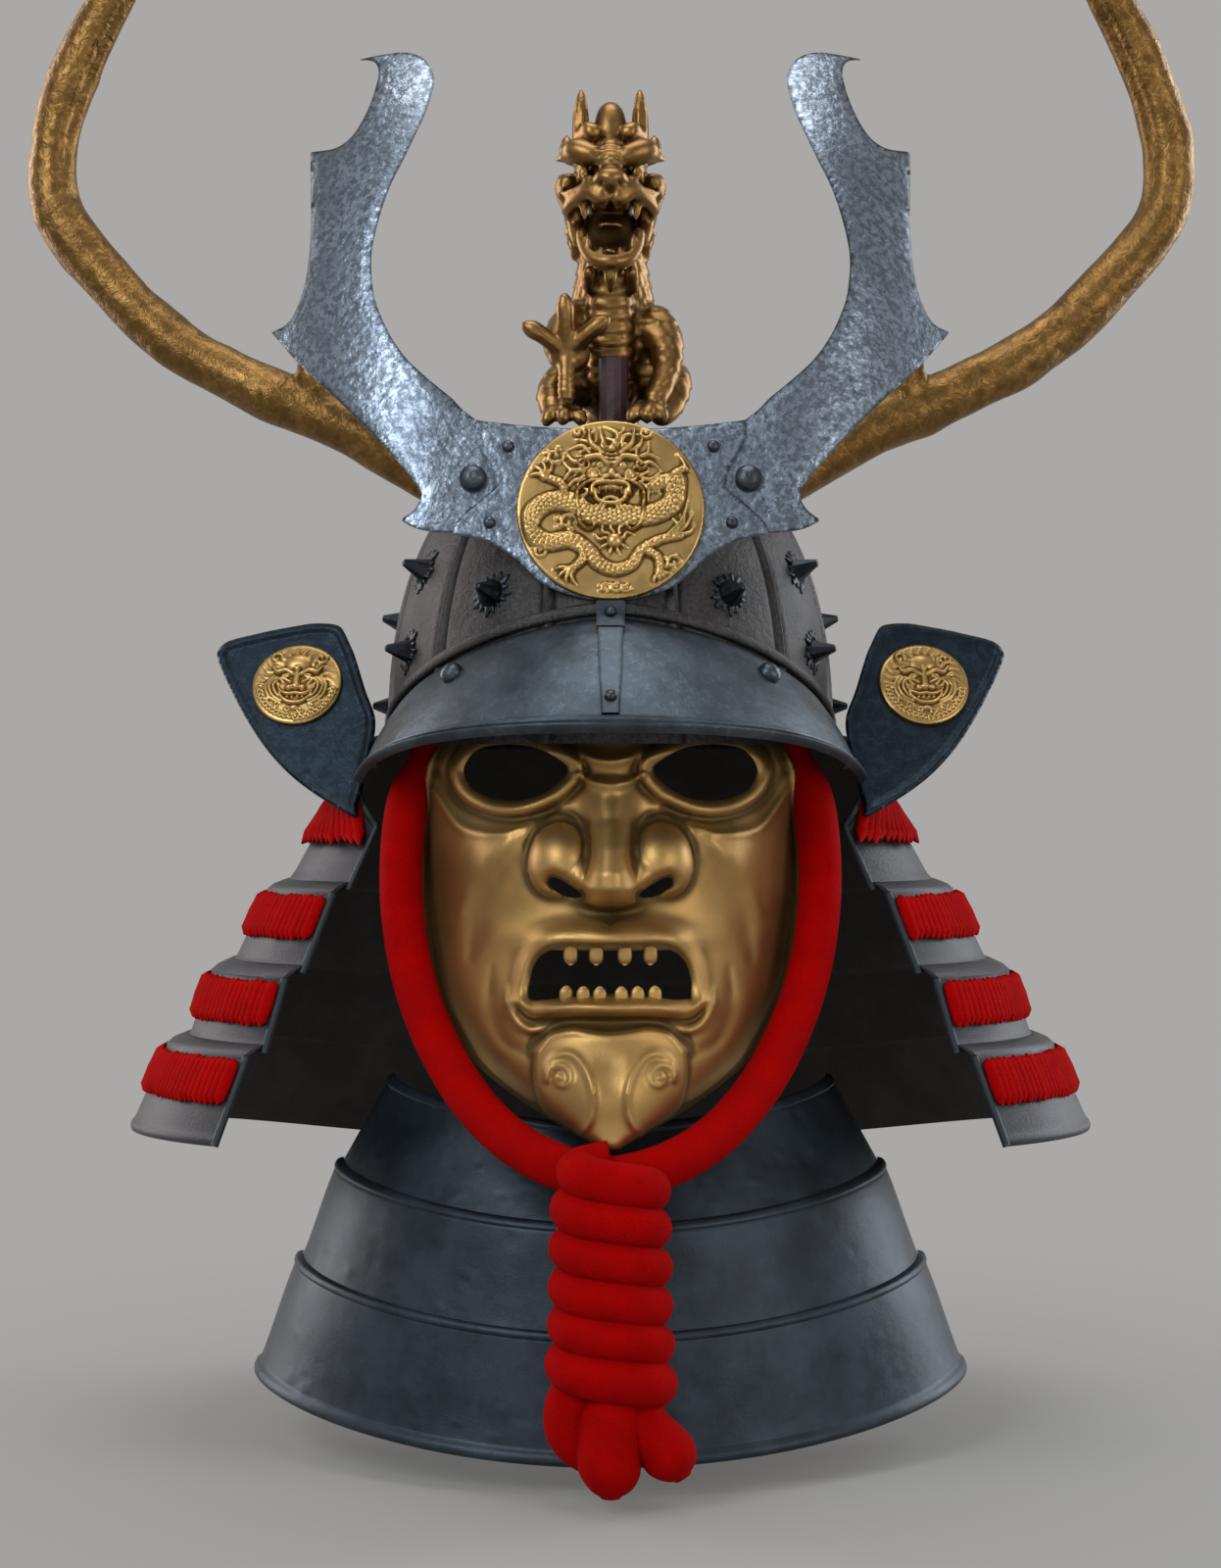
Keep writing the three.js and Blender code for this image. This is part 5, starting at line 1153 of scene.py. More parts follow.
def build_rivets():
    """Dome rivets of the visor, its strap and the crest."""
    template = mesh_of("rivet", *rivet_dome(1.0), merge=False)
    places, outward, sizes, nodes = [], [], [], []

    def rivet(point, normal, diameter, node):
        places.append(point)
        outward.append(normal)
        sizes.append((diameter / 2,) * 3)
        nodes.append(node)

    for name, sign in SIDES:
        point, normal = seated(visor_inner, np.array(sign * 0.5), np.array(0.27), VISOR_WALL + 0.1)
        rivet(point, normal, 11.5, f"visor_rivet_{name}")
        for kind, side, up, diameter, back in (
                ("large", 0.386, 0.252, 13.5, CREST_WALL + CLEARANCE), ("upper", 0.288, 0.319, 6, 0),
                ("lower", 0.338, 0.161, 6, 0)):
            x, z = sign * side * CREST_HALF, CREST_FOOT_Z + up * CREST_HEIGHT
            normal = unit(np.array([crest_y(x + 0.5, z) - crest_y(x - 0.5, z), -1,
                                    crest_y(x, z + 0.5) - crest_y(x, z - 0.5)]))
            rivet(np.array([x, crest_y(x, z) + back, z]) + 0.05 * normal, normal, diameter,
                  f"crest_rivet_{kind}_{name}")
    for name, down, lift in (("upper", 0.015, BAND_THICKNESS), ("lower", 0.765, 0)):
        point, normal = seated(visor_inner, np.array(0.0), np.array(down),
                               VISOR_WALL + 2 * CLEARANCE + STRAP_THICKNESS + 0.75 * lift - 0.1)
        rivet(point, normal, 6, f"strap_rivet_{name}")
    piece = scattered("dome_rivets", template, np.array(places), np.array(outward), (0, 0, 1), sizes,
                      "rivet_steel", sharp=60)
    seat_piece(piece, "dark_iron", *nodes)


# Crest

PLATE_OUTLINE = ((0.38, 0.375, 1), (0.38, 0.341), (0.359, 0.308), (0.331, 0.275), (0.317, 0.238, 1),
                 (0.434, 0.158), (0.44, 0.138, 1), (0.341, 0.122), (0.261, 0.085), (0.18, 0.033),
                 (0.087, 0.009), (0, 0))
HORN_OUTLINE = ((0.25, 0.33, 1), (0.32, 0.352), (0.382, 0.378), (0.42, 0.4), (0.447, 0.421),
                (0.47, 0.435), (0.495, 0.45), (0.53, 0.472), (0.58, 0.508), (0.625, 0.555),
                (0.655, 0.6), (0.673, 0.635), (0.684, 0.682), (0.687, 0.737), (0.668, 0.815),
                (0.637, 0.89), (0.607, 0.94), (0.571, 1.005), (0.54, 1.068), (0.523, 1.142),
                (0.535, 1.176), (0.568, 1.205), (0.62, 1.219), (0.69, 1.217), (0.758, 1.212, 1),
                (0.712, 1.203), (0.695, 1.183), (0.694, 1.151), (0.722, 1.069), (0.768, 1.01),
                (0.812, 0.991), (0.891, 0.991, 1), (0.881, 0.88), (0.876, 0.798), (0.892, 0.675),
                (0.938, 0.606), (0.993, 0.59, 1), (0.9, 0.512), (0.775, 0.424), (0.665, 0.343),
                (0.571, 0.266), (0.531, 0.222), (0.548, 0.191), (0.589, 0.168, 1), (0.54, 0.15),
                (0.47, 0.142), (0.332, 0.14), (0.25, 0.13, 1))


def marked(rows):
    """Rows of x and z, each with a mark: one at a sharp corner and nought elsewhere."""
    return np.array([(*row, 0)[:3] for row in rows], float)


def cornered(rows, step=1.5):
    """A smooth line through rows of x and z, broken at the rows marked as sharp corners."""
    rows = marked(rows)
    corners = np.flatnonzero(rows[:, 2] > 0)
    stops = sorted({0, len(rows) - 1, *corners.tolist()})
    parts = []
    for first, last in zip(stops[:-1], stops[1:]):
        knots = rows[first:last + 1, :2]
        length = np.linalg.norm(np.diff(knots, axis=0), axis=1).sum()
        count = max(2, int(length / step) + 1)
        line = spline(knots, count, axes=2) if len(knots) > 2 else np.linspace(*knots, count)
        parts.append(line[:-1])
    return np.vstack(parts + [rows[-1:, :2]])


def crest_outline(rows, sign):
    return cornered(marked(rows) * (sign * CREST_HALF, CREST_HEIGHT, 1) + (0, CREST_FOOT_Z, 0))


def crest_sheet(name, outline, back, nodes, groove, spacing=1.45):
    """A plate of the crest, bevelled along its border, with an engraved line."""
    sheet = Sheet(outline, spacing)
    x, z = sheet.points.T
    edge = np.minimum(sheet.depth, 3)
    lip = 0.75 * np.exp(-edge / 0.5)
    line = 0.7 * bump(sheet.depth, groove, 0.7)
    front = stack(x, crest_y(x, z) + back + lip + line, z)
    rear = stack(x, crest_y(x, z) + back + CREST_WALL, z)
    sheet.piece(name, front, rear, "crest_steel", nodes, 55,
                hollow=bump(sheet.depth, 0, 0.8) + 0.3 * bump(sheet.depth, groove, 0.6))


def build_crest():
    """The crest's centre plate and its two tall horns."""
    right = crest_outline(PLATE_OUTLINE, 1)
    top = np.array([(share * 0.38, 0.375 - 0.02 * (1 - share * share)) for share in np.linspace(-1, 1, 40)])
    top = top * (CREST_HALF, CREST_HEIGHT) + (0, CREST_FOOT_Z)
    outline = np.vstack([right, (right[:-1] * (-1, 1))[::-1], top[1:-1]])
    crest_sheet("crest_centre_plate", outline, 0, ["crest_plate"], 3.0)
    for name, sign in SIDES:
        crest_sheet(f"crest_horn_hammered_{name}", crest_outline(HORN_OUTLINE, sign),
                    CREST_WALL + CLEARANCE, [f"crest_horn_{name}"], 2.4)
    refinish("crest_stem", "visor_steel")


# Antlers

ANTLER_ROWS = (
    (0.285, -0.09, 1, 0.86), (0.31, -0.07, 2, 0.86), (0.375, -0.03, 4, 0.93), (0.445, 0.012, 6, 1),
    (0.523, 0.045, 9, 1), (0.62, 0.085, 12, 0.98), (0.762, 0.157, 18, 0.96), (0.903, 0.28, 24, 0.97),
    (0.989, 0.39, 27, 0.95), (0.997, 0.497, 28, 0.93), (0.958, 0.618, 26, 0.9), (0.891, 0.738, 22, 0.82),
    (0.85, 0.801, 20, 0.71), (0.796, 0.944, 16, 0.32), (0.793, 1, 15, 0.1))
TINE_ROWS = ((0.53, 0.04, 8, 0.66), (0.525, 0.095, 4, 0.62), (0.53, 0.145, 2, 0.48), (0.543, 0.18, 1, 0.34),
             (0.55, 0.2, 1, 0.12))


def remeshed(name, parts, voxel, passes):
    """Several overlapping shapes as one skin of even squares: its points, normals and faces."""
    points, faces = together(parts)
    source = bpy.data.meshes.new(name)
    source.from_pydata((points * MM).tolist(), [], faces)
    piece = new_piece(name, source)
    work = bmesh.new()
    work.from_mesh(source)
    bmesh.ops.recalc_face_normals(work, faces=work.faces)
    work.to_mesh(source)
    work.free()
    remesh = piece.modifiers.new("remesh", "REMESH")
    remesh.mode, remesh.voxel_size = "VOXEL", voxel * MM
    even = piece.modifiers.new("smooth", "SMOOTH")
    even.factor, even.iterations = 0.5, passes
    graph = bpy.context.evaluated_depsgraph_get()
    mesh = bpy.data.meshes.new_from_object(piece.evaluated_get(graph))
    bpy.data.objects.remove(piece)
    count = len(mesh.vertices)
    places, normals = np.empty(count * 3), np.empty(count * 3)
    mesh.vertices.foreach_get("co", places)
    mesh.vertices.foreach_get("normal", normals)
    return mesh, places.reshape(-1, 3) / MM, normals.reshape(-1, 3)


def moved(mesh, places):
    """Puts a mesh's points at new places in millimetres."""
    mesh.vertices.foreach_set("co", (places * MM).ravel())
    mesh.update()


def edge_hollows(mesh, places, normals, passes=6):
    """How deep each point lies among its neighbours, from the mesh's own edges."""
    edges = np.empty(len(mesh.edges) * 2, int)
    mesh.edges.foreach_get("vertices", edges)
    a, b = edges.reshape(-1, 2).T
    count = np.bincount(np.concatenate([a, b]), minlength=len(places))[:, None]
    blurred = places.copy()
    for _ in range(passes):
        total = np.zeros_like(blurred)
        np.add.at(total, a, blurred[b])
        np.add.at(total, b, blurred[a])
        blurred = 0.5 * blurred + 0.5 * total / np.maximum(count, 1)
    return ((blurred - places) * normals).sum(1)


def build_antlers():
    """The antlers with their tines."""
    rng = np.random.default_rng(11)
    for name, sign in SIDES:
        scale = np.array((sign * ANTLER_REACH, ANTLER_HEIGHT, 1, ANTLER_THICKNESS / 2))
        parts = []
        for rows, count, sides in ((ANTLER_ROWS, 130, 30), (TINE_ROWS, 30, 20)):
            out, up, back, thick = (np.array(rows) * scale).T
            line = spline(np.stack([out, back, up, thick], 1), count)
            wobble = 1 + 0.05 * np.interp(np.arange(count), np.arange(0, count + 6, 6),
                                          rng.uniform(-1, 1, len(np.arange(0, count + 6, 6))))
            parts.append(tube(line[:, :3], line[:, 3] * wobble * 0.98, sides))
        mesh, places, normals = remeshed(f"antler_{name}", parts, 2.2, 4)
        lumps = np.zeros(len(places))
        for _ in range(150):
            centre = places[rng.integers(len(places))]
            size, height = rng.uniform(4, 11), rng.uniform(-0.9, 0.9)
            lumps += height * np.exp(-((places - centre) ** 2).sum(1) / size ** 2)
        groove = smooth(places[:, 2], 120, 170) * bump(np.arctan2(normals[:, 1], -sign * normals[:, 0]),
                                                       -0.75, 0.28)
        moved(mesh, places + normals * (lumps - 1.6 * groove)[:, None])
        mesh.shade_smooth()
        finished(f"antler_cast_{name}", mesh, "antler_bronze", f"antler_{name}")


# Turned-back plates

PLATE_ROWS = ((0, 0.085, 0.12), (0.054, 0.09, 0.234), (0.123, 0.07, 0.369), (0.213, 0.05, 0.511),
              (0.339, 0.02, 0.657), (0.491, 0.005, 0.788), (0.645, 0.073, 0.896), (0.786, 0.13, 0.981),
              (0.843, 0.155, 1), (0.895, 0.185, 0.96), (0.946, 0.215, 0.76), (0.985, 0.25, 0.53))


def build_plates():
    """The turned-back plates with their rounded rims and their roots on the neck guard."""
    rows = np.array(PLATE_ROWS)
    outer = [(out, up, 0) for up, _, out in rows]
    inner = [(into, up, 0) for up, into, _ in rows[::-1]]
    table = np.array([(*outer[0][:2], 1), *outer[1:-1], (*outer[-1][:2], 0), (0.4, 1.0, 0),
                      (inner[0][0], 0.985, 0), *inner[1:]])
    table = table * (PLATE_WIDTH, PLATE_HEIGHT, 1)
    outline = cornered(np.vstack([table, table[:1]]))[:-1]
    for name, sign in SIDES:
        sheet = Sheet(outline, 1.3)
        out, up = sheet.points[:, 0] / PLATE_WIDTH, sheet.points[:, 1] / PLATE_HEIGHT
        rim = 1.3 * PLATE_RIM * dome(sheet.depth, 2.1, 2.15)
        front = plate_point(sign, out, up, -rim)
        rear = plate_point(sign, out, up, 0 * out + PLATE_WALL)
        sheet.piece(f"turnback_plate_{name}", front, rear, "navy_steel",
                    [f"turnback_{name}"], 70)
        share, down = np.meshgrid(np.linspace(0.93, 1.16, 14), np.linspace(0.04, 0.24, 10))
        base = NECK_WALL + NECK_RIM + 2 * CLEARANCE
        grids = [lame_point(0, sign * share, down, base + thick) for thick in (PLATE_WALL, 0)]
        shell_piece(f"turnback_root_{name}", *grids, "navy_steel")


# Neck guard

def lame_grid(lame, outer, columns):
    """A lame's outer or inner face, with its top edge turned in and its rims rolled."""
    face = NECK_WALL if outer else 0
    share = np.linspace(-1, 1, columns)
    edge = lame_share(lame, NECK_LAP)
    rows = []
    if lame == 0:
        step = NECK_RADIUS - BOWL_WIDTH / 2 - CLEARANCE
        rows.append(lame_point(0, share, 0 * share, face - step))
    else:
        above = 0 * share + 1 - lame_share(lame - 1, NECK_LAP)
        rows.append(lame_point(lame - 1, share, above, NECK_WALL + CLEARANCE + face))
    first = rows[0]
    rim = lame_point(lame, share, 0 * share + edge, face + (NECK_RIM if outer else 0))
    for at, lift in ((0.35, 0.5), (0.7, 0.9)):
        rows.append(mix(first, rim, at) + stack(0, 0, lift if outer else 0) * np.ones((columns, 1)))
    rows.append(rim)
    for down in np.linspace(edge + 0.03, 1, 34):
        hem = 1.0 * bump(down, 1 - 2 * edge * 0.4, 0.035) if outer else 0
        turn_in = -0.7 if down == 1 and outer else 0
        rows.append(lame_point(lame, share, 0 * share + down, face + hem + turn_in))
    return np.array(rows)


def build_lames():
    """The four lames of the neck guard, with a rounded trim along each front edge."""
    columns = 120
    for lame in range(4):
        outer, inner = (lame_grid(lame, face, columns) for face in (True, False))
        shell_piece(f"neck_lame_sheet_{lame + 1}", outer, inner, "lame_steel",
                    [f"neck_lame_{lame + 1}"], trim=np.zeros(outer.shape[:2]))
    parts = []
    for lame in range(4):
        first = LACING_ROWS[0][1] if lame == 0 else lame_share(lame, NECK_LAP)
        down = np.linspace(first * (0.62 if lame == 0 else 1), 1, 40)
        for _, sign in SIDES:
            line = lame_point(lame, sign + 0 * down, down, NECK_WALL / 2)
            parts.append(tube(line, 1.9, 12))
    points, faces = together(parts)
    ones = np.ones(len(points))
    mesh = mesh_of("lame_trim", points, faces, merge=False, inside=0 * ones, trim=ones)
    finished("neck_lame_trim", mesh, "lame_steel")


def lace_mesh():
    """One soft lace: a slightly twisted roll, as wide as one and as tall as one."""
    rows, sides = 9, 8
    up = np.linspace(-1, 1, rows)
    girth = np.sqrt(np.clip(1 - np.abs(up) ** 6, 0.02, 1)) * (1 + 0.05 * np.cos(up * 7))
    angle = round_angles(sides)
    points = stack(0.5 * girth[:, None] * np.cos(angle) * 1.22 + 0.1 * up[:, None],
                   0.5 * up[:, None] + 0 * angle, 0.5 * girth[:, None] * np.sin(angle) * 1.3)
    faces = grid_quads(rows, sides, True).tolist()
    faces += [list(range(sides))[::-1], list(range((rows - 1) * sides, rows * sides))]
    return mesh_of("lace", points.reshape(-1, 3), faces, merge=False)


def build_lacing(sizes):
    """Red laces side by side over each lame."""
    rng = np.random.default_rng(4)
    for lame, (start, stop) in enumerate(LACING_ROWS):
        stop += LACE_RUN if lame == 0 else 0
        middle = (start + stop) / 2
        fine = np.linspace(-0.993, 0.993, 2000)
        line = lame_point(lame, fine, 0 * fine + middle, 0)
        length = lengths_along(line)
        count = int(length[-1] / (sizes.lace_width / MM * LACE_PITCH))
        share = np.interp((np.arange(count) + 0.5) / count * length[-1], length, fine)
        seat = NECK_WALL + NECK_RIM + 2 * CLEARANCE + 0.55
        places = lame_point(lame, share, 0 * share + middle, seat)
        top = lame_point(lame, share, 0 * share + start, seat)
        low = lame_point(lame, share, 0 * share + stop, seat)
        aside = lame_point(lame, share + 0.002, 0 * share + middle, seat) - places
        fall = top - low
        tall = np.linalg.norm(fall, axis=1)
        outward = unit(np.cross(aside, fall))
        flip = np.sign((outward[:, :2] * places[:, :2]).sum(1))[:, None]
        outward = outward * flip
        fall = unit(fall) + 0.03 * unit(aside) * rng.normal(0.6, 0.5, (count, 1))
        width = sizes.lace_width / MM
        stretch = stack(0 * tall + width, tall * rng.uniform(0.98, 1.03, count) * 1.02,
                        0 * tall + LACE_HEIGHT)
        piece = scattered(f"lacing_{lame + 1}", lace_mesh(), places, outward, fall, stretch, "red_lacing",
                          0.04, 7 + lame, None)
        seat_piece(piece, "red_lacing", f"lacing_band_{lame + 1}")


# Throat guard

def build_throat(sizes):
    """The three lames of the throat guard, with small dents and a raised rib at their seams."""
    rng = np.random.default_rng(21)
    for lame in range(3):
        share = np.linspace(-1, 1, 160)
        lap = 0 if lame == 0 else 3 * THROAT_LAP / THROAT_HEIGHT
        edges = np.concatenate([np.linspace(lame - lap, lame - lap + 0.13, 10),
                                np.linspace(lame - lap + 0.15, lame + 0.9, 44),
                                np.linspace(lame + 0.91, lame + 1, 8)])
        across, edge = np.meshgrid(share, edges)
        lift = (THROAT_WALL + CLEARANCE) * (1 - smooth(edge, lame - lap + 0.12, lame + 0.93)) if lame else 0
        ridge = 1.3 * dome(edge, lame - lap + 0.04, 0.042)
        hem = THROAT_RIDGE * dome(edge, 2.945, 0.055) if lame == 2 else 0
        plain = throat_point(across, edge, lift)
        dents = np.zeros(across.shape)
        for _ in range(sizes.dent_count):
            centre = throat_point(rng.uniform(-0.95, 0.95), rng.uniform(lame + 0.1, lame + 0.95), 0)
            size, deep = rng.uniform(0.9, 3.2), rng.uniform(-0.5, 0.6)
            dents += deep * np.exp(-((plain - centre) ** 2).sum(-1) / size ** 2)
        sides = np.minimum(1, (1 - np.abs(across)) / 0.01)
        outer = throat_point(across, edge, lift + (THROAT_WALL + ridge + hem + dents) * mix(0.6, 1, sides))
        shell_piece(f"throat_lame_sheet_{lame + 1}", outer, plain, "throat_steel",
                    [f"throat_lame_{lame + 1}"])
    refinish("throat_hanger", "throat_steel")
    refinish("dragon_post", "post_paint")


# Mask

FACE_UNIT, FACE_TOP = 0.46, -150.7
EYE_HOLE = ((153.7, 40), (147, 56.7), (127, 68.3), (100.3, 72.3), (73.7, 66.7), (53.7, 53.3), (43.7, 39.3),
            (63.7, 23.3), (83.7, 16), (113.7, 14), (140.3, 20))
MOUTH_TOP = ((0, 221), (22, 220.5), (47, 220), (63.7, 225), (76.3, 236.7), (81.3, 253), (82, 273))
MOUTH_LOW = ((64, 273), (39, 269.3), (0, 266.7))
MOUTH_HOLE = (*MOUTH_TOP[::-1], *((-x, y) for x, y in MOUTH_TOP[1:] + MOUTH_LOW), *MOUTH_LOW[1::-1])
NOSTRIL = ((61, 150), (63, 156), (57, 163), (47, 168.5), (36, 171), (28.7, 168.5), (33, 163), (44, 156),
           (53, 150.5))
# Teeth: their places across, half width, height at the root and at the tip, and the gum bar's height
TEETH_SPREAD, GUM_SPREAD, GUM_RADIUS = 38, 31, 2.6
TEETH = {"upper_teeth": ((0.175, 0.49), 3.7, -249.5, -260.6, -250.5),
         "lower_teeth": ((0.13, 0.33, 0.54), 3.5, -279.5, -269.6, -280)}
CHIN_PLATE = ((-17, 301.7), (0, 303), (17, 301.7), (40, 299), (60, 306), (77, 325, 1), (79, 350),
              (71, 384), (63, 396, 1), (34, 412), (0, 427), (-34, 412), (-17, 301.7))
CHIN_LEAF = ((64, 352), (64, 340), (57, 329), (41, 325), (26, 338), (17, 362), (19, 386), (34, 409))
NOSE_HEIGHTS = ((-10, 4), (20, 8), (60, 9), (90, 14), (120, 24), (145, 29.5), (160, 28.5), (170, 22),
                (178, 10), (185, 0))
NOSE_WIDTHS = ((-10, 32), (60, 25), (95, 21), (125, 25), (150, 33), (164, 34), (174, 27), (184, 17))
# Soft folds of the face: knots, width, height and how wide the two ends are; below zero they are creases
FOLDS = (
    (((86, 142), (84, 116), (74, 95), (58, 84), (38, 86), (27, 100)), 5, -2.2, 0.4, 0.4),
    (((184, 40), (170, 66), (142, 90), (100, 94), (60, 78)), 12, -2.6, 0.4, 0.5),
    (((188, 62), (160, 98), (148, 104), (112, 106), (88, 98)), 6, 2.0, 0.5, 0.3),
    (((90, 118), (112, 152), (134, 190), (146, 236)), 20, -2.6, 0.5, 0.3),
    (((104, 112), (134, 148), (156, 190)), 16, 1.6, 0.3, 0.3),
    (((-40, 294), (0, 291), (40, 294), (62, 300)), 7, -2.2, 0.5, 0.3),
    (((106, 262), (104, 282), (93, 299), (77, 305), (58, 296)), 5.5, 3.6, 0.3, 0.3),
    (((97, 272), (92, 287), (80, 295), (66, 290)), 5, -2.6, 0.4, 0.3),
    (((122, 244), (122, 286), (108, 318), (84, 330)), 12, -2.2, 0.3, 0.4),
    (((84, 322), (64, 298), (40, 289), (17, 292), (0, 294)), 8, -2.6, 0.5, 1),
    (((75, 325), (60, 309), (40, 303), (17, 305), (0, 307)), 4, 1.2, 0.5, 0.8),
)
MASK_ROWS = ((0, 0.84, 0.04, 0.52), (0.1, 0.95, 0, 0.64), (0.2, 0.98, 0, 0.7), (0.41, 1, 0, 0.8),
             (0.55, 0.97, 0.04, 0.86), (0.655, 0.92, 0.13, 0.92), (0.76, 0.8, 0.28, 0.98),
             (0.843, 0.67, 0.42, 1.04), (0.92, 0.43, 0.66, 1.12), (0.975, 0.18, 0.98, 1.17),
             (1, 0.05, 1.16, 1.18))
MASK_SWELLS = ((0.27, 0.09, 0.2, 0.03, 0.08), (0.3, 0.3, 0.14, 0.09, 0.1), (0.1, 0.52, 0.17, 0.03, 0.06),
               (0.08, 0.68, 0.16, 0.03, 0.08), (0.05, 0.85, 0.11, 0.09, 0.08))


def mask_profile(down):
    rows = spline(MASK_ROWS, 120, axes=1)
    return [np.interp(down, rows[:, 0], rows[:, at]) for at in (1, 2, 3)]


def mask_form(x, z, relief):
    """How far the mask stands forward in millimetres: the solid's swells and the drawn relief."""
    down = (MASK_TOP - z) / MASK_HEIGHT
    half, edge, middle = mask_profile(np.clip(down, 0, 1))
    share = np.clip(np.abs(x) / (half * MASK_WIDTH / 2), 0, 1)
    swell = 0
    for centre, low, wide, tall, high in MASK_SWELLS:
        swell = swell + high * sum(bump(x / MASK_WIDTH, side * centre, wide) for side in (-1, 1)) \
            * bump(down, low, tall)
    swell = swell * np.minimum(1, 3 * (1 - share))
    return MASK_DEPTH * (mix(edge, middle, 1 - share ** 2.3) + swell) + relief


def face_relief(x, z):
    """The mask's drawn forms: eye rims, nose, cheeks, lips and the chin's scrolled plate."""
    side = np.abs(x) / FACE_UNIT
    down = (FACE_TOP - z) / FACE_UNIT
    face = Relief(np.stack([side, down], 1))
    centre, width = (np.interp(down, *zip(*rows)) for rows in (NOSE_HEIGHTS, NOSE_WIDTHS))
    face.height = centre * np.exp(-(side / width) ** 2.6)
    wing = Relief(face.points)
    wing.boss(52, 134, 33, 40, 17, -0.12)
    wing.boss(32, 150, 20, 30, 17)
    wing.height *= 1 - smooth(down, 160, 176)
    wing.height -= 1.6 * bump(side, 25, 5) * smooth(down, 86, 98) * (1 - smooth(down, 108, 128))
    face.height = np.maximum(face.height, wing.height)
    for knots, width, height, *ends in FOLDS:
        face.stroke(knots, width, height, ends, True, True)
    for low, high in ((8, 2.2), (30, 3.2), (54, 3.2)):
        brow = ((-34, low - 9), (-18, low - 1), (0, low + 2), (18, low - 1), (34, low - 9))
        face.stroke(brow, 7, high, (0.4, 0.4), True, True)
    distance = nearest_on(face.points, spline(EYE_HOLE + EYE_HOLE[:1], 120, axes=2))[0]
    face.height += 3.2 * dome(distance, 7, 9) - 1.8 * bump(distance, 19, 4)
    distance = nearest_on(face.points, spline(MOUTH_TOP + MOUTH_LOW, 90, axes=2))[0]
    face.height += 1.6 * dome(distance, 4, 6)
    face.stroke(((-68, 214), (-48, 205), (-24, 203), (0, 206), (24, 203), (48, 205), (68, 214), (84, 232),
                 (92, 256), (95, 276)), 14, 4.6, (0.7, 0.4), True, True, count=70)
    face.stroke(((-58, 284), (-30, 281), (0, 279), (30, 281), (58, 284), (80, 286), (96, 276)), 10, 3.8,
                (0.7, 0.5), True, True, count=60)
    face.stroke(((0, 186), (0, 198)), 7, -2.4, (1, 0.4), True, True, count=2)
    face.step(cornered(CHIN_PLATE, 3), 5.2, 4, True)
    distance = nearest_on(face.points, spline(CHIN_LEAF, 90, axes=2))[0]
    channel = (1 - smooth(side, 10, 26)) * bump(side, 0, 17)
    face.height += 2.4 * bump(distance, 0, 3.2) * (down > 318)
    face.height -= 3.0 * channel * smooth(down, 316, 340) * (1 - smooth(down, 405, 425))
    turns = np.linspace(0.2, 9.2, 60)
    reach = 15.5 - 1.6 * turns
    spiral = np.stack([50 + reach * np.cos(turns - 0.4), 349 - reach * np.sin(turns - 0.4)], 1)
    face.stroke(spiral, 2.6, 2.6, (0.9, 0.9), True, True, count=120)
    face.boss(50, 349, 4, 4, 2.2, 0, True, True)
    return face.height


def build_mask():
    """The war mask's cast face and its teeth."""
    down = np.linspace(0, 1, 60)
    half = mask_profile(down)[0] * MASK_WIDTH / 2
    half = half + 3.4 * smooth(down, 0, 0.12) * (1 - smooth(down, 0.7, 1))
    z = MASK_TOP - down * MASK_HEIGHT
    outline = np.vstack([np.stack([half, z], 1), np.stack([-half, z], 1)[::-1]])
    holes = []
    for _, sign in SIDES:
        for rows in (EYE_HOLE, NOSTRIL):
            loop = spline(rows, 70, axes=2, closed=True)[:-1]
            holes.append(np.stack([sign * loop[:, 0] * FACE_UNIT, FACE_TOP - loop[:, 1] * FACE_UNIT], 1))
    mouth = cornered(MOUTH_HOLE + MOUTH_HOLE[:1], 3)[:-1]
    holes.append(np.stack([mouth[:, 0] * FACE_UNIT, FACE_TOP - mouth[:, 1] * FACE_UNIT], 1))
    sheet = Sheet(outline, 1.1, holes)
    x, z = sheet.points.T
    fade = smooth(sheet.depth, -1, 5)
    relief = sheet.softened(face_relief(x, z), 1)
    forward = mask_form(x, z, relief * mix(0.55, 1, fade))
    forward -= 0.9 * np.exp(-np.maximum(sheet.depth, 0) / 0.8)
    back = mask_form(x, z, sheet.softened(relief, 30) * 0.8) - MASK_WALL
    back = np.minimum(back, forward - 1.6)
    # how deep each place lies, which the mask's finish paints dark as shade
    hollow = sheet.hollows(forward, 40)
    front = stack(x, -MASK_SEAT - forward, z)
    rear = stack(x, -MASK_SEAT - back, z)
    sheet.piece("mask_cast_face", front, rear, "mask_bronze", ["mask"], 70,
                hollow=hollow)

    for name, (shares, half, root, tip, gum_height) in TEETH.items():
        parts = [tooth(sign * share * TEETH_SPREAD, half, root, tip) for _, sign in SIDES for share in shares]
        across = np.linspace(-GUM_SPREAD, GUM_SPREAD, 30)
        gum = stack(across, mask_behind(across, gum_height) + 1.0, gum_height)
        parts.append(tube(gum, GUM_RADIUS, 12, 1.3))
        points, faces = together(parts)
        mesh = mesh_of(name, points, faces, merge=False, hollow=np.zeros(len(points)))
        finished(f"{name}_row", mesh, "mask_bronze", name)


def mask_behind(x, z):
    """A place behind the mask's wall."""
    return -MASK_SEAT - mask_form(x, 0 * x + z, 0) + MASK_WALL + 4.2


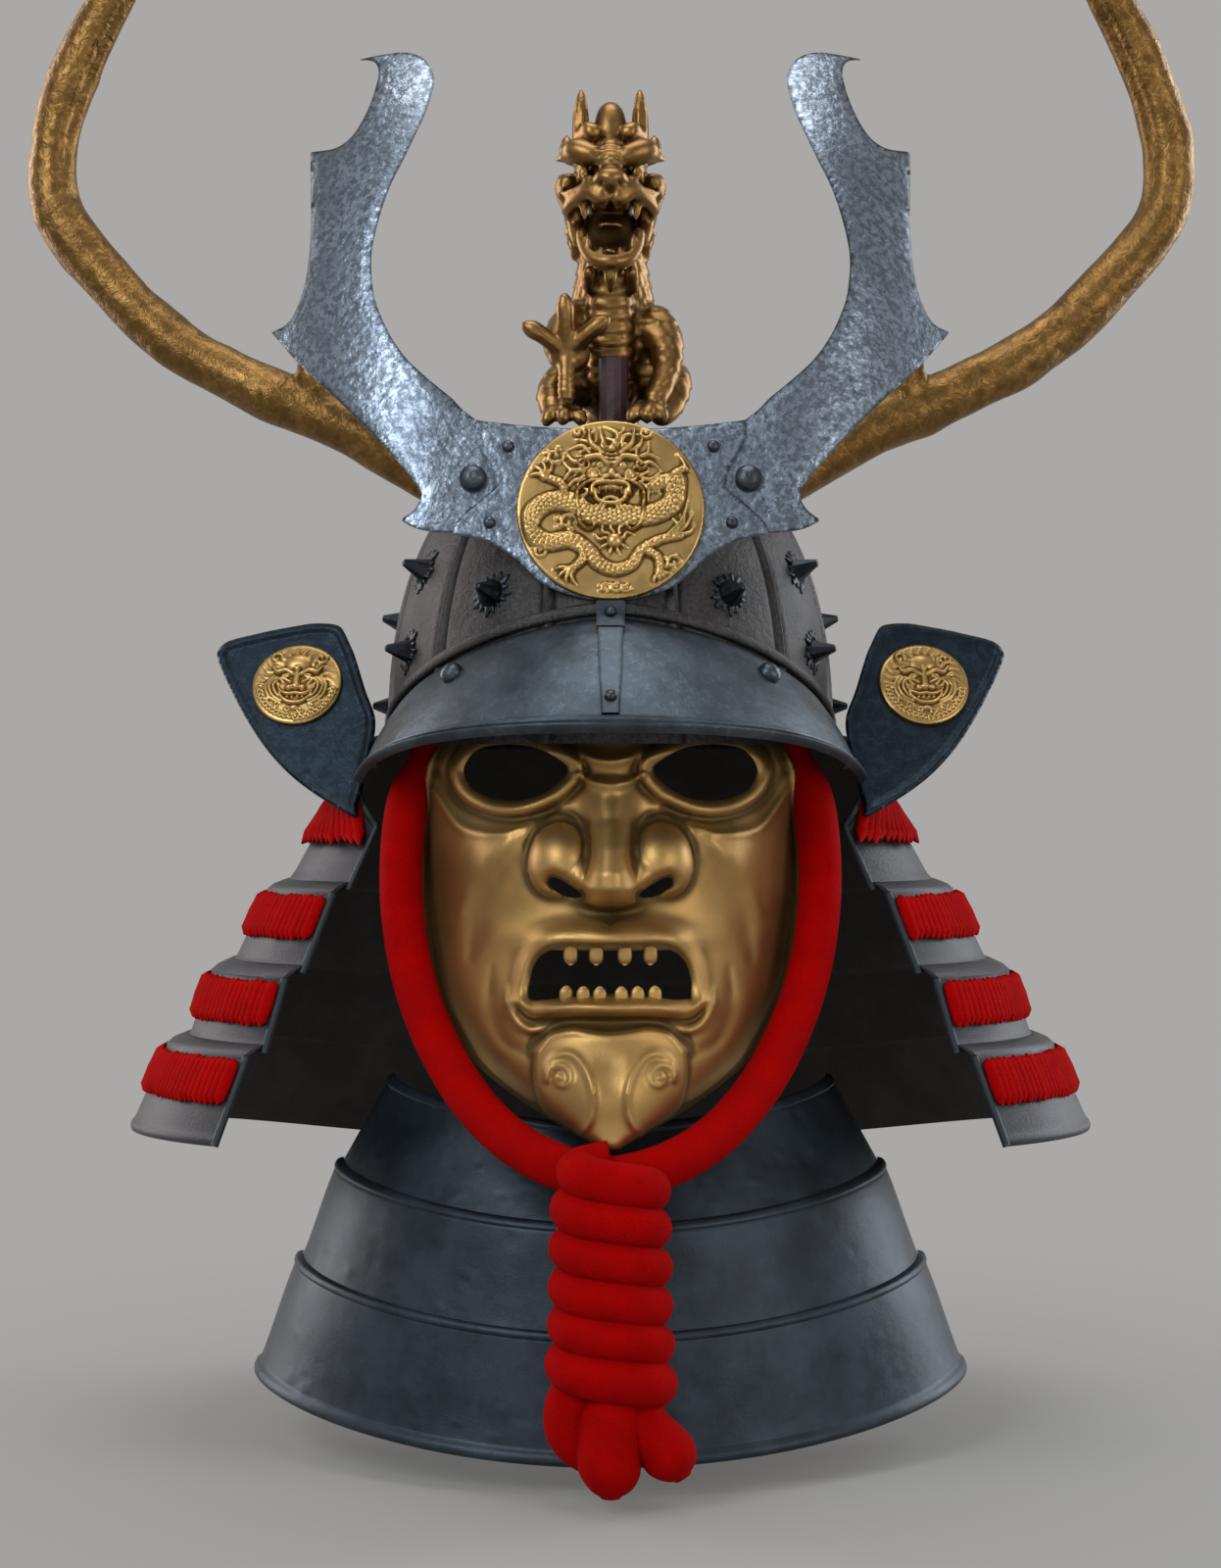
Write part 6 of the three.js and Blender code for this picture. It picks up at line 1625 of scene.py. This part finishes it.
def tooth(middle, half, root, tip):
    """One flat tooth with rounded corners."""
    rows = np.linspace(0, 1, 9)
    angle = round_angles(16)
    c, s = np.cos(angle), np.sin(angle)
    squared = np.sign(c) * np.abs(c) ** 0.5, np.sign(s) * np.abs(s) ** 0.7
    girth = np.sqrt(np.clip(1 - rows ** 5, 0.03, 1)) * np.interp(rows, (0, 0.7, 1), (0.82, 1, 0.96))
    y = float(mask_behind(np.array([middle]), root)[0]) - 1.0
    points = stack(middle + half * girth[:, None] * squared[0], y + 2.2 * girth[:, None] * squared[1],
                   mix(root, tip, rows)[:, None] + 0 * angle)
    faces = grid_quads(9, 16, True).tolist() + [list(range(16))[::-1], list(range(8 * 16, 9 * 16))]
    return points.reshape(-1, 3), faces


# Medallions

def curl(disc, x, y, size, turn, width, height):
    """A small spiral of cloud or flame."""
    t = np.linspace(0, 6.4, 20)
    reach = size * (0.2 + 0.16 * t)
    line = np.stack([x + reach * np.cos(turn * t), y + reach * np.sin(turn * t)], 1)
    disc.stroke(line, width, height, (1, 0.7), count=60)


def coiled_dragon(points):
    """A generic coiled dragon among clouds on a disc of radius one, heights in millimetres."""
    disc = Relief(points)
    radius = np.linalg.norm(points, axis=1)
    for x, y, size, turn in ((-0.6, 0.6, 0.085, 1), (-0.46, -0.15, 0.085, -1), (-0.76, -0.47, 0.06, 1),
                             (0.66, -0.6, 0.075, -1), (0.05, -0.87, 0.05, 1), (0.5, 0.22, 0.05, -1),
                             (-0.06, -0.88, 0.045, -1), (0.16, -0.88, 0.045, 1)):
        curl(disc, x, y, size, turn, 0.022, 1.3)
        for at in range(5):
            angle = 1.25 * at
            place = (x + 1.35 * size * math.cos(angle), y + size * math.sin(angle))
            disc.boss(*place, 0.5 * size, 0.42 * size, 0.9)
    body = ((0.70, 0.31), (0.66, 0.07), (0.45, -0.06), (0.14, -0.08), (-0.22, -0.06), (-0.38, 0.05),
            (-0.59, 0.09), (-0.80, -0.02), (-0.87, -0.22), (-0.69, -0.37), (-0.42, -0.35), (-0.24, -0.47),
            (-0.11, -0.62), (0.05, -0.68), (0.22, -0.62), (0.32, -0.47), (0.51, -0.35), (0.74, -0.3))
    disc.stroke(((0.4, 0.24), (0.56, 0.3), (0.7, 0.31)), 0.09, 2.4, (0.5, 1), scale=0.05)
    disc.stroke(body, 0.118, 2.9, (1, 0.4), scale=0.052, count=200)
    for x, y, turn in ((-0.7, 0.36, 1.9), (0.8, 0.46, 0.9), (-0.42, -0.68, -2.4), (0.52, -0.7, -1.2)):
        disc.boss(x, y, 0.06, 0.055, 2.4)
        for finger in (-1.0, -0.35, 0.3, 0.95):
            angle = turn + finger
            knuckle = (x + 0.1 * math.cos(angle), y + 0.1 * math.sin(angle))
            tip = (x + 0.185 * math.cos(angle + 0.25), y + 0.185 * math.sin(angle + 0.25))
            disc.stroke(((x, y), knuckle, tip), 0.026, 2.1, (1, 0.3))
    legs = (((-0.48, 0.08), (-0.52, 0.27), (-0.7, 0.36)), ((0.62, 0.2), (0.66, 0.36), (0.8, 0.46)),
            ((-0.3, -0.42), (-0.3, -0.56), (-0.42, -0.68)), ((0.36, -0.46), (0.5, -0.54), (0.52, -0.7)))
    for leg in legs:
        disc.stroke(leg, 0.055, 2.5, (1, 0.8), scale=0.045)
    middle = 0.01
    for ring, count, length in ((0.3, 19, 0.24), (0.24, 17, 0.16)):
        for at in np.linspace(-0.62, 3.76, count):
            sway = 0.16 * math.sin(7 * at)
            lock = [(middle + across * math.cos(turn), 0.43 + up * math.sin(turn)) for across, up, turn in (
                (ring * 0.8, ring * 0.9, at), (ring + length * 0.5, ring + length * 0.45, at + sway),
                (ring + length, ring + length * 0.85, at - sway))]
            disc.stroke(lock, 0.027, 1.7 + 3 * (0.3 - ring), (1, 0.25))
    disc.boss(middle, 0.42, 0.25, 0.3, 3.0)
    for side in (-1, 1):
        horn, brow = (((0.1, 0.62), (0.22, 0.74), (0.24, 0.88)), ((0.04, 0.49), (0.13, 0.575), (0.27, 0.56)))
        disc.stroke([(middle + side * x, y) for x, y in horn], 0.036, 3.4, (1, 0.4))
        curl(disc, middle + side * 0.36, 0.86, 0.06, side, 0.02, 1.8)
        disc.stroke([(middle + side * x, y) for x, y in brow], 0.045, 4.2)
        for x, y, wide, tall, high in ((0.125, 0.475, 0.052, 0.042, 4.2), (0.125, 0.475, 0.018, 0.018, -1.0),
                                       (0.065, 0.345, 0.056, 0.045, 4.5), (0.19, 0.37, 0.085, 0.09, 3.6)):
            disc.boss(middle + side * x, y, wide, tall, high, add=high < 0)
        curl(disc, middle + side * 0.2, 0.37, 0.07, side, 0.018, 4.2)
        curl(disc, middle + side * 0.31, 0.5, 0.055, side, 0.018, 3.2)
        whisker = ((0.24, 0.29), (0.345, 0.2), (0.35, 0.02), (0.32, -0.16), (0.23, -0.23), (0.17, -0.18),
                   (0.2, -0.14))
        disc.stroke([(middle + side * 0.09, 0.32)] + [(side * x, y) for x, y in whisker], 0.02, 3.9, (1, 0.6),
                    count=70)
        lip = ((0.1, 0.285), (0.19, 0.25), (0.2, 0.17))
        disc.stroke([(middle + side * 0.02, 0.29)] + [(side * x, y) for x, y in lip], 0.03, 4.3)
        disc.stroke(((side * 0.17, 0.2), (side * 0.14, 0.1), (side * 0.07, 0.055), (0, 0.05)), 0.034, 4.0)
        for at in range(4):
            beard = ((0.05 + 0.05 * at, 0.05 - 0.01 * at), (0.09 + 0.055 * at, -0.03),
                     (0.05 + 0.06 * at, -0.1 + 0.02 * at))
            disc.stroke([(side * x, y) for x, y in beard], 0.024, 3.4, (1, 0.3))
        disc.stroke(((side * 0.05, 0.235), (side * 0.05, 0.2)), 0.016, 3.9, count=2)
        disc.stroke(((side * 0.12, 0.225), (side * 0.12, 0.17)), 0.018, 4.0, count=2)
    disc.boss(0.01, 0.385, 0.062, 0.07, 5.0)
    for high in (0.5, 0.545, 0.59):
        disc.stroke(((-0.04, high + 0.01), (0.01, high), (0.06, high + 0.01)), 0.02, 4.3)
    disc.boss(0.01, 0.665, 0.06, 0.05, 4.2)
    disc.boss(0.0, 0.15, 0.14, 0.07, -2.2, add=True)
    disc.stroke(((-0.07, 0.1), (0, 0.12), (0.07, 0.1)), 0.03, 3.2)
    disc.boss(0.04, -0.36, 0.09, 0.09, 3.8)
    for at in np.linspace(0.35, 2.8, 5):
        flame = [(0.04 + reach * math.cos(at + turn), -0.36 + reach * math.sin(at + turn))
                 for reach, turn in ((0.1, 0), (0.16, 0.25), (0.23, -0.05))]
        disc.stroke(flame, 0.021, 1.8, (1, 0.3))
    for at in np.linspace(3.6, 5.8, 4):
        ray = [(0.04 + reach * math.cos(at), -0.36 + reach * math.sin(at)) for reach in (0.1, 0.17)]
        disc.stroke(ray, 0.02, 1.5, (1, 0.4), count=2)
    tufts = ((0.84, 0.14), (0.88, -0.02), (0.8, 0.02), (0.74, -0.06), (0.9, -0.16), (0.66, -0.1))
    for at, (x, y) in enumerate(tufts):
        root = (0.56 + 0.03 * at, -0.33 + 0.01 * at)
        bend = ((root[0] + x) / 2 + 0.05, (root[1] + y) / 2 - 0.04)
        disc.stroke((root, bend, (x, y)), 0.026, 1.7, (1, 0.2))
    return disc.height * (1 - smooth(radius, 0.93, 0.97))


def beast_face(points):
    """A grinning beast's face among curls on a disc of radius one, heights in millimetres."""
    disc = Relief(points)
    radius = np.linalg.norm(points, axis=1)
    disc.boss(0, 0.05, 0.75, 0.8, 1.4, soft=True)
    for row, (ring, count, size) in enumerate(((0.84, 22, 0.07), (0.68, 17, 0.075))):
        for at in np.linspace(3.3, 6.12, count // (row + 1)):
            turn = 1 if math.cos(at) > 0 else -1
            curl(disc, ring * math.cos(at), ring * math.sin(at), size, turn, 0.024, 1.6)
    for at in np.linspace(-0.1, 3.24, 15):
        root = (0.52 * math.cos(at), 0.1 + 0.5 * math.sin(at))
        bend = (0.68 * math.cos(at + 0.1), 0.1 + 0.64 * math.sin(at + 0.1))
        tip = (0.88 * math.cos(at - 0.03), 0.08 + 0.82 * math.sin(at - 0.03))
        disc.stroke((root, bend, tip), 0.06, 1.5, (1, 0.25))
    disc.boss(0, 0.5, 0.32, 0.24, 3.6)
    disc.boss(0, 0.34, 0.11, 0.11, 4.4)
    disc.stroke(((0, 0.24), (0, 0.1), (0, -0.06)), 0.1, 3.4, (0.8, 1))
    disc.boss(0, -0.1, 0.13, 0.1, 4.4)
    for side in (-1, 1):
        def flipped(*knots):
            return [(side * x, y) for x, y in knots]

        disc.stroke(flipped((0.1, 0.22), (0.26, 0.31), (0.46, 0.28), (0.56, 0.42)), 0.08, 3.7, (0.9, 0.4))
        disc.boss(side * 0.25, 0.16, 0.12, 0.075, 3.6)
        disc.boss(side * 0.25, 0.16, 0.045, 0.035, -1.0, add=True)
        disc.boss(side * 0.15, -0.13, 0.1, 0.085, 3.9)
        for shift, high in ((0.0, 3.2), (0.13, 2.7), (0.25, 2.2)):
            cheek = flipped((0.14 + shift, 0.02 - 0.3 * shift), (0.36 + shift * 0.6, 0.1 + 0.2 * shift),
                            (0.5 + shift * 0.7, -0.06), (0.42 + shift * 0.7, -0.28 - 0.2 * shift),
                            (0.3, -0.38 - 0.55 * shift))
            disc.stroke(cheek, 0.05, high, (0.8, 0.6), count=60)
        disc.stroke(flipped((0, -0.27), (0.16, -0.29), (0.32, -0.22), (0.4, -0.12)), 0.045, 3.8, (1, 0.5))
        disc.stroke(flipped((0, -0.5), (0.16, -0.47), (0.3, -0.36), (0.38, -0.2)), 0.05, 3.2, (1, 0.5))
        for at in (0.06, 0.17):
            disc.boss(side * at, -0.36, 0.045, 0.04, 2.9)
        curl(disc, side * 0.5, 0.62, 0.12, side, 0.035, 2.2)
    disc.boss(0, -0.62, 0.12, 0.07, 2.6)
    return disc.height * (1 - smooth(radius, 0.92, 0.98))


def disc_piece(name, node, centre, across, up, outward, radius, thickness, relief, high, step, count):
    """A cast disc with a raised picture and a rounded rim."""
    angle = round_angles(220)
    sheet = Sheet(np.stack([radius * np.cos(angle), radius * np.sin(angle)], 1), step)
    flat = sheet.points / radius
    picture = sheet.softened(relief(flat), 1)
    border = 0.7 * np.exp(-np.maximum(sheet.depth, 0) / 0.45)
    height = thickness * 0.55 + picture * high - border
    # how deep each place lies, which the gilt finish paints dark as shade
    hollow = sheet.hollows(height, count)
    base = centre + sheet.points[:, :1] * across + sheet.points[:, 1:] * up
    sheet.piece(name, base + height[:, None] * outward, base, "gilt_brass",
                [node], 70, hollow=hollow)


def build_medallions():
    """The coiled dragon on the crest and the beasts on the turned-back plates."""
    lean = math.radians(CREST_LEAN)
    up = np.array([0, math.sin(lean), math.cos(lean)])
    outward = np.array([0, -math.cos(lean), math.sin(lean)])
    z = CREST_FOOT_Z + MEDALLION_HEIGHT
    centre = np.array([0, float(crest_y(0, z)), z]) + CLEARANCE * outward
    disc_piece("crest_medallion_dragon", "crest_medallion", centre, np.array([1.0, 0, 0]), up, outward,
               MEDALLION_DIAMETER / 2, MEDALLION_THICKNESS, coiled_dragon, 0.9, 0.5, 12)
    for name, sign in SIDES:
        middle = plate_point(sign, 0.49, 0.67, 0)
        across = unit(plate_point(sign, 0.49 + sign * 0.01, 0.67, 0) - middle)
        rise = unit(plate_point(sign, 0.49, 0.68, 0) - middle)
        face = unit(np.cross(across, rise))
        rise = np.cross(face, across)
        disc_piece(f"beast_medallion_{name}", f"turnback_medallion_{name}", middle + CLEARANCE * face, across,
                   rise, face, BEAST_DIAMETER / 2, BEAST_THICKNESS, beast_face, 0.75, 0.375, 12)


# Crown dragon

def mirrored(knots):
    return [[(sign * x, *rest) for x, *rest in knots] for sign in (-1, 1)]


def dragon_parts():
    """The dragon's body, limbs and head as overlapping shapes; knots are x, y, z and radius."""
    parts = [
        limb([(1, 26, 14, 20), (0, 20, 34, 24), (1, 14, 60, 23), (1, 8, 84, 19), (0, 4, 100, 16),
              (0, 2, 120, 17)], 40, 36),
        limb([(0, 60, 14, 10), (0, 44, 12, 14), (0, 26, 18, 18)], 16, 24),
        ball((0, -4, 133), (19, 20, 20), 14, 24),
        limb([(0, -4, 146, 12), (0, -6, 158, 8.6), (0, -4, 166, 6.8), (0, -2, 171, 4)], 18, 20),
        limb([(0, -20, 146, 6), (0, -28, 137, 6.5), (0, -34, 129, 7)], 16, 20),
        ball((0, -37, 125.5), (8.6, 7.5, 6.4), 12, 18),
        ball((0, -26, 121), (14, 11, 6), 10, 20),
        limb([(-14.5, -20, 104, 3.4), (-13, -25, 94, 3.6), (-8, -30, 87, 4), (0, -33, 85, 4.4),
              (8, -30, 87, 4), (13, -25, 94, 3.6), (14.5, -20, 104, 3.4)], 40, 18),
        limb([(0, 0, 92, 12), (0, -12, 88, 9), (0, -24, 86, 6)], 14, 20),
        limb([(0, -10, 92, 5.5), (0, -20, 91, 5.4), (0, -28, 91.5, 4)], 14, 16, 0.6),
        limb([(0, -33, 81, 4), (0, -30, 76, 3.2), (0, -27, 70, 1)], 12, 12),
    ]
    parts += [ball((sign * 18.5, -7, 113), (5.4, 8.5, 9), 10, 14) for sign in (-1, 1)]
    for at in range(4):
        parts.append(limb([(-7, -8 - 4 * at, 108 - at, 1.4), (0, -9 - 4 * at, 109 - at, 1.8),
                           (7, -8 - 4 * at, 108 - at, 1.4)], 10, 8))
    pairs = [
        (((15.2, -8, 146, 4.3), (15.2, -8, 155, 4.1), (15, -7, 164, 3.9), (14.9, -6, 171, 3.0),
          (14.9, -5, 177.5, 1.2)), 24, 16),
        (((3, -29, 137, 4), (9, -29, 139, 5.4), (17.6, -24, 142, 6.6), (23, -18, 140.5, 3.4),
          (28, -14, 139, 0.9)), 26, 18),
        (((6, -20, 150, 4.4), (11, -16, 154, 4.6), (17, -10, 150, 3)), 14, 12),
        (((8, -36, 123.5, 4.4), (10.5, -31, 125, 4), (9, -27, 128, 3)), 12, 14),
        (((0, -37, 117.5, 3.4), (5, -37, 116, 3.6), (10.5, -34, 119.5, 3.8), (16, -28, 118, 3.8),
          (21, -20, 115, 3.4), (22.5, -12, 112, 2.4)), 30, 14),
        (((3, -40, 118, 1.6), (9, -37, 121.5, 1.8), (16, -31, 122, 1.7), (23, -22, 121, 1.6),
          (25, -14, 125, 1.4)), 26, 10),
        (((19, -14, 132, 4), (22.5, -10, 127, 5.2), (21.5, -8, 119, 5)), 16, 16),
        (((23.5, -6, 134, 2.6), (25.5, -3, 128, 3.2), (23.5, -2, 120, 3), (20, -3, 114, 3.4)), 18, 12),
        (((18, -4, 140, 5), (22.5, 0, 148, 4), (22.5, 2, 155, 1.5)), 14, 12),
        (((18.5, -8, 110, 4), (17.5, -13, 103, 4), (15, -17, 96, 3.6)), 14, 14),
        (((19, -2, 108, 4.4), (20, 2, 103, 3), (21, 5, 99, 1)), 12, 12),
        (((17, 0, 102, 4.2), (18, 4, 96, 3), (19, 7, 92, 1)), 12, 12),
        (((13.5, -28, 116, 2.5), (13.2, -29, 111, 2.1), (12.4, -29, 105.5, 0.7)), 12, 10),
        (((3.4, -35, 115, 1.9), (3.4, -35.5, 112, 1.6), (3.4, -35, 110, 0.8)), 8, 8),
        (((8, -33, 115.5, 1.9), (8, -33, 112, 1.5), (8, -33, 110, 0.7)), 8, 8),
        (((11, -28, 91, 2.2), (11.4, -28.5, 97, 1.7), (11.2, -28, 101, 0.6)), 10, 10),
        (((4.5, -32, 89, 1.7), (4.6, -32.5, 92, 1.3), (4.6, -32, 94, 0.6)), 8, 8),
        (((10, -24, 84, 3.6), (11, -18, 78, 3.6), (10, -12, 72, 3)), 12, 12),
    ]
    for knots, count, sides in pairs:
        parts += [limb(side, count, sides) for side in mirrored(knots)]
    parts += [ball((sign * 13.2, -24, 130), (3.9, 3.7, 3.6), 10, 14) for sign in (-1, 1)]
    for at in range(9):
        share = at / 8
        z = mix(30, 80, share)
        y = mix(-7, -13, share)
        wide = mix(11, 10, share)
        parts.append(limb([(-wide, y + 7, z + 2, 2.4), (-wide * 0.7, y + 0.5, z, 3.6),
                           (0, y - 1.2, z - 1, 4.1), (wide * 0.7, y + 0.5, z, 3.6),
                           (wide, y + 7, z + 2, 2.4)], 20, 12))
    parts += [
        limb([(-12, 8, 64, 12), (-22, -2, 56, 10), (-26, -14, 46, 8.4), (-22, -21, 38, 8)], 24, 22),
        ball((-21, -22, 40), (11, 8, 10), 12, 18),
        limb([(14, 8, 64, 12), (25, 2, 54, 11), (29, -6, 40, 8), (26, -13, 26, 6.4), (20, -18, 14, 6)],
             28, 22),
        limb([(10, 20, 30, 18), (22, 14, 34, 15), (31, 8, 30, 11), (30, -2, 16, 7), (22, -10, 9, 6.4)],
             26, 24),
        limb([(-8, 20, 28, 18), (-20, 12, 30, 14), (-29, 2, 22, 9), (-26, -8, 10, 6.8)], 24, 24),
    ]
    raised = ((-45, -30, 55), (-23, -34, 70), (0, -33, 58), (-22, -30, 12))
    toes = [((-22, -24, 40), end, 5.2) for end in raised]
    toes += [((20, -16, 11), end, 4.6) for end in ((9, -32, 5), (18, -36, 5), (27, -32, 5))]
    toes += [((-23, -12, 10), end, 4.4) for end in ((-34, -26, 4.5), (-24, -31, 4.5), (-13, -28, 4.5))]
    for root, end, thick in toes:
        root, end = np.array(root), np.array(end)
        lift = 4 if end[2] < 11 else 1
        knots = [(*(root + (end - root) * shares + shift), thick * girth) for shares, shift, girth in (
            (0, (0, 0, 0), 1), ((0.5, 0.55, 0.5), (0, -1, lift), 0.86),
            ((0.76, 0.8, 0.76), (0, 0, lift * 0.6), 0.9), ((0.92, 0.95, 0.92), (0, 0, 0), 0.55))]
        parts.append(limb([*knots, (*end, 0.9)], 24, 14))
    for at in range(9):
        z = 146 - 14 * at
        y = np.interp(z, (20, 60, 86, 110, 150), (48, 38, 28, 20, 12))
        parts.append(limb([(0, y - 8, z, 4.5), (0, y, z + 4, 3.2), (0, y + 9, z + 9, 0.8)], 12, 10))
    return parts


def build_dragon(sizes):
    """The cast dragon on the crown, scaled on its back and sides."""
    mesh, places, normals = remeshed("dragon", dragon_parts(), 1.3, 3)
    x, y, z = places.T
    size = sizes.scale_length / MM
    angle = np.arctan2(x, y - np.interp(z, (10, 60, 106, 130), (18, 10, -2, -10)))
    scale = scales(z / size, angle * 20 / size)
    paw = (x < -6) & (y < -10) & (z < 74)
    scaled = (y > np.interp(z, (10, 60, 90, 110, 125), (-2, -4, -8, -4, 4))) & (z < 128)
    scaled = (scaled | ((np.abs(x) > 12.5) & (z > 20) & (z < 84))) & ~paw
    side = np.abs(x)
    wrinkles = 0.4 * np.sin(z * 2.1 + 0.5 * side) * (z > 130) * (z < 150) * (side < 8) * (y < -20)
    flutes = 0.45 * np.cos(7 * np.arctan2(y + 7, side - 15.1)) * (z > 148) * (z < 166) * (side > 9.5)
    rings = 0.3 * np.sin(z * 1.9) * (z > 8) * (z < 30) * (y < -18) * (x < -10) * (x > -34)
    carved = np.where(scaled, 0.65 * np.clip(scale, -0.8, 1), 0) + wrinkles + flutes + rings
    carved -= 1.3 * bump(np.hypot(side - 13.2, z - 129.6), 0, 1.3) * (y < -25)
    carved -= 1.6 * bump(np.hypot(side - 5.2, z - 122.5), 0, 1.7) * (y < -37)
    places = places + normals * carved[:, None]
    moved(mesh, places)
    # how deep each point lies, which the bronze finish paints dark as shade
    hollow = edge_hollows(mesh, places, normals, 14)
    # painted shadow under the jaw: the throat is darkened as if it were a deep hollow
    throat = (side < 13) & (z > 90) & (z < 113) & (y > np.interp(side, (0, 13), (-27, -20)))
    hollow += np.where(throat, 0.75, 0)
    mesh.attributes.new("hollow", "FLOAT", "POINT").data.foreach_set("value", hollow.astype(np.float32))
    mesh.shade_smooth()
    finished("crown_dragon", mesh, "dragon_bronze", "dragon")


# Operators

def operator(identifier, label, text, work, group=None):
    """An operator that runs one builder, with the sizes or the colours where it needs them."""
    def execute(self, context):
        if group:
            work(getattr(context.scene, group))
        else:
            work()
        return {"FINISHED"}
    name = "HELMET_OT_" + identifier
    return type(name, (bpy.types.Operator,), {
        "__doc__": text, "bl_idname": "helmet." + identifier, "bl_label": label, "execute": execute})


SIZES, COLOURS = "helmet_sizes", "helmet_colours"
OPERATORS = [
    operator("stage", "Stage", "Builds the camera, the floor and the lights", build_stage, COLOURS),
    operator("cord", "Chin Cord", "Builds the chin cord and its knot", build_cord),
    operator("bowl", "Bowl", "Builds the ribbed bowl", build_bowl, SIZES),
    operator("spikes", "Spikes", "Builds the spikes on their rosettes", build_spikes, SIZES),
    operator("visor", "Visor", "Builds the visor, its band and its strap", build_visor),
    operator("crest", "Crest", "Builds the centre plate and the horns", build_crest),
    operator("rivets", "Rivets", "Builds the dome rivets", build_rivets),
    operator("medallions", "Medallions", "Builds the three cast discs", build_medallions),
    operator("dragon", "Crown Dragon", "Builds the dragon on the crown", build_dragon, SIZES),
    operator("antlers", "Antlers", "Builds the antlers", build_antlers),
    operator("plates", "Turned-back Plates", "Builds the plates beside the visor", build_plates),
    operator("lames", "Neck Guard", "Builds the neck guard's lames", build_lames),
    operator("lacing", "Lacing", "Builds the red lacing", build_lacing, SIZES),
    operator("mask", "Mask", "Builds the mask and its teeth", build_mask),
    operator("throat", "Throat Guard", "Builds the throat guard's lames", build_throat, SIZES),
]


class HELMET_PT_pieces(bpy.types.Panel):
    """Lists the helmet's sizes, colours and pieces."""

    bl_label = "Helmet"
    bl_idname = "HELMET_PT_pieces"
    bl_space_type = "VIEW_3D"
    bl_region_type = "UI"
    bl_category = "Helmet"

    def draw(self, context):
        for group in (context.scene.helmet_sizes, context.scene.helmet_colours):
            for name in group.__annotations__:
                self.layout.prop(group, name)
        for made in OPERATORS:
            self.layout.operator(made.bl_idname)


CLASSES = [HelmetSizes, HelmetColours, *OPERATORS, HELMET_PT_pieces]


def register():
    for made in CLASSES:
        bpy.utils.register_class(made)
    bpy.types.Scene.helmet_sizes = PointerProperty(type=HelmetSizes)
    bpy.types.Scene.helmet_colours = PointerProperty(type=HelmetColours)


def unregister():
    del bpy.types.Scene.helmet_colours
    del bpy.types.Scene.helmet_sizes
    for made in reversed(CLASSES):
        bpy.utils.unregister_class(made)


def main():
    """Builds every piece and notes the bounds of the solids and of the finished helmet."""
    register()
    for made in OPERATORS:
        getattr(bpy.ops.helmet, made.bl_idname.split(".")[1])()


if __name__ == "__main__":
    main()
